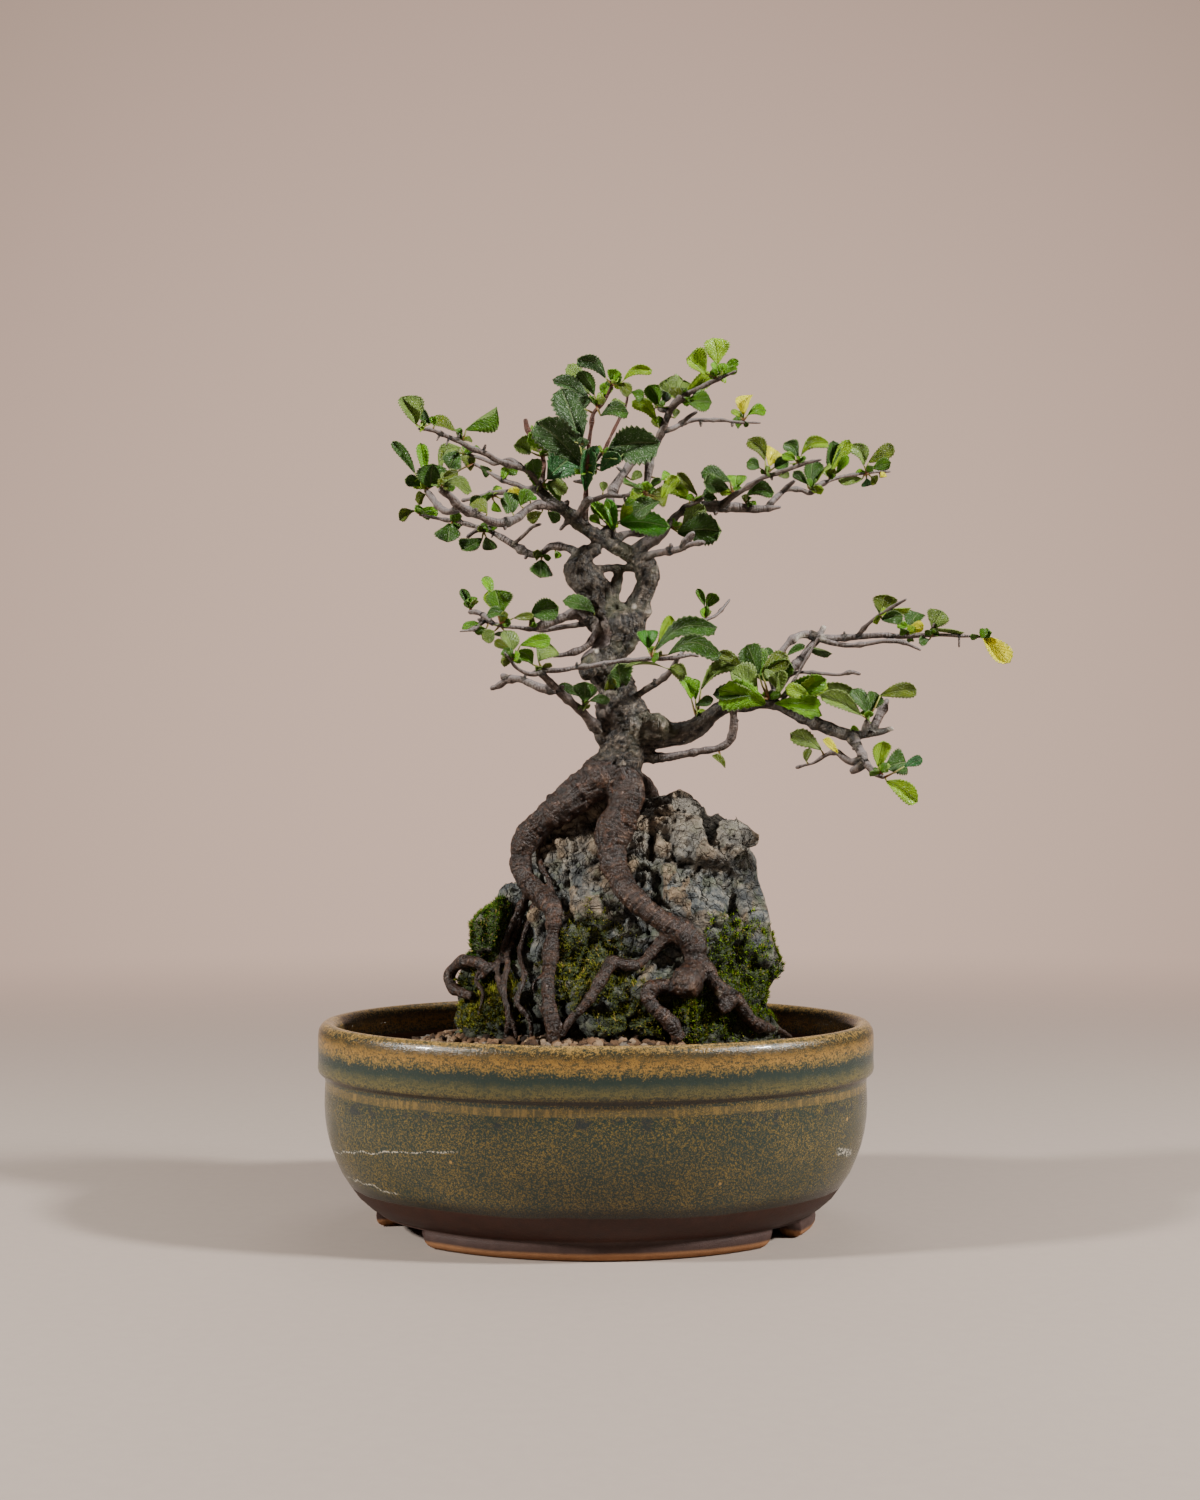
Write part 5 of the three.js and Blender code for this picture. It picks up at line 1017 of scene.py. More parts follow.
# %% Glaze and clay in one material
def glaze_material():
    """The pot's skin: clay at the foot and inside, glaze with a darker ring and a paler collar."""
    glaze = Paint("speckled_glaze", Specular_IOR_Level=0.3)
    place = glaze.place()
    height = glaze.part(place, 2) * 1000
    wobble = glaze.noise(place, 38.0, 3.0) - 0.5
    drip = glaze.noise(glaze.stretched(place, (1.0, 1.0, 0.18)), 190.0, 3.0) - 0.5
    level = height + wobble * 1.6
    grain = glaze.noise(place, 2300.0, 2.0, 0.7)
    spots = glaze.noise(place, 1150.0, 2.0, 0.6)
    depth = glaze.part(place, 1) * 1000
    shown = (height - EYE.z) / (depth * (-1 / EYE.y) + 1) + EYE.z
    cloud = glaze.noise(place, 60.0, 4.0, 0.6)
    ochre = glaze.mix(cloud, rgb(0.105, 0.072, 0.017), rgb(0.18, 0.122, 0.03))
    dark = rgb(0.015, 0.028, 0.023)
    # Dark glaze speckled with ochre, a banded collar, a pale bead and a blotted ring under it
    runs = glaze.noise(glaze.stretched(place, (1.0, 1.0, 2.6)), 330.0, 3.0, 0.65)
    speck = glaze.step(grain * 0.35 + spots * 0.45 + runs * 0.5, 0.55, 0.74)
    speckle = grain * 0.5 + spots * 0.7 + cloud * 0.16 - height * 0.0006
    body = glaze.mix(glaze.step(speckle, 0.6, 0.82), dark, ochre)
    collar_bands = glaze.ramp((level + drip * 4.0 + runs * 3.0 + spots * 9.0) * 0.04 - 2.74, [
        (0.0, (0.24, 0.14, 0.035)), (0.05, (0.05, 0.036, 0.014)), (0.1, (0.13, 0.1, 0.03)),
        (0.24, (0.09, 0.08, 0.03)), (0.33, (0.02, 0.034, 0.028)), (0.42, (0.02, 0.03, 0.024)),
        (0.48, (0.16, 0.11, 0.032)), (0.62, (0.31, 0.17, 0.04)), (0.72, (0.17, 0.1, 0.028)),
        (0.76, (0.02, 0.014, 0.008)), (0.8, (0.16, 0.1, 0.03)), (0.92, (0.32, 0.2, 0.06)),
    ])
    collar = glaze.mix(speck, glaze.mix(0.8, collar_bands, dark), collar_bands)
    pale_bead = glaze.band(level, 57.4, 58.2, 60.4, 61.2)
    ticks = glaze.step(glaze.noise(glaze.stretched(place, (1.0, 1.0, 0.1)), 420.0, 2.0), 0.5, 0.62)
    body = glaze.mix(pale_bead * (ticks * 0.4 + 0.25), body, rgb(0.22, 0.14, 0.042))
    ring = glaze.band(level, 51.0, 54.0, 56.0, 58.5)
    blots = glaze.step(glaze.noise(place, 160.0, 2.0), 0.52, 0.66)
    body = glaze.mix(ring * blots * 0.85, body, rgb(0.016, 0.022, 0.024))
    colour = glaze.mix(glaze.step(level, 62.2, 63.0), body, collar)
    seam = glaze.band(height, 62.0, 62.6, 63.4, 64.2)
    colour = glaze.mix(seam * 0.85, colour, rgb(0.012, 0.012, 0.01))

    # Clay at the foot and inside, and the dark line where the glaze ends
    clay_noise = glaze.noise(place, 240.0, 4.0, 0.6)
    clay = glaze.mix(clay_noise, rgb(0.014, 0.0045, 0.0025), rgb(0.05, 0.016, 0.008))
    band = glaze.mix(clay_noise, rgb(0.022, 0.011, 0.009), rgb(0.065, 0.036, 0.03))
    bare = glaze.mix(clay_noise, rgb(0.2, 0.085, 0.035), rgb(0.34, 0.17, 0.075))
    foot = glaze.mix(glaze.step(level, 7.2, 7.9), band, clay)
    rounded_edge = 1 - glaze.step(level, 2.4, 3.9)
    foot = glaze.mix(rounded_edge, foot, bare)
    edge_level = height + wobble * 2.4
    glazed = glaze.step(edge_level, 18.1, 18.9)
    rim_line = glaze.band(edge_level, 17.4, 18.4, 19.4, 24.0)
    colour = glaze.mix(rim_line * 0.85, colour, rgb(0.01, 0.009, 0.006))
    colour = glaze.mix(1 - glazed, colour, foot)
    inside = glaze.value("inside")
    inner_clay = glaze.mix(clay_noise, rgb(0.06, 0.024, 0.014), rgb(0.13, 0.055, 0.032))
    bare_inside = inside * (1 - glaze.step(level, 72.2, 73.4))
    colour = glaze.mix(bare_inside, colour, inner_clay)

    # Chalky scratches in front, and a few rusty dots
    along_x = glaze.part(place, 0) * 1000
    in_front = 1 - glaze.step(glaze.part(place, 1), -0.02, 0.0)
    streak = shown + (glaze.noise(place, 110.0, 3.0) - 0.5) * 4.5
    slope = streak + along_x * 0.32
    left_scratch = glaze.band(along_x, -137.0, -134.0, -84.0, -79.0)
    left_scratch = left_scratch * glaze.band(streak, 28.6, 29.0, 29.2, 29.7)
    low_scratch = glaze.band(along_x, -130.0, -127.0, -107.0, -104.0)
    low_scratch = low_scratch * glaze.band(slope, -22.6, -22.2, -22.0, -21.6)
    right_scratch = glaze.band(along_x, 66.0, 68.0, 73.0, 75.0)
    right_scratch = right_scratch * glaze.band(streak, 27.5, 28.2, 30.0, 31.0)
    scratches = left_scratch + low_scratch + right_scratch
    chalk = scratches * glaze.step(spots, 0.45, 0.58) * in_front
    colour = glaze.mix(chalk * 0.75, colour, rgb(0.5, 0.46, 0.38))
    dots = (1 - glaze.step(glaze.cells(place, 52.0), 0.03, 0.05)) * glazed
    colour = glaze.mix(dots * 0.7, colour, rgb(0.4, 0.23, 0.06))
    unglazed = glaze.step(1 - glazed + bare_inside, 0.2, 0.9)
    rough = unglazed * 0.3 + grain * 0.14 + cloud * 0.08 + 0.14
    rough = rough + rounded_edge * 0.35
    bump = grain * 0.5 + spots * 0.8
    return glaze.finish(Base_Color=colour, Roughness=rough, Coat_Weight=glazed * 0.2,
                        Normal=glaze.bump(bump, 0.0003, 0.5))


# A point belongs to the inside when it lies between the pot's floor and its rim, close to INNER
FLOOR_TOP, RIM_TOP, SKIN = 15.5, 82.5, 0.9
inside_flags = []
inner_z, inner_r = [z for _, z in reversed(INNER)], [r for r, _ in reversed(INNER)]
for vert in pot_data.vertices:
    r = math.hypot(vert.co.x - MIDDLE_X, vert.co.y / SQUEEZE) / MM
    z = vert.co.z / MM
    inside = FLOOR_TOP < z < RIM_TOP and r < np.interp(z, inner_z, inner_r) + SKIN
    inside_flags.append(1.0 if inside else 0.0)
note(pot_data, "inside", inside_flags)
piece("glazed_pot", pot_data, [glaze_material()], ["pot"])

# %% [markdown]
# Plastic nets keep the soil from falling through the drain holes, and bent wires hold them. Their CAD
# shapes are right as they are, so they only get a finish.

# %% Nets over the drain holes, and the clips that hold them
def mottled(name, fineness, dark, light, roughness, **constants):
    """A plain material whose colour wavers between two tones."""
    paint = Paint(name, **constants)
    waver = paint.noise(paint.place(), fineness, 3.0)
    colour = paint.mix(waver, rgb(*dark), rgb(*light))
    return paint.finish(Base_Color=colour, Roughness=waver * 0.3 + roughness)


NET = mottled("net", 900.0, (0.012, 0.014, 0.012), (0.04, 0.045, 0.04), 0.35)
WIRE = mottled("wire", 600.0, (0.42, 0.4, 0.38), (0.62, 0.6, 0.57), 0.25, Metallic=1.0)
for name, material in (("drain_mesh", NET), ("mesh_clip", WIRE)):
    for side in ("left", "right"):
        bpy.data.objects[f"{name}_{side}"].data.materials.clear()
        bpy.data.objects[f"{name}_{side}"].data.materials.append(material)
print("nets and clips coloured")

# %% [markdown]
# ## The soil
# The soil is baked clay in grains of three to five millimetres, heaped round the rock. A closed
# bed gives the volume, and loose grains of six shapes are strewn over it, each turned its own way.

# %% The bed
BED_RADIUS = 105.4
BED_EDGE_HIGH, BED_RISE = 67, 13


def soil_height(x, y):
    """Height of the soil above the table at a place in the pot, in millimetres."""
    rise = 1 - math.hypot(x, y / SQUEEZE) / BED_RADIUS
    t = min(max(rise / 0.62, 0.0), 1.0)
    return BED_EDGE_HIGH + BED_RISE * t * t * (3 - 2 * t) + 0.9 * math.sin(x / 9) * math.sin(y / 7)


# The top is spun flat at height 0. Each of its points is then lifted to the height of the soil.
bed_top = [(r, 0) for r in range(0, 105, 3)] + [(105.2, 0)]
bed_side = [(104.6, 62), (102.2, 42), (96.6, 27), (60, 17), (0, 17)]
shape = spun(bed_top + bed_side, 120)
for vert in shape.verts:
    vert.co.y *= SQUEEZE
    if vert.co.z < MM:
        vert.co.z = (soil_height(vert.co.x / MM, vert.co.y / MM) - 1.2) * MM
        vert.co.z += noise.noise(vert.co * 400) * 0.8 * MM
bmesh.ops.recalc_face_normals(shape, faces=shape.faces)
bmesh.ops.translate(shape, vec=(MIDDLE_X, 0, 0), verts=shape.verts)
bed = mesh_from("bed", shape)
print(f"the bed has {len(bed.vertices)} points")


# %% Grain shapes
def pebble(seed):
    """A lump with dull corners, about one unit across."""
    rnd = random.Random(seed)
    lump = bmesh.new()
    bmesh.ops.create_cube(lump, size=0.82)
    bmesh.ops.subdivide_edges(lump, edges=lump.edges[:], cuts=1, use_grid_fill=True)
    for vert in lump.verts:
        vert.co = vert.co.lerp(vert.co.normalized() * 0.5, 0.62)
        vert.co *= 1 + 0.22 * rnd.uniform(-1, 1)
        vert.co = Vector((vert.co.x, vert.co.y * rnd.uniform(0.93, 1), vert.co.z * 0.82))
    bmesh.ops.recalc_face_normals(lump, faces=lump.faces)
    return mesh_from("pebble", lump)


KINDS = 6  # different pebbles, and later different blades of moss
pebbles = [pebble(seed) for seed in range(KINDS)]
print(f"{len(pebbles)} kinds of pebble")

# %% Strew the grains
GRAIN_TRIES = 4300
UNDER_ROCK = (50, 26)  # no grain is needed where the rock stands
dice = random.Random(11)
places = []
for _ in range(GRAIN_TRIES):
    angle = dice.uniform(0, math.tau)
    radius = BED_RADIUS * math.sqrt(dice.random())
    x, y = radius * math.cos(angle), radius * SQUEEZE * math.sin(angle)
    if radius < UNDER_ROCK[0] and abs(y) < UNDER_ROCK[1]:
        continue
    size = dice.uniform(2.4, 4.4) if dice.random() < 0.8 else dice.uniform(4.4, 5.6)
    if radius > BED_RADIUS - size * 0.5:
        continue
    height = soil_height(x, y) - 0.2 + dice.uniform(-0.6, 1.0)
    spot = Vector((MIDDLE_X + x * MM, y * MM, height * MM))
    angle = dice.uniform(0, math.tau)
    turn = Matrix.Rotation(angle, 4, Vector((dice.random(), dice.random(), dice.random())))
    grow = Matrix.Diagonal((size * MM * dice.uniform(0.8, 1.15), size * MM, size * MM, 1))
    places.append((dice.randrange(KINDS), Matrix.Translation(spot) @ turn @ grow, dice.random()))
soil_grains = strewn(pebbles, places)
print(f"{len(places)} grains")


# %% Baked clay
def clay_material():
    """Clay grains, each with a tone from nearly black over brown and straw to grey, all dusty."""
    clay = Paint("baked_clay", Specular_IOR_Level=0.25)
    place = clay.place()
    tone = clay.value("tone")
    dust = clay.noise(place, 900.0, 4.0, 0.65)
    colour = clay.ramp(tone, [
        (0.0, (0.01, 0.006, 0.004)), (0.25, (0.05, 0.027, 0.014)), (0.5, (0.1, 0.055, 0.028)),
        (0.7, (0.19, 0.11, 0.06)), (0.85, (0.26, 0.18, 0.11)), (1.0, (0.1, 0.098, 0.095)),
    ])
    darker = clay.mix(0.5, colour, rgb(0.04, 0.025, 0.018))
    colour = clay.mix(clay.step(dust, 0.35, 0.7) * 0.5, colour, darker)
    pits = clay.cells(place, 1300.0)
    return clay.finish(Base_Color=colour, Roughness=clay.step(dust, 0.2, 0.8) * 0.15 + 0.8,
                       Normal=clay.bump(dust + pits * 0.5, 0.0005, 0.9))


CLAY = clay_material()
BED_TONE = 0.08
note(bed, "tone", [BED_TONE] * len(bed.vertices))
piece("soil_bed", bed, [CLAY], ["soil"])
piece("soil_grains", soil_grains, [CLAY])

# %% [markdown]
# ## The rock
# The seven lumps and eight more at their shoulders are grown together like the wood. The skin is
# then broken up into blocks of three sizes, each with its own height and its own slanting top, and
# deep clefts run where the front view has them. What the front view shows sets the outline, so
# points that stand out past it are drawn back in.

# %% The outline of the rock, seen from the front
OUTLINE = [
    (-59, 60), (-60, 95), (-54, 109), (-51, 113), (-51, 124), (-48, 128), (-41, 133), (-40, 138),
    (-33, 146), (-27, 156), (-18, 166), (-8, 174), (0, 178), (8, 180), (22, 176), (30, 178),
    (35, 180), (39, 178), (45, 173), (47, 168), (50, 170), (55, 171), (58, 169), (60, 165),
    (63, 165), (66, 162), (68, 161), (67, 150), (67, 143), (70, 136), (72, 127), (73, 118),
    (75, 112), (78, 105), (75, 102), (71, 101), (70, 90), (74, 84), (80, 76), (80, 60),
]


def outline_gap(x, z):
    """How far (x, z) lies outside the outline, and the way back in."""
    inside, best, way = False, 1e9, (0.0, 0.0)
    for (x0, z0), (x1, z1) in zip(OUTLINE, OUTLINE[1:] + OUTLINE[:1]):
        if (z0 > z) != (z1 > z) and x < x0 + (z - z0) / (z1 - z0) * (x1 - x0):
            inside = not inside
        length = (x1 - x0) ** 2 + (z1 - z0) ** 2
        t = min(max(((x - x0) * (x1 - x0) + (z - z0) * (z1 - z0)) / length, 0), 1)
        dx, dz = x0 + t * (x1 - x0) - x, z0 + t * (z1 - z0) - z
        if dx * dx + dz * dz < best:
            best, way = dx * dx + dz * dz, (dx, dz)
    return (0.0, (0.0, 0.0)) if inside else (math.sqrt(best), way)


print(f"the outline has {len(OUTLINE)} stops")

# %% Grow the lumps together
SHOULDERS = [
    ((60, 8, 106), (19, 26, 28)), ((57, 12, 140), (13, 20, 28)), ((30, 16, 160), (18, 14, 21)),
    ((-8, 21, 151), (23, 16, 28)), ((-34, 15, 118), (17, 15, 25)), ((36, 6, 165), (13, 15, 15)),
    ((58, 6, 157), (11, 15, 14)), ((2, 18, 168), (12, 12, 14)),
]
ROCK_VOXEL = 0.95 * MM
shape = bmesh.new()
for (x, y, z), half in LUMPS + SHOULDERS:
    made = bmesh.ops.create_icosphere(shape, subdivisions=4, radius=1.0)["verts"]
    centre = seen(x, z, y)
    for vert in made:
        direction = vert.co
        power = sum(abs(c) ** BLOCKY for c in direction) ** (-1 / BLOCKY)
        vert.co = centre + Vector([c * power * h * MM for c, h in zip(direction, half)])
stone = settled(mesh_from("lumps", shape), "REMESH", mode="VOXEL", voxel_size=ROCK_VOXEL)
stone = settled(stone, "SMOOTH", iterations=4, factor=0.5)
print(f"the plain rock has {len(stone.vertices)} points")

# %% Blocks, knobs and clefts: each cleft is (x, z, half width, half height, depth)
CLEFTS = [
    (48, 164, 2.6, 12, 4), (38, 149, 7, 3, 4), (23, 158, 2.5, 12, 4), (-31, 118, 5, 8, 3),
    (8, 132, 6, 4, 3), (58, 128, 4, 9, 4), (66, 108, 4, 5, 3), (-40, 100, 4, 6, 3),
]
FAR_APART = 3000  # spreads the centres of blocks, so that each draws a number of its own


def block_at(place, edge):
    """The block round a place: 0 at its edge to 1 inside, its own step, and its slanting top."""
    gaps, centres = noise.voronoi(place)
    own = centres[0] * FAR_APART
    tilt = noise.cell_vector(own) - Vector((0.5, 0.5, 0.5))
    return min(gaps[1] - gaps[0], edge) / edge, noise.cell(own), tilt.dot(place - centres[0])


def rock_relief(point, normal):
    """Height of the rock's skin at a point, in millimetres, its painted cleft shade and its kind."""
    warp = noise.noise_vector(point * 60) * 0.006
    block, block_step, slant = block_at((point + warp * 1.6) * 52, 0.5)
    knob, knob_step, little_slant = block_at((point + warp) * 125, 0.55)
    little, small_step, _ = block_at((point + warp * 0.6) * 300, 0.6)
    rough = noise.ridged_multi_fractal(point * 260, 0.9, 2.1, 4, 0.9, 2.0) - 1.0
    broad = noise.noise(point * 38)
    # Cracks round blocks of each size, then roughness and swells, then each block's own slant and step
    height = 2.6 * (block**0.4 - 0.75) + 0.9 * (knob**0.5 - 0.75) + 0.4 * (little**0.8 - 0.68)
    height += 1.0 * rough + 2.4 * broad + 1.2 + 4.2 * slant + 2.0 * little_slant
    height += 2.4 * (block_step - 0.5) + 1.2 * (knob_step - 0.5) + 0.6 * (small_step - 0.5)
    # Painted shade: darkest in the gaps between blocks and in the clefts
    painted_cleft_shade = 0.95 - 0.4 * block**0.4 - 0.34 * knob**0.5 - 0.26 * little**0.8 - 0.12 * rough
    if normal.y < 0.2:
        x, z = appears(point)
        for cx, cz, wide, high, deep in CLEFTS:
            away = math.hypot((x - cx) / wide, (z - cz) / high)
            if away < 1:
                height -= deep * (1 - away * away) ** 1.5
                painted_cleft_shade = max(painted_cleft_shade, 1 - away * away)
    return height, painted_cleft_shade, block_step * 0.6 + knob_step * 0.4


heights, painted_cleft_shades, kinds = [], [], []
for vertex in stone.vertices:
    height, painted_cleft_shade, kind = rock_relief(vertex.co, vertex.normal)
    kinds.append(kind)
    heights.append(height * MM)
    painted_cleft_shades.append(painted_cleft_shade)
moved = points_of(stone) + np.array([v.normal for v in stone.vertices]) * np.array(heights)[:, None]
for i, co in enumerate(moved):
    gap, (dx, dz) = outline_gap(*appears(Vector(co)))
    if gap:
        share = min(1.0, 0.65 + 0.06 * gap)
        moved[i] += (dx * share * MM, 0, dz * share * MM)
stone.vertices.foreach_set("co", moved.astype(np.float32).ravel())
stone.update()
note(stone, "painted_cleft_shade", np.clip(painted_cleft_shades, 0, 1))
note(stone, "kind", kinds)
print(f"the rock stands {max(heights) / MM:.1f} mm out and {-min(heights) / MM:.1f} mm in")

# %% [markdown]
# Moss grows in cushions on the damp sides. Each cushion is a ragged patch of the rock's own skin, set
# with thousands of tiny blades.

# %% Where the moss grows: centre, half lengths and colour of each cushion
CUSHIONS = {
    "moss_upper_left": ((-43, -6, 119), (13, 18, 17), (0.09, 0.2, 0.01)),
    "moss_lower_left": ((-46, -14, 92), (19, 24, 16), (0.3, 0.32, 0.02)),
    "moss_centre": ((-2, -24, 104), (20, 18, 26), (0.22, 0.24, 0.015)),
    "moss_right": ((57, -8, 102), (22, 30, 25), (0.25, 0.42, 0.01)),
}
SCRAPS = {"moss_centre": ((22, -30, 86), (26, 22, 12)), "moss_right": ((44, -20, 86), (24, 24, 11))}


def cushion_share(point, centre, half):
    """1 in the heart of a cushion, 0 outside."""
    offset = (point - seen(centre[0], centre[2], centre[1])) / MM
    away = math.sqrt(sum((o / h) ** 2 for o, h in zip(offset, half)))
    ragged = 0.5 * noise.fractal(point * 230, 1.0, 2.0, 3)
    return min(max((1.0 - away + ragged) * 3.0, 0.0), 1.0)


def moss_share(point, name):
    """The same for a whole cushion with its thinner scraps near the soil."""
    main = cushion_share(point, *CUSHIONS[name][:2])
    return max(main, cushion_share(point, *SCRAPS[name]) * 0.8) if name in SCRAPS else main


greens = []
for vertex in stone.vertices:
    green = max(moss_share(vertex.co, name) for name in CUSHIONS)
    greens.append(green * (vertex.normal.z > -0.5))
note(stone, "mossy", greens)
print(f"{sum(green > 0.5 for green in greens) / len(greens):.0%} of the rock is mossy")


# %% [markdown]
# The stone is layered from broad to fine: grey and tan blocks, lichen, painted light on the tops, a
# foot that grows darker towards the bottom with greenish patches, then hair cracks, painted shade in
# the clefts, and moss. Each layer is one mix over the last, so the order can be read from top to bottom.

# %% Stone
def stone_material():
    """Grey and tan stone: warmer higher up with painted light on top, darker low down, with painted black
    shade in its clefts.
    """
    stone = Paint("stone", Specular_IOR_Level=0.3)
    place = stone.place()
    painted_cleft_shade, mossy, kind = stone.value("painted_cleft_shade"), stone.value("mossy"), stone.value("kind")
    broad = stone.noise(place, 55.0, 4.0, 0.6)
    patch = stone.noise(place, 210.0, 4.0, 0.65)
    fine = stone.noise(place, 1100.0, 3.0, 0.65)
    grey = stone.ramp(patch, [
        (0.3, (0.032, 0.038, 0.042)), (0.45, (0.085, 0.095, 0.098)), (0.58, (0.17, 0.17, 0.15)),
        (0.72, (0.34, 0.31, 0.25)),
    ])
    tan = stone.ramp(patch, [
        (0.3, (0.04, 0.031, 0.022)), (0.5, (0.15, 0.108, 0.068)), (0.7, (0.38, 0.275, 0.17)),
    ])
    height = stone.part(place, 2) * 1000
    colour = stone.mix(stone.step(broad * 0.6 + kind * 0.35 + height * 0.0016, 0.58, 0.84), grey, tan)
    lichen = stone.step(stone.noise(place, 130.0, 4.0, 0.65) - height * 0.0012, 0.34, 0.48)
    colour = stone.mix(lichen * 0.55, colour, rgb(0.1, 0.12, 0.07))
    colour = stone.mix(stone.step(fine, 0.62, 0.78) * 0.35, colour, rgb(0.32, 0.3, 0.25))
    # Painted light: the highest parts of the stone are paler
    painted_top_light = stone.step(height + patch * 40, 155.0, 190.0) * 0.42
    colour = stone.mix(painted_top_light, colour, rgb(0.27, 0.225, 0.17))
    # Darker towards the bottom, greenish black in patches
    darker_low_down = 1 - stone.step(height + broad * 40, 100.0, 145.0)
    low_down_colour = stone.mix(stone.step(patch, 0.4, 0.75), rgb(0.006, 0.008, 0.003), rgb(0.055, 0.062, 0.03))
    colour = stone.mix(darker_low_down * 0.8, colour, low_down_colour)
    sway = stone.node("TexNoise", None, {"Vector": place, "Scale": 160.0}, "Color")
    sway = stone.node("VectorMath", {"operation": "SCALE"}, {0: sway, "Scale": 0.006})
    swayed = stone.node("VectorMath", {"operation": "ADD"}, {0: place, 1: sway})
    crack = 1 - stone.step(stone.cells(swayed, 210.0, "DISTANCE_TO_EDGE"), 0.0, 0.09)
    colour = stone.mix(crack * 0.3, colour, rgb(0.01, 0.009, 0.007))
    # Painted shade: the clefts and the gaps between blocks turn nearly black
    colour = stone.mix(stone.step(painted_cleft_shade, 0.4, 0.95) * 0.85, colour, rgb(0.008, 0.008, 0.006))
    colour = stone.mix(mossy * stone.step(fine, 0.3, 0.5) * 0.85, colour, rgb(0.03, 0.05, 0.008))
    return stone.finish(Base_Color=colour, Roughness=stone.step(fine, 0.2, 0.9) * 0.2 + 0.68,
                        Normal=stone.bump(fine * 0.6 + patch - crack * 0.5, 0.0016, 1.0))


piece("stone", stone, [stone_material()], ["rock"])


# %% Blades of moss
def moss_blade(seed):
    """A bent three-sided blade, one unit long, standing on its root."""
    rnd = random.Random(seed)
    bend = rnd.uniform(0.2, 0.6)
    points = [(-0.16, -0.09, 0), (0.16, -0.09, 0), (0, 0.18, 0), (-0.1 + bend * 0.3, 0, 0.55),
              (0.1 + bend * 0.3, 0.05, 0.55), (bend, 0, 1)]
    faces = [(0, 1, 4, 3), (1, 2, 4), (2, 0, 3), (2, 3, 4), (3, 4, 5), (0, 2, 1)]
    blade = bpy.data.meshes.new("blade")
    blade.from_pydata(points, [], faces)
    return blade


def moss_material(name, green):
    """Moss from deep to bright green by the tone of each blade, and straw for the brightest."""
    moss = Paint(name, Specular_IOR_Level=0.2)
    place = moss.place()
    tone = moss.value("tone")
    deep = rgb(green[0] * 0.1, green[1] * 0.1, green[2] * 0.25)
    bright = rgb(*green)
    straw = rgb(0.42, 0.28, 0.07)
    fine = moss.noise(place, 700.0, 3.0)
    colour = moss.mix(moss.step(tone, 0.0, 0.75), deep, bright)
    colour = moss.mix(moss.step(fine, 0.3, 0.7) * 0.4, colour, deep)
    colour = moss.mix(moss.step(tone, 0.88, 0.95) * 0.8, colour, straw)
    return moss.finish(Base_Color=colour, Roughness=fine * 0.2 + 0.7)


BLADES_PER_CUSHION = 8000
BLADE_WIDTH = 0.74
blades = [moss_blade(seed) for seed in range(KINDS)]
skin = [(v.co.copy(), v.normal.copy(), g) for v, g in zip(stone.vertices, greens)]
for name, (_, _, green) in CUSHIONS.items():
    dice = random.Random(name)
    rooted = [(co, normal) for co, normal, g in skin if g > 0.1 and moss_share(co, name) > 0.15]
    places = []
    for _ in range(BLADES_PER_CUSHION):
        co, normal = rooted[dice.randrange(len(rooted))]
        jitter = Vector([dice.uniform(-0.5, 0.5) for _ in range(3)]) * ROCK_VOXEL
        tangle = Vector([dice.gauss(0, 0.42) for _ in range(3)])
        turn = (normal + tangle + Vector((0, 0, 0.35))).to_track_quat("Z", "X").to_matrix().to_4x4()
        swell = 0.6 + 0.9 * (noise.noise(co * 500) + 0.4)
        length = max(0.5, dice.uniform(0.8, 1.7) * swell) * MM
        fresh, bright, straw = dice.random(), dice.random() < 0.35, dice.random() > 0.97
        shade = min(1.0, 0.25 + 0.4 * swell * fresh + 0.35 * bright + straw)
        grow = Matrix.Diagonal((length * BLADE_WIDTH, length * BLADE_WIDTH, length, 1))
        places.append((dice.randrange(KINDS), Matrix.Translation(co + jitter) @ turn @ grow, shade))
    cushion = strewn(blades, places)
    piece(name + "_blades", cushion, [moss_material(name + "_green", green)], [name])

# %% [markdown]
# ## Leaves
# A quince leaf is a rounded spoon: narrow at its stalk, widest near the tip, with small teeth round
# the outer edge. It starts as a flat grid. Its outline, fold, arch and curl then come from a few
# sums, and the Solidify modifier gives it a paler underside. Each leaf is noted by where it
# starts and ends in the front view, how far its tip lies back, its width and its turn, with two
# letters. The first is its tone, one of those below; the light and bright tones are partly painted
# light and the dark ones partly painted shade. The second is its form: nearly flat, folded like
# a V, arched, or seen from its edge. Some tones are dusty.

# %% Tones and forms
# Leaf tones: partly each leaf's own colour, partly painted light on the light l and bright b leaves and
# painted shade on the dark d leaves
LEAF_TONES_AND_PAINTED_LIGHT = {
    "l": (0.27, 0.46, 0.01), "b": (0.16, 0.40, 0.004), "m": (0.075, 0.20, 0.004),
    "p": (0.18, 0.28, 0.045), "d": (0.036, 0.11, 0.004), "y": (0.85, 0.78, 0.012),
    "o": (0.12, 0.17, 0.008), "t": (0.018, 0.12, 0.022), "s": (0.03, 0.09, 0.01),
    "g": (0.045, 0.22, 0.004),
}
FOLDS = {"f": 0.38, "v": 0.85, "a": 0.5, "e": 0.5}
ARCHES = {"f": 0.03, "v": 0.05, "a": 0.2, "e": 0.06}
DUSTS = {"s": 1.0, "d": 0.4, "t": 0.4, "p": 0.4, "y": 0.0, "l": 0.0, "b": 0.0}
DUST = 0.1  # of every other tone
LENGTHWISE, CROSSWISE = 22, 6  # faces of a blade
TOOTH = 0.15
WIDER = 1.2  # the widths were noted across folded leaves
EDGE_ON, EDGE_ON_WIDER = 0.95, 1.5  # turn in radians and widening of a leaf seen from its edge


def half_width(t, form):
    """Half the width of the blade at t of its length, 1 at its widest; folded ones have a tip."""
    most, blunt = (1.72, 2.4) if form == "v" else (1.58, 3.4)
    return most * t**0.82 * math.sqrt(max(1 - t**blunt, 0))


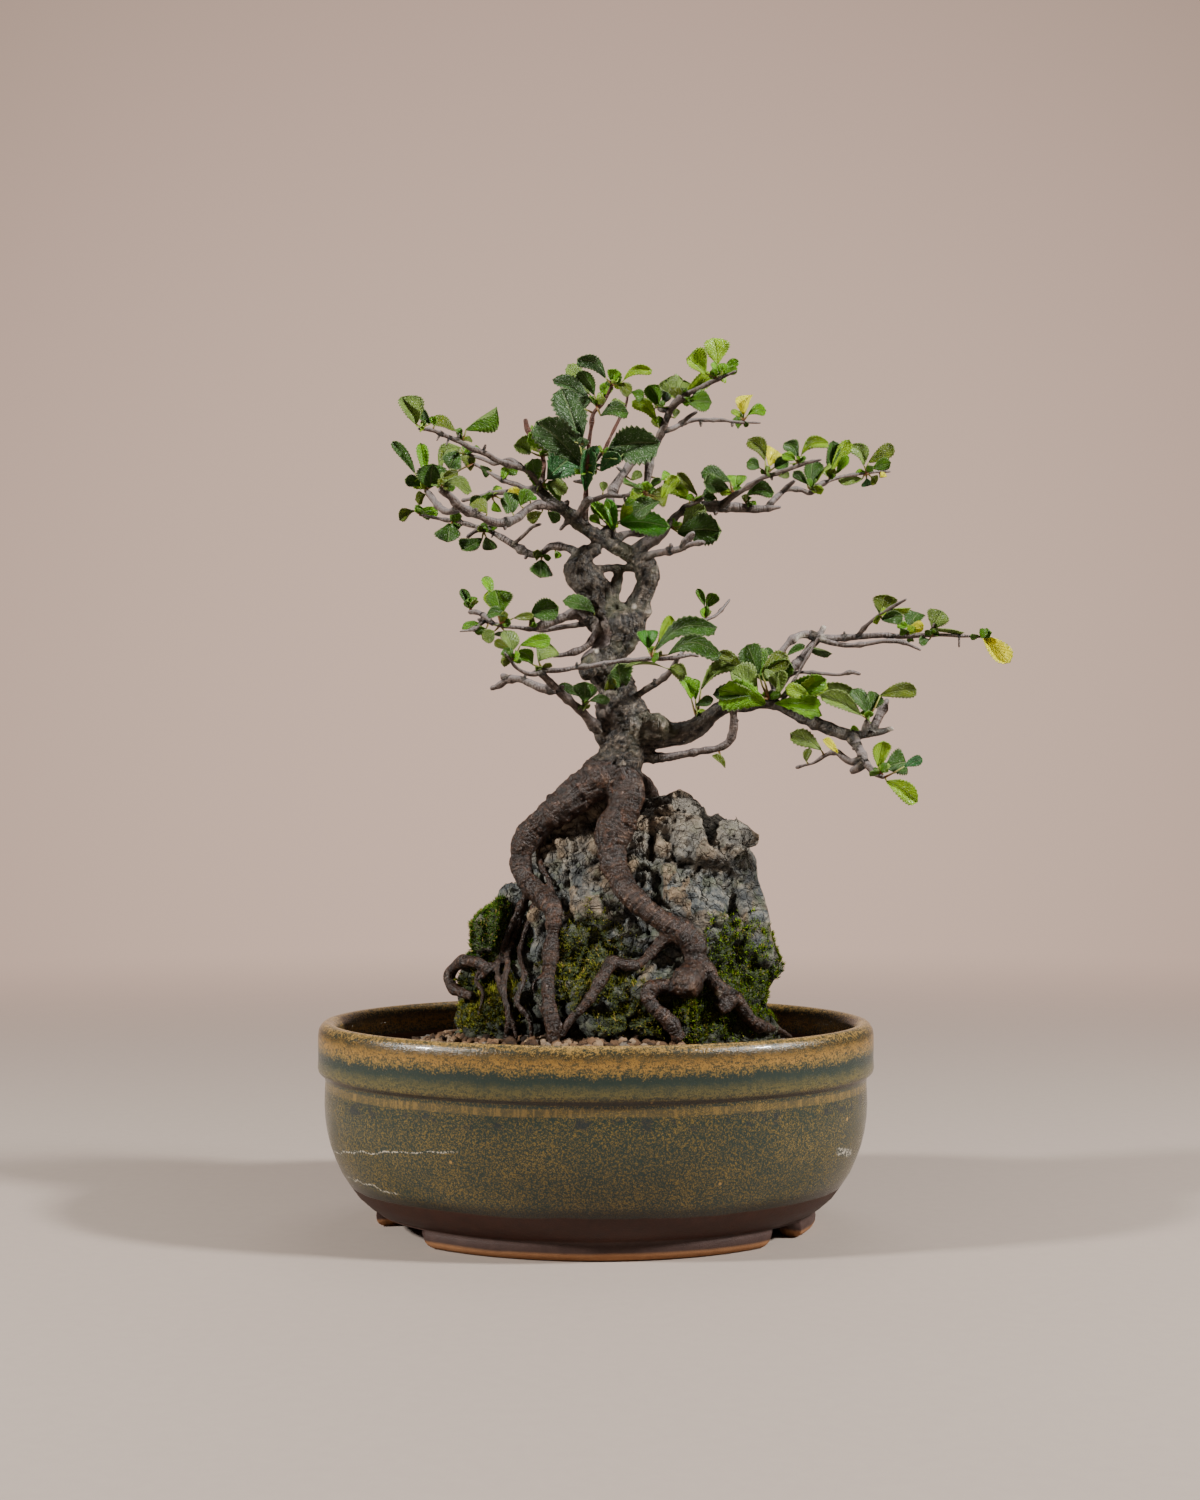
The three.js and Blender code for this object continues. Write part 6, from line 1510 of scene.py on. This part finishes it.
def add_blade(shape, layers, base, tip, width, turn, code, dice, rows=LENGTHWISE, columns=CROSSWISE):
    """One leaf blade, from its stalk to its tip; metres and degrees."""
    tone, form = code
    axis = tip - base
    length = axis.length
    axis.normalize()
    flat = axis.cross(Vector((0, 1, 0)))
    across = (Matrix.Rotation(math.radians(turn), 3, axis) @ flat).normalized()
    fold = FOLDS[form] * dice.uniform(0.7, 1.3)
    curl = dice.uniform(-0.3, 0.3) if form in "fv" else dice.uniform(0.0, 0.1)
    across = Matrix.Rotation(dice.gauss(0, 0.3), 3, axis) @ across
    sway = dice.uniform(-0.12, 0.12) * length
    lift = Vector((0, 0, 1)) - axis * axis.z
    if lift.length > 0.05:
        lift.normalize()
    half = width / 2 * WIDER
    if form == "e":
        half *= EDGE_ON_WIDER
        across = Matrix.Rotation(EDGE_ON, 3, axis) @ across
    back = across.cross(axis)
    wave = dice.uniform(0, math.tau)
    made = bmesh.ops.create_grid(shape, x_segments=rows, y_segments=columns, size=0.5)["verts"]
    for vert in made:
        t, s = vert.co.x + 0.5, vert.co.y * 2
        vert[layers["t"]], vert[layers["s"]] = t, s
        row = round(t * rows)
        # The halves fold up from the rib, the edge ripples, the tip curls and the whole blade arches
        reach = half_width(min(0.015 + t * 0.985, 0.999), form)
        tooth = TOOTH * (row % 2 - 0.3) * (t > 0.28) * (abs(s) > 0.99)
        side = s * (reach + tooth) * half
        forward = t * length - abs(s) ** 3 * 0.03 * length * t
        rise = fold * (abs(s) ** 1.5) * reach * half + 0.13 * half * math.sin(7 * t + wave) * s * s
        bend = curl * length * t * t
        arch = ARCHES[form] * length * math.sin(math.pi * min(t * 1.05, 1))
        side += sway * t * t
        vert.co = base + axis * forward + across * side - back * rise + back * bend + lift * arch
        for layer, value in zip(("r", "g", "b"), LEAF_TONES_AND_PAINTED_LIGHT[tone]):
            vert[layers[layer]] = value
        vert[layers["dust"]] = DUSTS.get(tone, DUST)


STALK_SIDES = 5
STALK_FOOT, STALK_END = (0.22, 0.06, 0.03), (0.3, 0.36, 0.08)


def add_stalk(shape, layers, foot, base, radius, dice):
    """The thin stalk between twig and blade, reddish where it leaves the twig."""
    middle = foot.lerp(base, 0.5) + Vector([dice.uniform(-0.4, 0.4) * MM for _ in range(3)])
    rings = []
    for t, place in ((0.0, foot), (0.5, middle), (1.0, base)):
        way = (base - foot).normalized()
        side = way.orthogonal().normalized()
        other = way.cross(side)
        thick = radius * (1.5 - 0.8 * t)
        ring = []
        for i in range(STALK_SIDES):
            a = math.tau * i / STALK_SIDES
            vert = shape.verts.new(place + (side * math.cos(a) + other * math.sin(a)) * thick)
            vert[layers["t"]], vert[layers["s"]] = -1.0 + t * 0.9, 0.0
            for layer, first, last in zip(("r", "g", "b"), STALK_FOOT, STALK_END):
                vert[layers[layer]] = first + (last - first) * t
            ring.append(vert)
        rings.append(ring)
    for low, high in zip(rings, rings[1:]):
        for i in range(STALK_SIDES):
            after = (i + 1) % STALK_SIDES
            shape.faces.new((low[i], low[after], high[after], high[i]))


def leaf_shape():
    """An empty shape with a layer for each number that the leaf material reads."""
    shape = bmesh.new()
    names = ("t", "s", "r", "g", "b", "dust")
    return shape, {name: shape.verts.layers.float.new(name) for name in names}


print(f"{len(LEAF_TONES_AND_PAINTED_LIGHT)} tones and {len(FOLDS)} forms")

# %% [markdown]
# The top of a leaf is a little glossy with a paler rib and veins, and its underside is paler and
# matt. Both read how far along and across the leaf a point lies, so the veins follow every curl.

# %% Materials of the two sides
def leaf_material(name, under):
    """A leaf's side: its tone, partly painted light and shade, with a paler rib, veins and edge, and dust
    on old leaves.
    """
    leaf = Paint(name, Specular_IOR_Level=0.2 if under else 0.32)
    place = leaf.place()
    t, s, dust = leaf.value("t"), leaf.value("s"), leaf.value("dust")
    tone = leaf.node("CombineColor", None, {0: leaf.value("r"), 1: leaf.value("g"), 2: leaf.value("b")})
    away = leaf.node("Math", {"operation": "ABSOLUTE"}, {0: s})
    blade = leaf.step(t, -0.02, 0.0)
    rib = (1 - leaf.step(away, 0.03, 0.1)) * blade
    slant = t * 7.0 - away * 3.2
    vein = leaf.node("Math", {"operation": "PINGPONG"}, {0: slant, 1: 0.5})
    vein = (1 - leaf.step(vein, 0.0, 0.13)) * blade
    net = leaf.cells(place, 1100.0, "DISTANCE_TO_EDGE")
    blotch = leaf.noise(place, 300.0, 3.0)
    pale = leaf.mix(0.5, tone, rgb(0.34, 0.4, 0.19))
    dark = leaf.mix(1.0, tone, rgb(0.3, 0.38, 0.3), "MULTIPLY")
    colour = leaf.mix(leaf.step(blotch, 0.36, 0.66) * 0.5, tone, dark)
    colour = leaf.mix(rib * 0.45 + vein * 0.16, colour, pale)
    colour = leaf.mix(leaf.step(away, 0.86, 1.0) * leaf.step(t, 0.25, 0.4) * 0.5, colour, pale)
    if under:
        colour = leaf.mix(0.4, colour, rgb(0.2, 0.25, 0.09))
    speck = leaf.step(leaf.noise(place, 1500.0, 2.0, 0.7), 0.6, 0.68)
    film = leaf.step(leaf.noise(place, 420.0, 3.0), 0.4, 0.7)
    colour = leaf.mix(dust * (speck * 0.75 + film * 0.05) * blade, colour, rgb(0.5, 0.56, 0.46))
    shine = leaf.step(blotch, 0.2, 0.8) * 0.15 + (0.5 if under else 0.28) + dust * 0.1
    height = leaf.step(net, 0.0, 0.2) * 0.25 - rib * 0.9 - vein * 0.6
    return leaf.finish(Base_Color=colour, Roughness=shine,
                       Normal=leaf.bump(height, 0.0007, 0.9 if not under else 0.6))


LEAF_TOP = leaf_material("leaf_top", False)
LEAF_UNDER = leaf_material("leaf_underside", True)


LEAF_THICKNESS = 0.22 * MM


def finished_leaves(name, shape, replaces=()):
    """The blades of one spray with a thickness and an underside."""
    made = piece(name, mesh_from(name, shape), [LEAF_TOP, LEAF_UNDER], replaces)
    skin = made.modifiers.new("underside", "SOLIDIFY")
    skin.thickness = LEAF_THICKNESS
    skin.offset = -1.0
    skin.material_offset = 1


print("leaf materials ready")

# %% Sprays of leaves
# Each spray: limb, place of its bud, and its leaves: letters, base, tip, depth of the tip, width, turn
SPRAYS = [
    ("top_up", 50.5, 352.4, "lf 51 359 50 370 -3 9.5 20, bf 50.5 355 49.6 360.5 2 3 10, "
        "bf 52 354.5 53.4 359 -3 3.6 0, bf 53.4 355.2 58.4 360.2 3 3.2 10, bf 54 354.6 59.6 356.6 -4 3 20, "
        "lv 46.4 354.6 37 360 -3 9 15"),
    ("top_up", 34, 343.4, "lf 37 345.8 49.6 353.2 -4 5.6 10, mf 38 342.8 48.4 343.6 -6 7.4 0, "
        "pf 32.6 346 28.6 352 3 7 15, pf 34 346.4 36.6 352 6 7.5 10"),
    ("top_up_spur", 26.2, 340, "mv 25.6 341.6 22.4 350 -2 6.4 20, df 28 342 31 348.8 3 4.6 10"),
    ("top_up", 26.6, 330.6, "la 25.6 333.6 14.4 342 -6 5 10"),
    ("top_right", 61.5, 334.4, "lf 60.6 336.6 57.2 339.6 -2 2.4 0, yv 62 337.4 63 346.6 2 6 10, "
        "ba 64 337.6 71.4 338.6 -4 4.4 10"),
    ("high_sub_front", 71, 311.4, "oa 71 318 63 326.4 -3 5.4 15, df 68.8 315 62.8 318 -5 4.4 0, "
        "ya 72.8 316 77 322 4 7 0, dv 75 315.4 80.6 317.6 -3 5 15"),
    ("high_sub_front", 84.6, 316, "da 84.6 319.6 79 325.6 -4 5 10, la 86.4 321 97 327 -2 4.6 10, "
        "bf 83.4 318.6 79.6 320.8 -6 3.2 0"),
    ("high_sub_back", 89.6, 305.2, "df 90 308 91.6 318.4 -3 8 10, le 91.6 308.8 98 316.6 2 3.6 20, "
        "df 88.4 308.6 82.4 314 -6 3.6 10"),
    ("high_sub_back", 97.6, 309.8, "df 98 313.6 97.8 326.6 -3 6 10, lf 99 313.6 103.4 327 2 6 10, "
        "bf 100.4 312.6 107.4 318.8 -5 4.4 0"),
    ("high_sub_back", 113, 313, "pa 112.4 316 107.4 325.4 -4 6 20, of 114.4 317.4 125 322.6 2 5.4 10, "
        "mf 115.6 314.8 124 317 -4 4.6 10, pf 111.6 310.4 102 308.6 -3 3.8 10, "
        "tf 113.4 310.6 113.6 307 3 4 0, oa 115.2 311.4 117.6 308.6 -2 3.6 0"),
    ("high_sub_front", 57.5, 303.4, "df 56.4 309.6 44 313.4 -2 6.2 0, df 55.4 306.6 43.8 308 -6 6.6 10, "
        "bf 58.6 306 58.4 313 4 7 15"),
    ("high_dark_twig", 42, 300.6, "of 42.4 303.6 33.4 312 -4 3.4 0, la 38.6 302.4 31.4 307.4 4 7 10"),
    ("high_right", 29.6, 290.4, "df 34.6 287.8 51.6 290.4 -12 11 10, pf 36.6 290.6 44.6 300 -5 7 20"),
    ("high_right", 62.4, 298.6, "da 63.4 303.4 74.4 305.4 -5 6 10"),
    ("young_shoot", -4, 312.6, "sf -6.4 316 -23 336 -4 12 0, tf -3.6 315 0.2 325 -5 3.8 10, "
        "tf -6.4 313.4 -12 314.4 2 3 0, tf -5.4 316.4 -8 324 6 4 10, tf -2.6 313.6 1.6 318 2 2.4 0, "
        "sf -6.6 325 -15 347.6 3 11.5 10"),
    ("right_stem", -23.6, 306.6, "tf -20.6 310.4 -8 321.6 -8 12 10, df -25 310 -28 319 -10 6 0, "
        "pf -20 307 -13 307.6 -7 5.6 0"),
    ("hub_stem", -22.4, 319.4, "pv -27 321.6 -33.4 325.4 -7 7.4 10, of -23.6 321.6 -29.4 326.4 6 3.6 10, "
        "be -19 320.6 -27 333.4 -16 5 20"),
    ("young_shoot", 0.4, 340.6, "da 2 337 13.6 338.4 -4 5.4 10, sv -3 345 -18 352.6 -4 5.4 10, "
        "pf -2.6 346 -12.6 357 4 5.6 10, df -0.8 346 -4.6 356.4 -1 5.2 0, bf 3 344.6 4.8 351 -5 4.6 0"),
    ("young_shoot", 6.6, 350, "sa 4 353 -8 360.6 -3 5.2 0, bf 6.8 351.6 8.2 357 -4 4.8 0, "
        "of 9 350.4 16 346.4 -4 4.4 10, la 11.4 351.6 24 356.4 3 3.6 10"),
    ("thin_top", 2.4, 321.4, "sv 5 322.6 26 326.6 -10 13 10, pf 4 320.6 8.4 318 -8 6.6 0"),
    ("leader", 6, 288.6, "mf 3 293 -1.6 300.6 -6 4 10, mf 2 291 -3.6 296.6 -9 3 0, "
        "mf 4.6 293.6 3.4 301.6 -4 3 10, gv 10.4 292 28.6 291 -12 8.4 10, la 10.4 293 19.6 299 -7 6 10"),
    ("inner_twig", 19.6, 304.4, "df 19.6 306 11.4 306.6 -4 6 0, of 23 303.6 31 303.4 3 7.4 10, "
        "df 22.6 306.4 26.4 311.4 -2 2.6 0"),
    ("fan_top", -73.8, 331.8, "pv -75.6 333.6 -80.4 345.6 -3 8 15, df -69.6 333.6 -74.6 339 4 3.6 0"),
    ("fan_top", -56, 327, "of -58.6 330.6 -69 336.2 -4 5.2 10, mv -54.4 331.4 -40.4 338.6 2 9 10"),
    ("fan_mid", -53, 320.8, "pa -56.4 323.6 -67 317.6 4 5.2 10, df -58 321.6 -62 314.8 -5 7.4 0"),
    ("outer_left_fork", -70.8, 305.2, "dv -69.4 306.6 -69.6 317 -3 10.4 0, "
        "df -73.4 307.6 -79.6 311 -5 4.6 0, bf -71.2 312 -75.4 323.8 3 4.2 10, "
        "df -76 313 -83 325 6 3.6 10, of -71.6 303.8 -75.6 302 -4 4.4 0"),
    ("outer_left", -65, 305.8, "of -64.6 310.4 -58.4 314 -3 3.2 0, pa -63.4 308.4 -52.6 305.4 -6 4.4 10, "
        "pf -64.6 308 -61.6 312 3 4 10"),
    ("under_left", -73.6, 295.2, "oa -76 297 -82 292.6 -4 3.8 0, bf -73.4 297.6 -66.6 296 3 3.6 0"),
    ("under_left", -60, 292.6, "df -61 291.6 -62 283.6 -3 9 0"),
    ("under_left", -46.6, 289.4, "df -47.8 285 -55.6 279.4 -4 7 0, df -46 286 -44.4 280 3 5.2 10"),
    ("under_left", -22.6, 279.4, "df -22.8 276.2 -23.4 268 -4 8.2 0"),
    ("fan_bottom", -43.6, 304, "df -45 301.6 -53.4 299.6 -3 5.2 0, bf -42.6 301 -41.6 296 3 4 0, "
        "df -39.6 302 -34.4 297.6 -4 6.6 10"),
    ("mid_left_up", -52.6, 254.8, "dv -53.4 257.4 -56 264.4 -2 3.2 0, mf -51.8 257.4 -50.4 261 3 2.6 0"),
    ("mid_left", -39.4, 249, "mf -40 254 -41.2 264 -3 9.4 0, lf -42 255 -45.8 263 3 4.8 10, "
        "bf -43.6 262 -45.4 268.4 6 3.8 0, da -37 252.4 -45.6 252.8 -6 3.8 0, "
        "of -34.6 252 -25.4 252.6 -5 2.8 0, pf -42.4 246.6 -47 243 -3 5 0, "
        "df -38.4 246.6 -40 243.6 3 4.6 0"),
    ("mid_left", -27.6, 248, "dv -27 253.6 -16 257 -3 8 10"),
    ("crossing_left", -34.4, 233.4, "pf -35 238 -36 247 -3 7.4 10, of -36 238.6 -42.4 242.6 2 3 0, "
        "bf -31.6 240.6 -18.4 243.8 3 5.2 10"),
    ("crossing", -21.6, 230.4, "ma -26.6 232.6 -33 238.6 -4 5.6 10, pa -24 234 -17 239.6 3 8 10"),
    ("low_left", -5.6, 213, "df -4.6 217 -4 225.4 -3 8.4 0, df -6 219 -15 224.6 2 3.4 0, "
        "df -2.4 217.4 5.4 219 -5 3.6 0"),
    ("crossing", 22.6, 235.2, "gv 22 239.4 21 246.8 3 7 0, lf 26 242 31.6 252 5 4.2 10, "
        "da 25 238.6 51 247 -6 6.6 15, da 30 236.6 52.4 238.6 -10 7 10"),
    ("long_right", 40.4, 209.6, "bv 40 218 37.4 228.4 -3 5.2 10, ba 41.6 218 42 226.6 3 4 0, "
        "pa 44 222.4 60 231.6 5 5.2 10, df 42 215.6 48.4 217.6 -5 3.6 0"),
    ("long_right", 71.4, 217, "pv 68 220.6 55 228.6 -5 10 10, df 67.4 219.6 50.2 222.4 -9 6.4 0, "
        "df 68 228.6 62.6 240 3 8.6 0, of 69.6 229 80.6 235.6 -3 7.4 10, pf 77 221 72.6 230 -7 3.2 0, "
        "bv 78 220 96.6 226.6 -4 7 10, bf 77 216.2 95.4 214.6 -10 5.6 10, pf 88 221.4 107 224.4 2 4.6 10"),
    ("slant_tip", 45.8, 251.6, "mf 45.6 257 43 264 2 2.6 0, mf 46.4 256.6 50.2 262.4 -2 4.6 0"),
    ("long_spur", 113.4, 209, "df 113.6 212 108.4 222.8 -3 6 10, df 114.4 213 117.6 220.6 2 6.4 0, "
        "pv 110.6 211.6 95 220.4 -6 6 15, of 119 219.6 133.4 223.6 3 5.6 0"),
    ("drop", 118.6, 186.4, "lf 118 190 119.6 200.6 -3 6.4 10, df 121 189.6 130.6 192 2 9 0, "
        "lv 121.6 183.6 135 176.6 -4 6.4 10"),
    ("far_right_up", 118.4, 253, "of 119.4 254.6 121 262 -2 8.6 0, dv 119.6 251.6 129 253.6 -4 5 10"),
    ("far_right", 130.6, 244.8, "df 131 248 134.6 254.4 3 7.6 0, yf 130.6 246.8 137.6 248.4 -4 4 10"),
    ("far_right", 141.4, 245, "pf 141 247.8 145 255 -2 8 0, df 139.6 243 134.6 241.8 -3 3.4 10"),
    ("far_right", 160, 244.4, "yv 162 244.4 171.8 232 -3 6.8 10"),
]


def foot_of_spray(limb, x, z, leaves):
    """The bud a spray grows from: on the twig's surface, towards its leaves."""
    on_line = nearest_on(limb, x, z)
    mean_x = sum(leaf[1] for leaf in leaves) / len(leaves)
    mean_z = sum(leaf[2] for leaf in leaves) / len(leaves)
    towards = seen(mean_x, mean_z, on_line.y / MM - 2) - on_line.to_3d()
    if towards.length < 1e-6:
        towards = Vector((0, 0, 1))
    return on_line.to_3d() + towards.normalized() * (on_line.w * 0.7 + 0.3 * MM), on_line.y / MM


SPRAY_STALK, LITTLE_STALK = 0.42 * MM, 0.36 * MM
FOOT_CODES = ["bf", "mf", "mv", "lv", "of"]
for number, (limb, x, z, leaves_text) in enumerate(SPRAYS, 1):
    leaves = list(rows_of(leaves_text))
    dice = random.Random(number)
    shape, layers = leaf_shape()
    foot, depth = foot_of_spray(limb, x, z, leaves)
    for code, bx, bz, tx, tz, back, width, turn in leaves:
        base, tip = seen(bx, bz, depth + back * 0.2), seen(tx, tz, depth + back)
        add_blade(shape, layers, base, tip, width * MM, turn, code, dice)
        add_stalk(shape, layers, foot, base, SPRAY_STALK, dice)
    # A few tiny leaves round the bud
    for _ in range(dice.randrange(3, 6)):
        way = Vector([dice.uniform(-1, 1), dice.uniform(-1, 0.6), dice.uniform(-0.3, 1)]).normalized()
        length = dice.uniform(2.6, 6.0) * MM
        add_blade(shape, layers, foot, foot + way * length, length * dice.uniform(0.45, 0.7),
                  dice.uniform(-50, 50), dice.choice(FOOT_CODES), dice, 9, 2)
    finished_leaves(f"leaves_{number:02d}", shape, [f"leaf_spray_{number:02d}"])

# %% Small leaves beside the sprays, written in the same way
LITTLE = (
    "df 50.6 302.4 44.4 303 0 4.6 10, mf -48.6 249.4 -56 248 2 4.6 20, mv -46 247.6 -51 246 0 3.2 -20, "
    "mf 15 347 20.4 345 -2 4.2 10, pf 12.4 342 6 342.4 0 3 30, of -22.6 296.4 -29 293.6 3 4.4 0, "
    "df -20 296.6 -15.6 292.6 0 4 20, df -43.6 314 -48.4 313.4 2 5 0, mf -39.6 312.6 -33.4 315.6 -2 5 10, "
    "bf -39 310.5 -37.4 315 -3 3.4 0, df 11 222.6 8.6 231.5 -14 9 8, of 5 218.6 6.2 225.4 -12 4 30, "
    "dv -0.5 254.4 -12.5 260.5 -6 6 25, pe 30 231 12 233 -10 3 10, pf 31 231 38 229 -4 6 20, "
    "of 62 231 52 238.5 2 4 0, de 88 240 99 237 2 4 10, dv 80 236.5 88 240.2 0 2.6 0, "
    "pf 94 197 82 205 -4 6 20, yv 101 195.6 94 200.6 -2 3.4 30, of 88 192 88.5 197.5 0 3 0, "
    "bf 110 205 106.5 205.4 0 2.8 0, le 120 254.5 132 256 0 2.4 10, bf 130.5 248 126.5 250.2 0 3.2 0, "
    "pe 140 247.5 154 245.5 0 2.2 10, tf 129 190 136.5 192 0 4 0, bf 119 187.6 121.6 189.6 0 3 0, "
    "lf 90 219 79 222 -5 5 15, df 69 236.4 74 239 0 3 0, yv -30 303.5 -37 304.5 0 3.5 0, "
    "gf -27.6 301.6 -25.2 303.4 0 2.6 0, bf -17 277 -15 279.6 0 2.6 0, pf 77 311.4 81 313 0 3 0, "
    "yf 119 311 121.4 313 0 2.6 0, bf 27.6 310 31 313 0 3.6 0, de -53 320 -55 324 0 2.4 0, "
    "sf -5 340 -4 345 0 4 0, sf -9 326 -9.4 331 0 4 10, sf -5.4 323 -5 328 -2 3.6 0, "
    "pf 3 305 3.4 309.4 -2 3 0, pf 15 310 18.6 313.6 -2 3.4 0, pf 33 336 34 340 0 2.6 0, "
    "bf -67.6 333 -68.6 337 0 2.6 0, df 11 297 17 303 -2 5 10, ov 54 189.4 48.6 194.6 -2 3 30, "
    "bf -14.2 321.4 -27.6 331.4 -8 7.5 -25, tv -4.6 305.5 -1.6 323.5 -6 5.5 20, "
    "tf 2.1 313.9 8.4 322.2 -5 6 10, bv 6.7 288.8 -1.6 301.3 -3 4 20, gv 7.6 288.8 4.2 302.2 -4 4 0, "
    "mf 12.2 299.2 24.7 306.8 2 8 10, df 26.8 301.3 15.1 296.3 2 7 0, of -45.5 296.3 -51.8 301.3 0 6.5 0, "
    "df -35.1 296.3 -36.8 304.7 2 7 15, mf -31.7 299.2 -28.4 306.3 0 5 0, "
    "mf -25.5 307.6 -27.6 318 -3 6 10, lf 27.6 302.6 33.5 311.8 0 4.6 20, bf 39.3 301.3 30.1 309.7 0 5 0, "
    "of -58.9 313 -62.3 323.1 2 8 20, ov -52.6 313.9 -53.5 321.4 3 5 0, mv -15 301.3 -20 309.7 -2 5 0, "
    "mv 69.4 226.1 62.3 238.6 0 10 20, mv 69.4 226.1 79.9 235.7 -3 8 0, "
    "bf 70.7 216.4 51.7 223.1 -7 12 -25, lf 82 219 96.2 226.9 -4 8 10, bf 74.9 216.4 94.5 214.8 -6 6 15, "
    "pv 76.1 218.5 74 230.2 -5 5 10"
)
WOODY = [name for name in lines if not name.startswith(("root_", "strand_", "spur_"))]
shape, layers = leaf_shape()
dice = random.Random(77)
for code, bx, bz, tx, tz, back, width, turn in rows_of(LITTLE):
    foot = min((nearest_on(name, bx, bz) for name in WOODY),
               key=lambda p: math.hypot(appears(p)[0] - bx, appears(p)[1] - bz))
    base, tip = seen(bx, bz, foot.y / MM + back * 0.3 - 1), seen(tx, tz, foot.y / MM + back - 1)
    add_blade(shape, layers, base, tip, width * MM, turn, code, dice, 16, 4)
    add_stalk(shape, layers, foot.to_3d(), base, LITTLE_STALK, dice)
finished_leaves("little_leaves", shape)
print(f"{len(SPRAYS)} sprays and {len(list(rows_of(LITTLE)))} little leaves")

# %% The box of what was made
new_low, new_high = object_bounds()
print("the visual box is", [round(v, 4) for corner in (new_low, new_high) for v in corner])
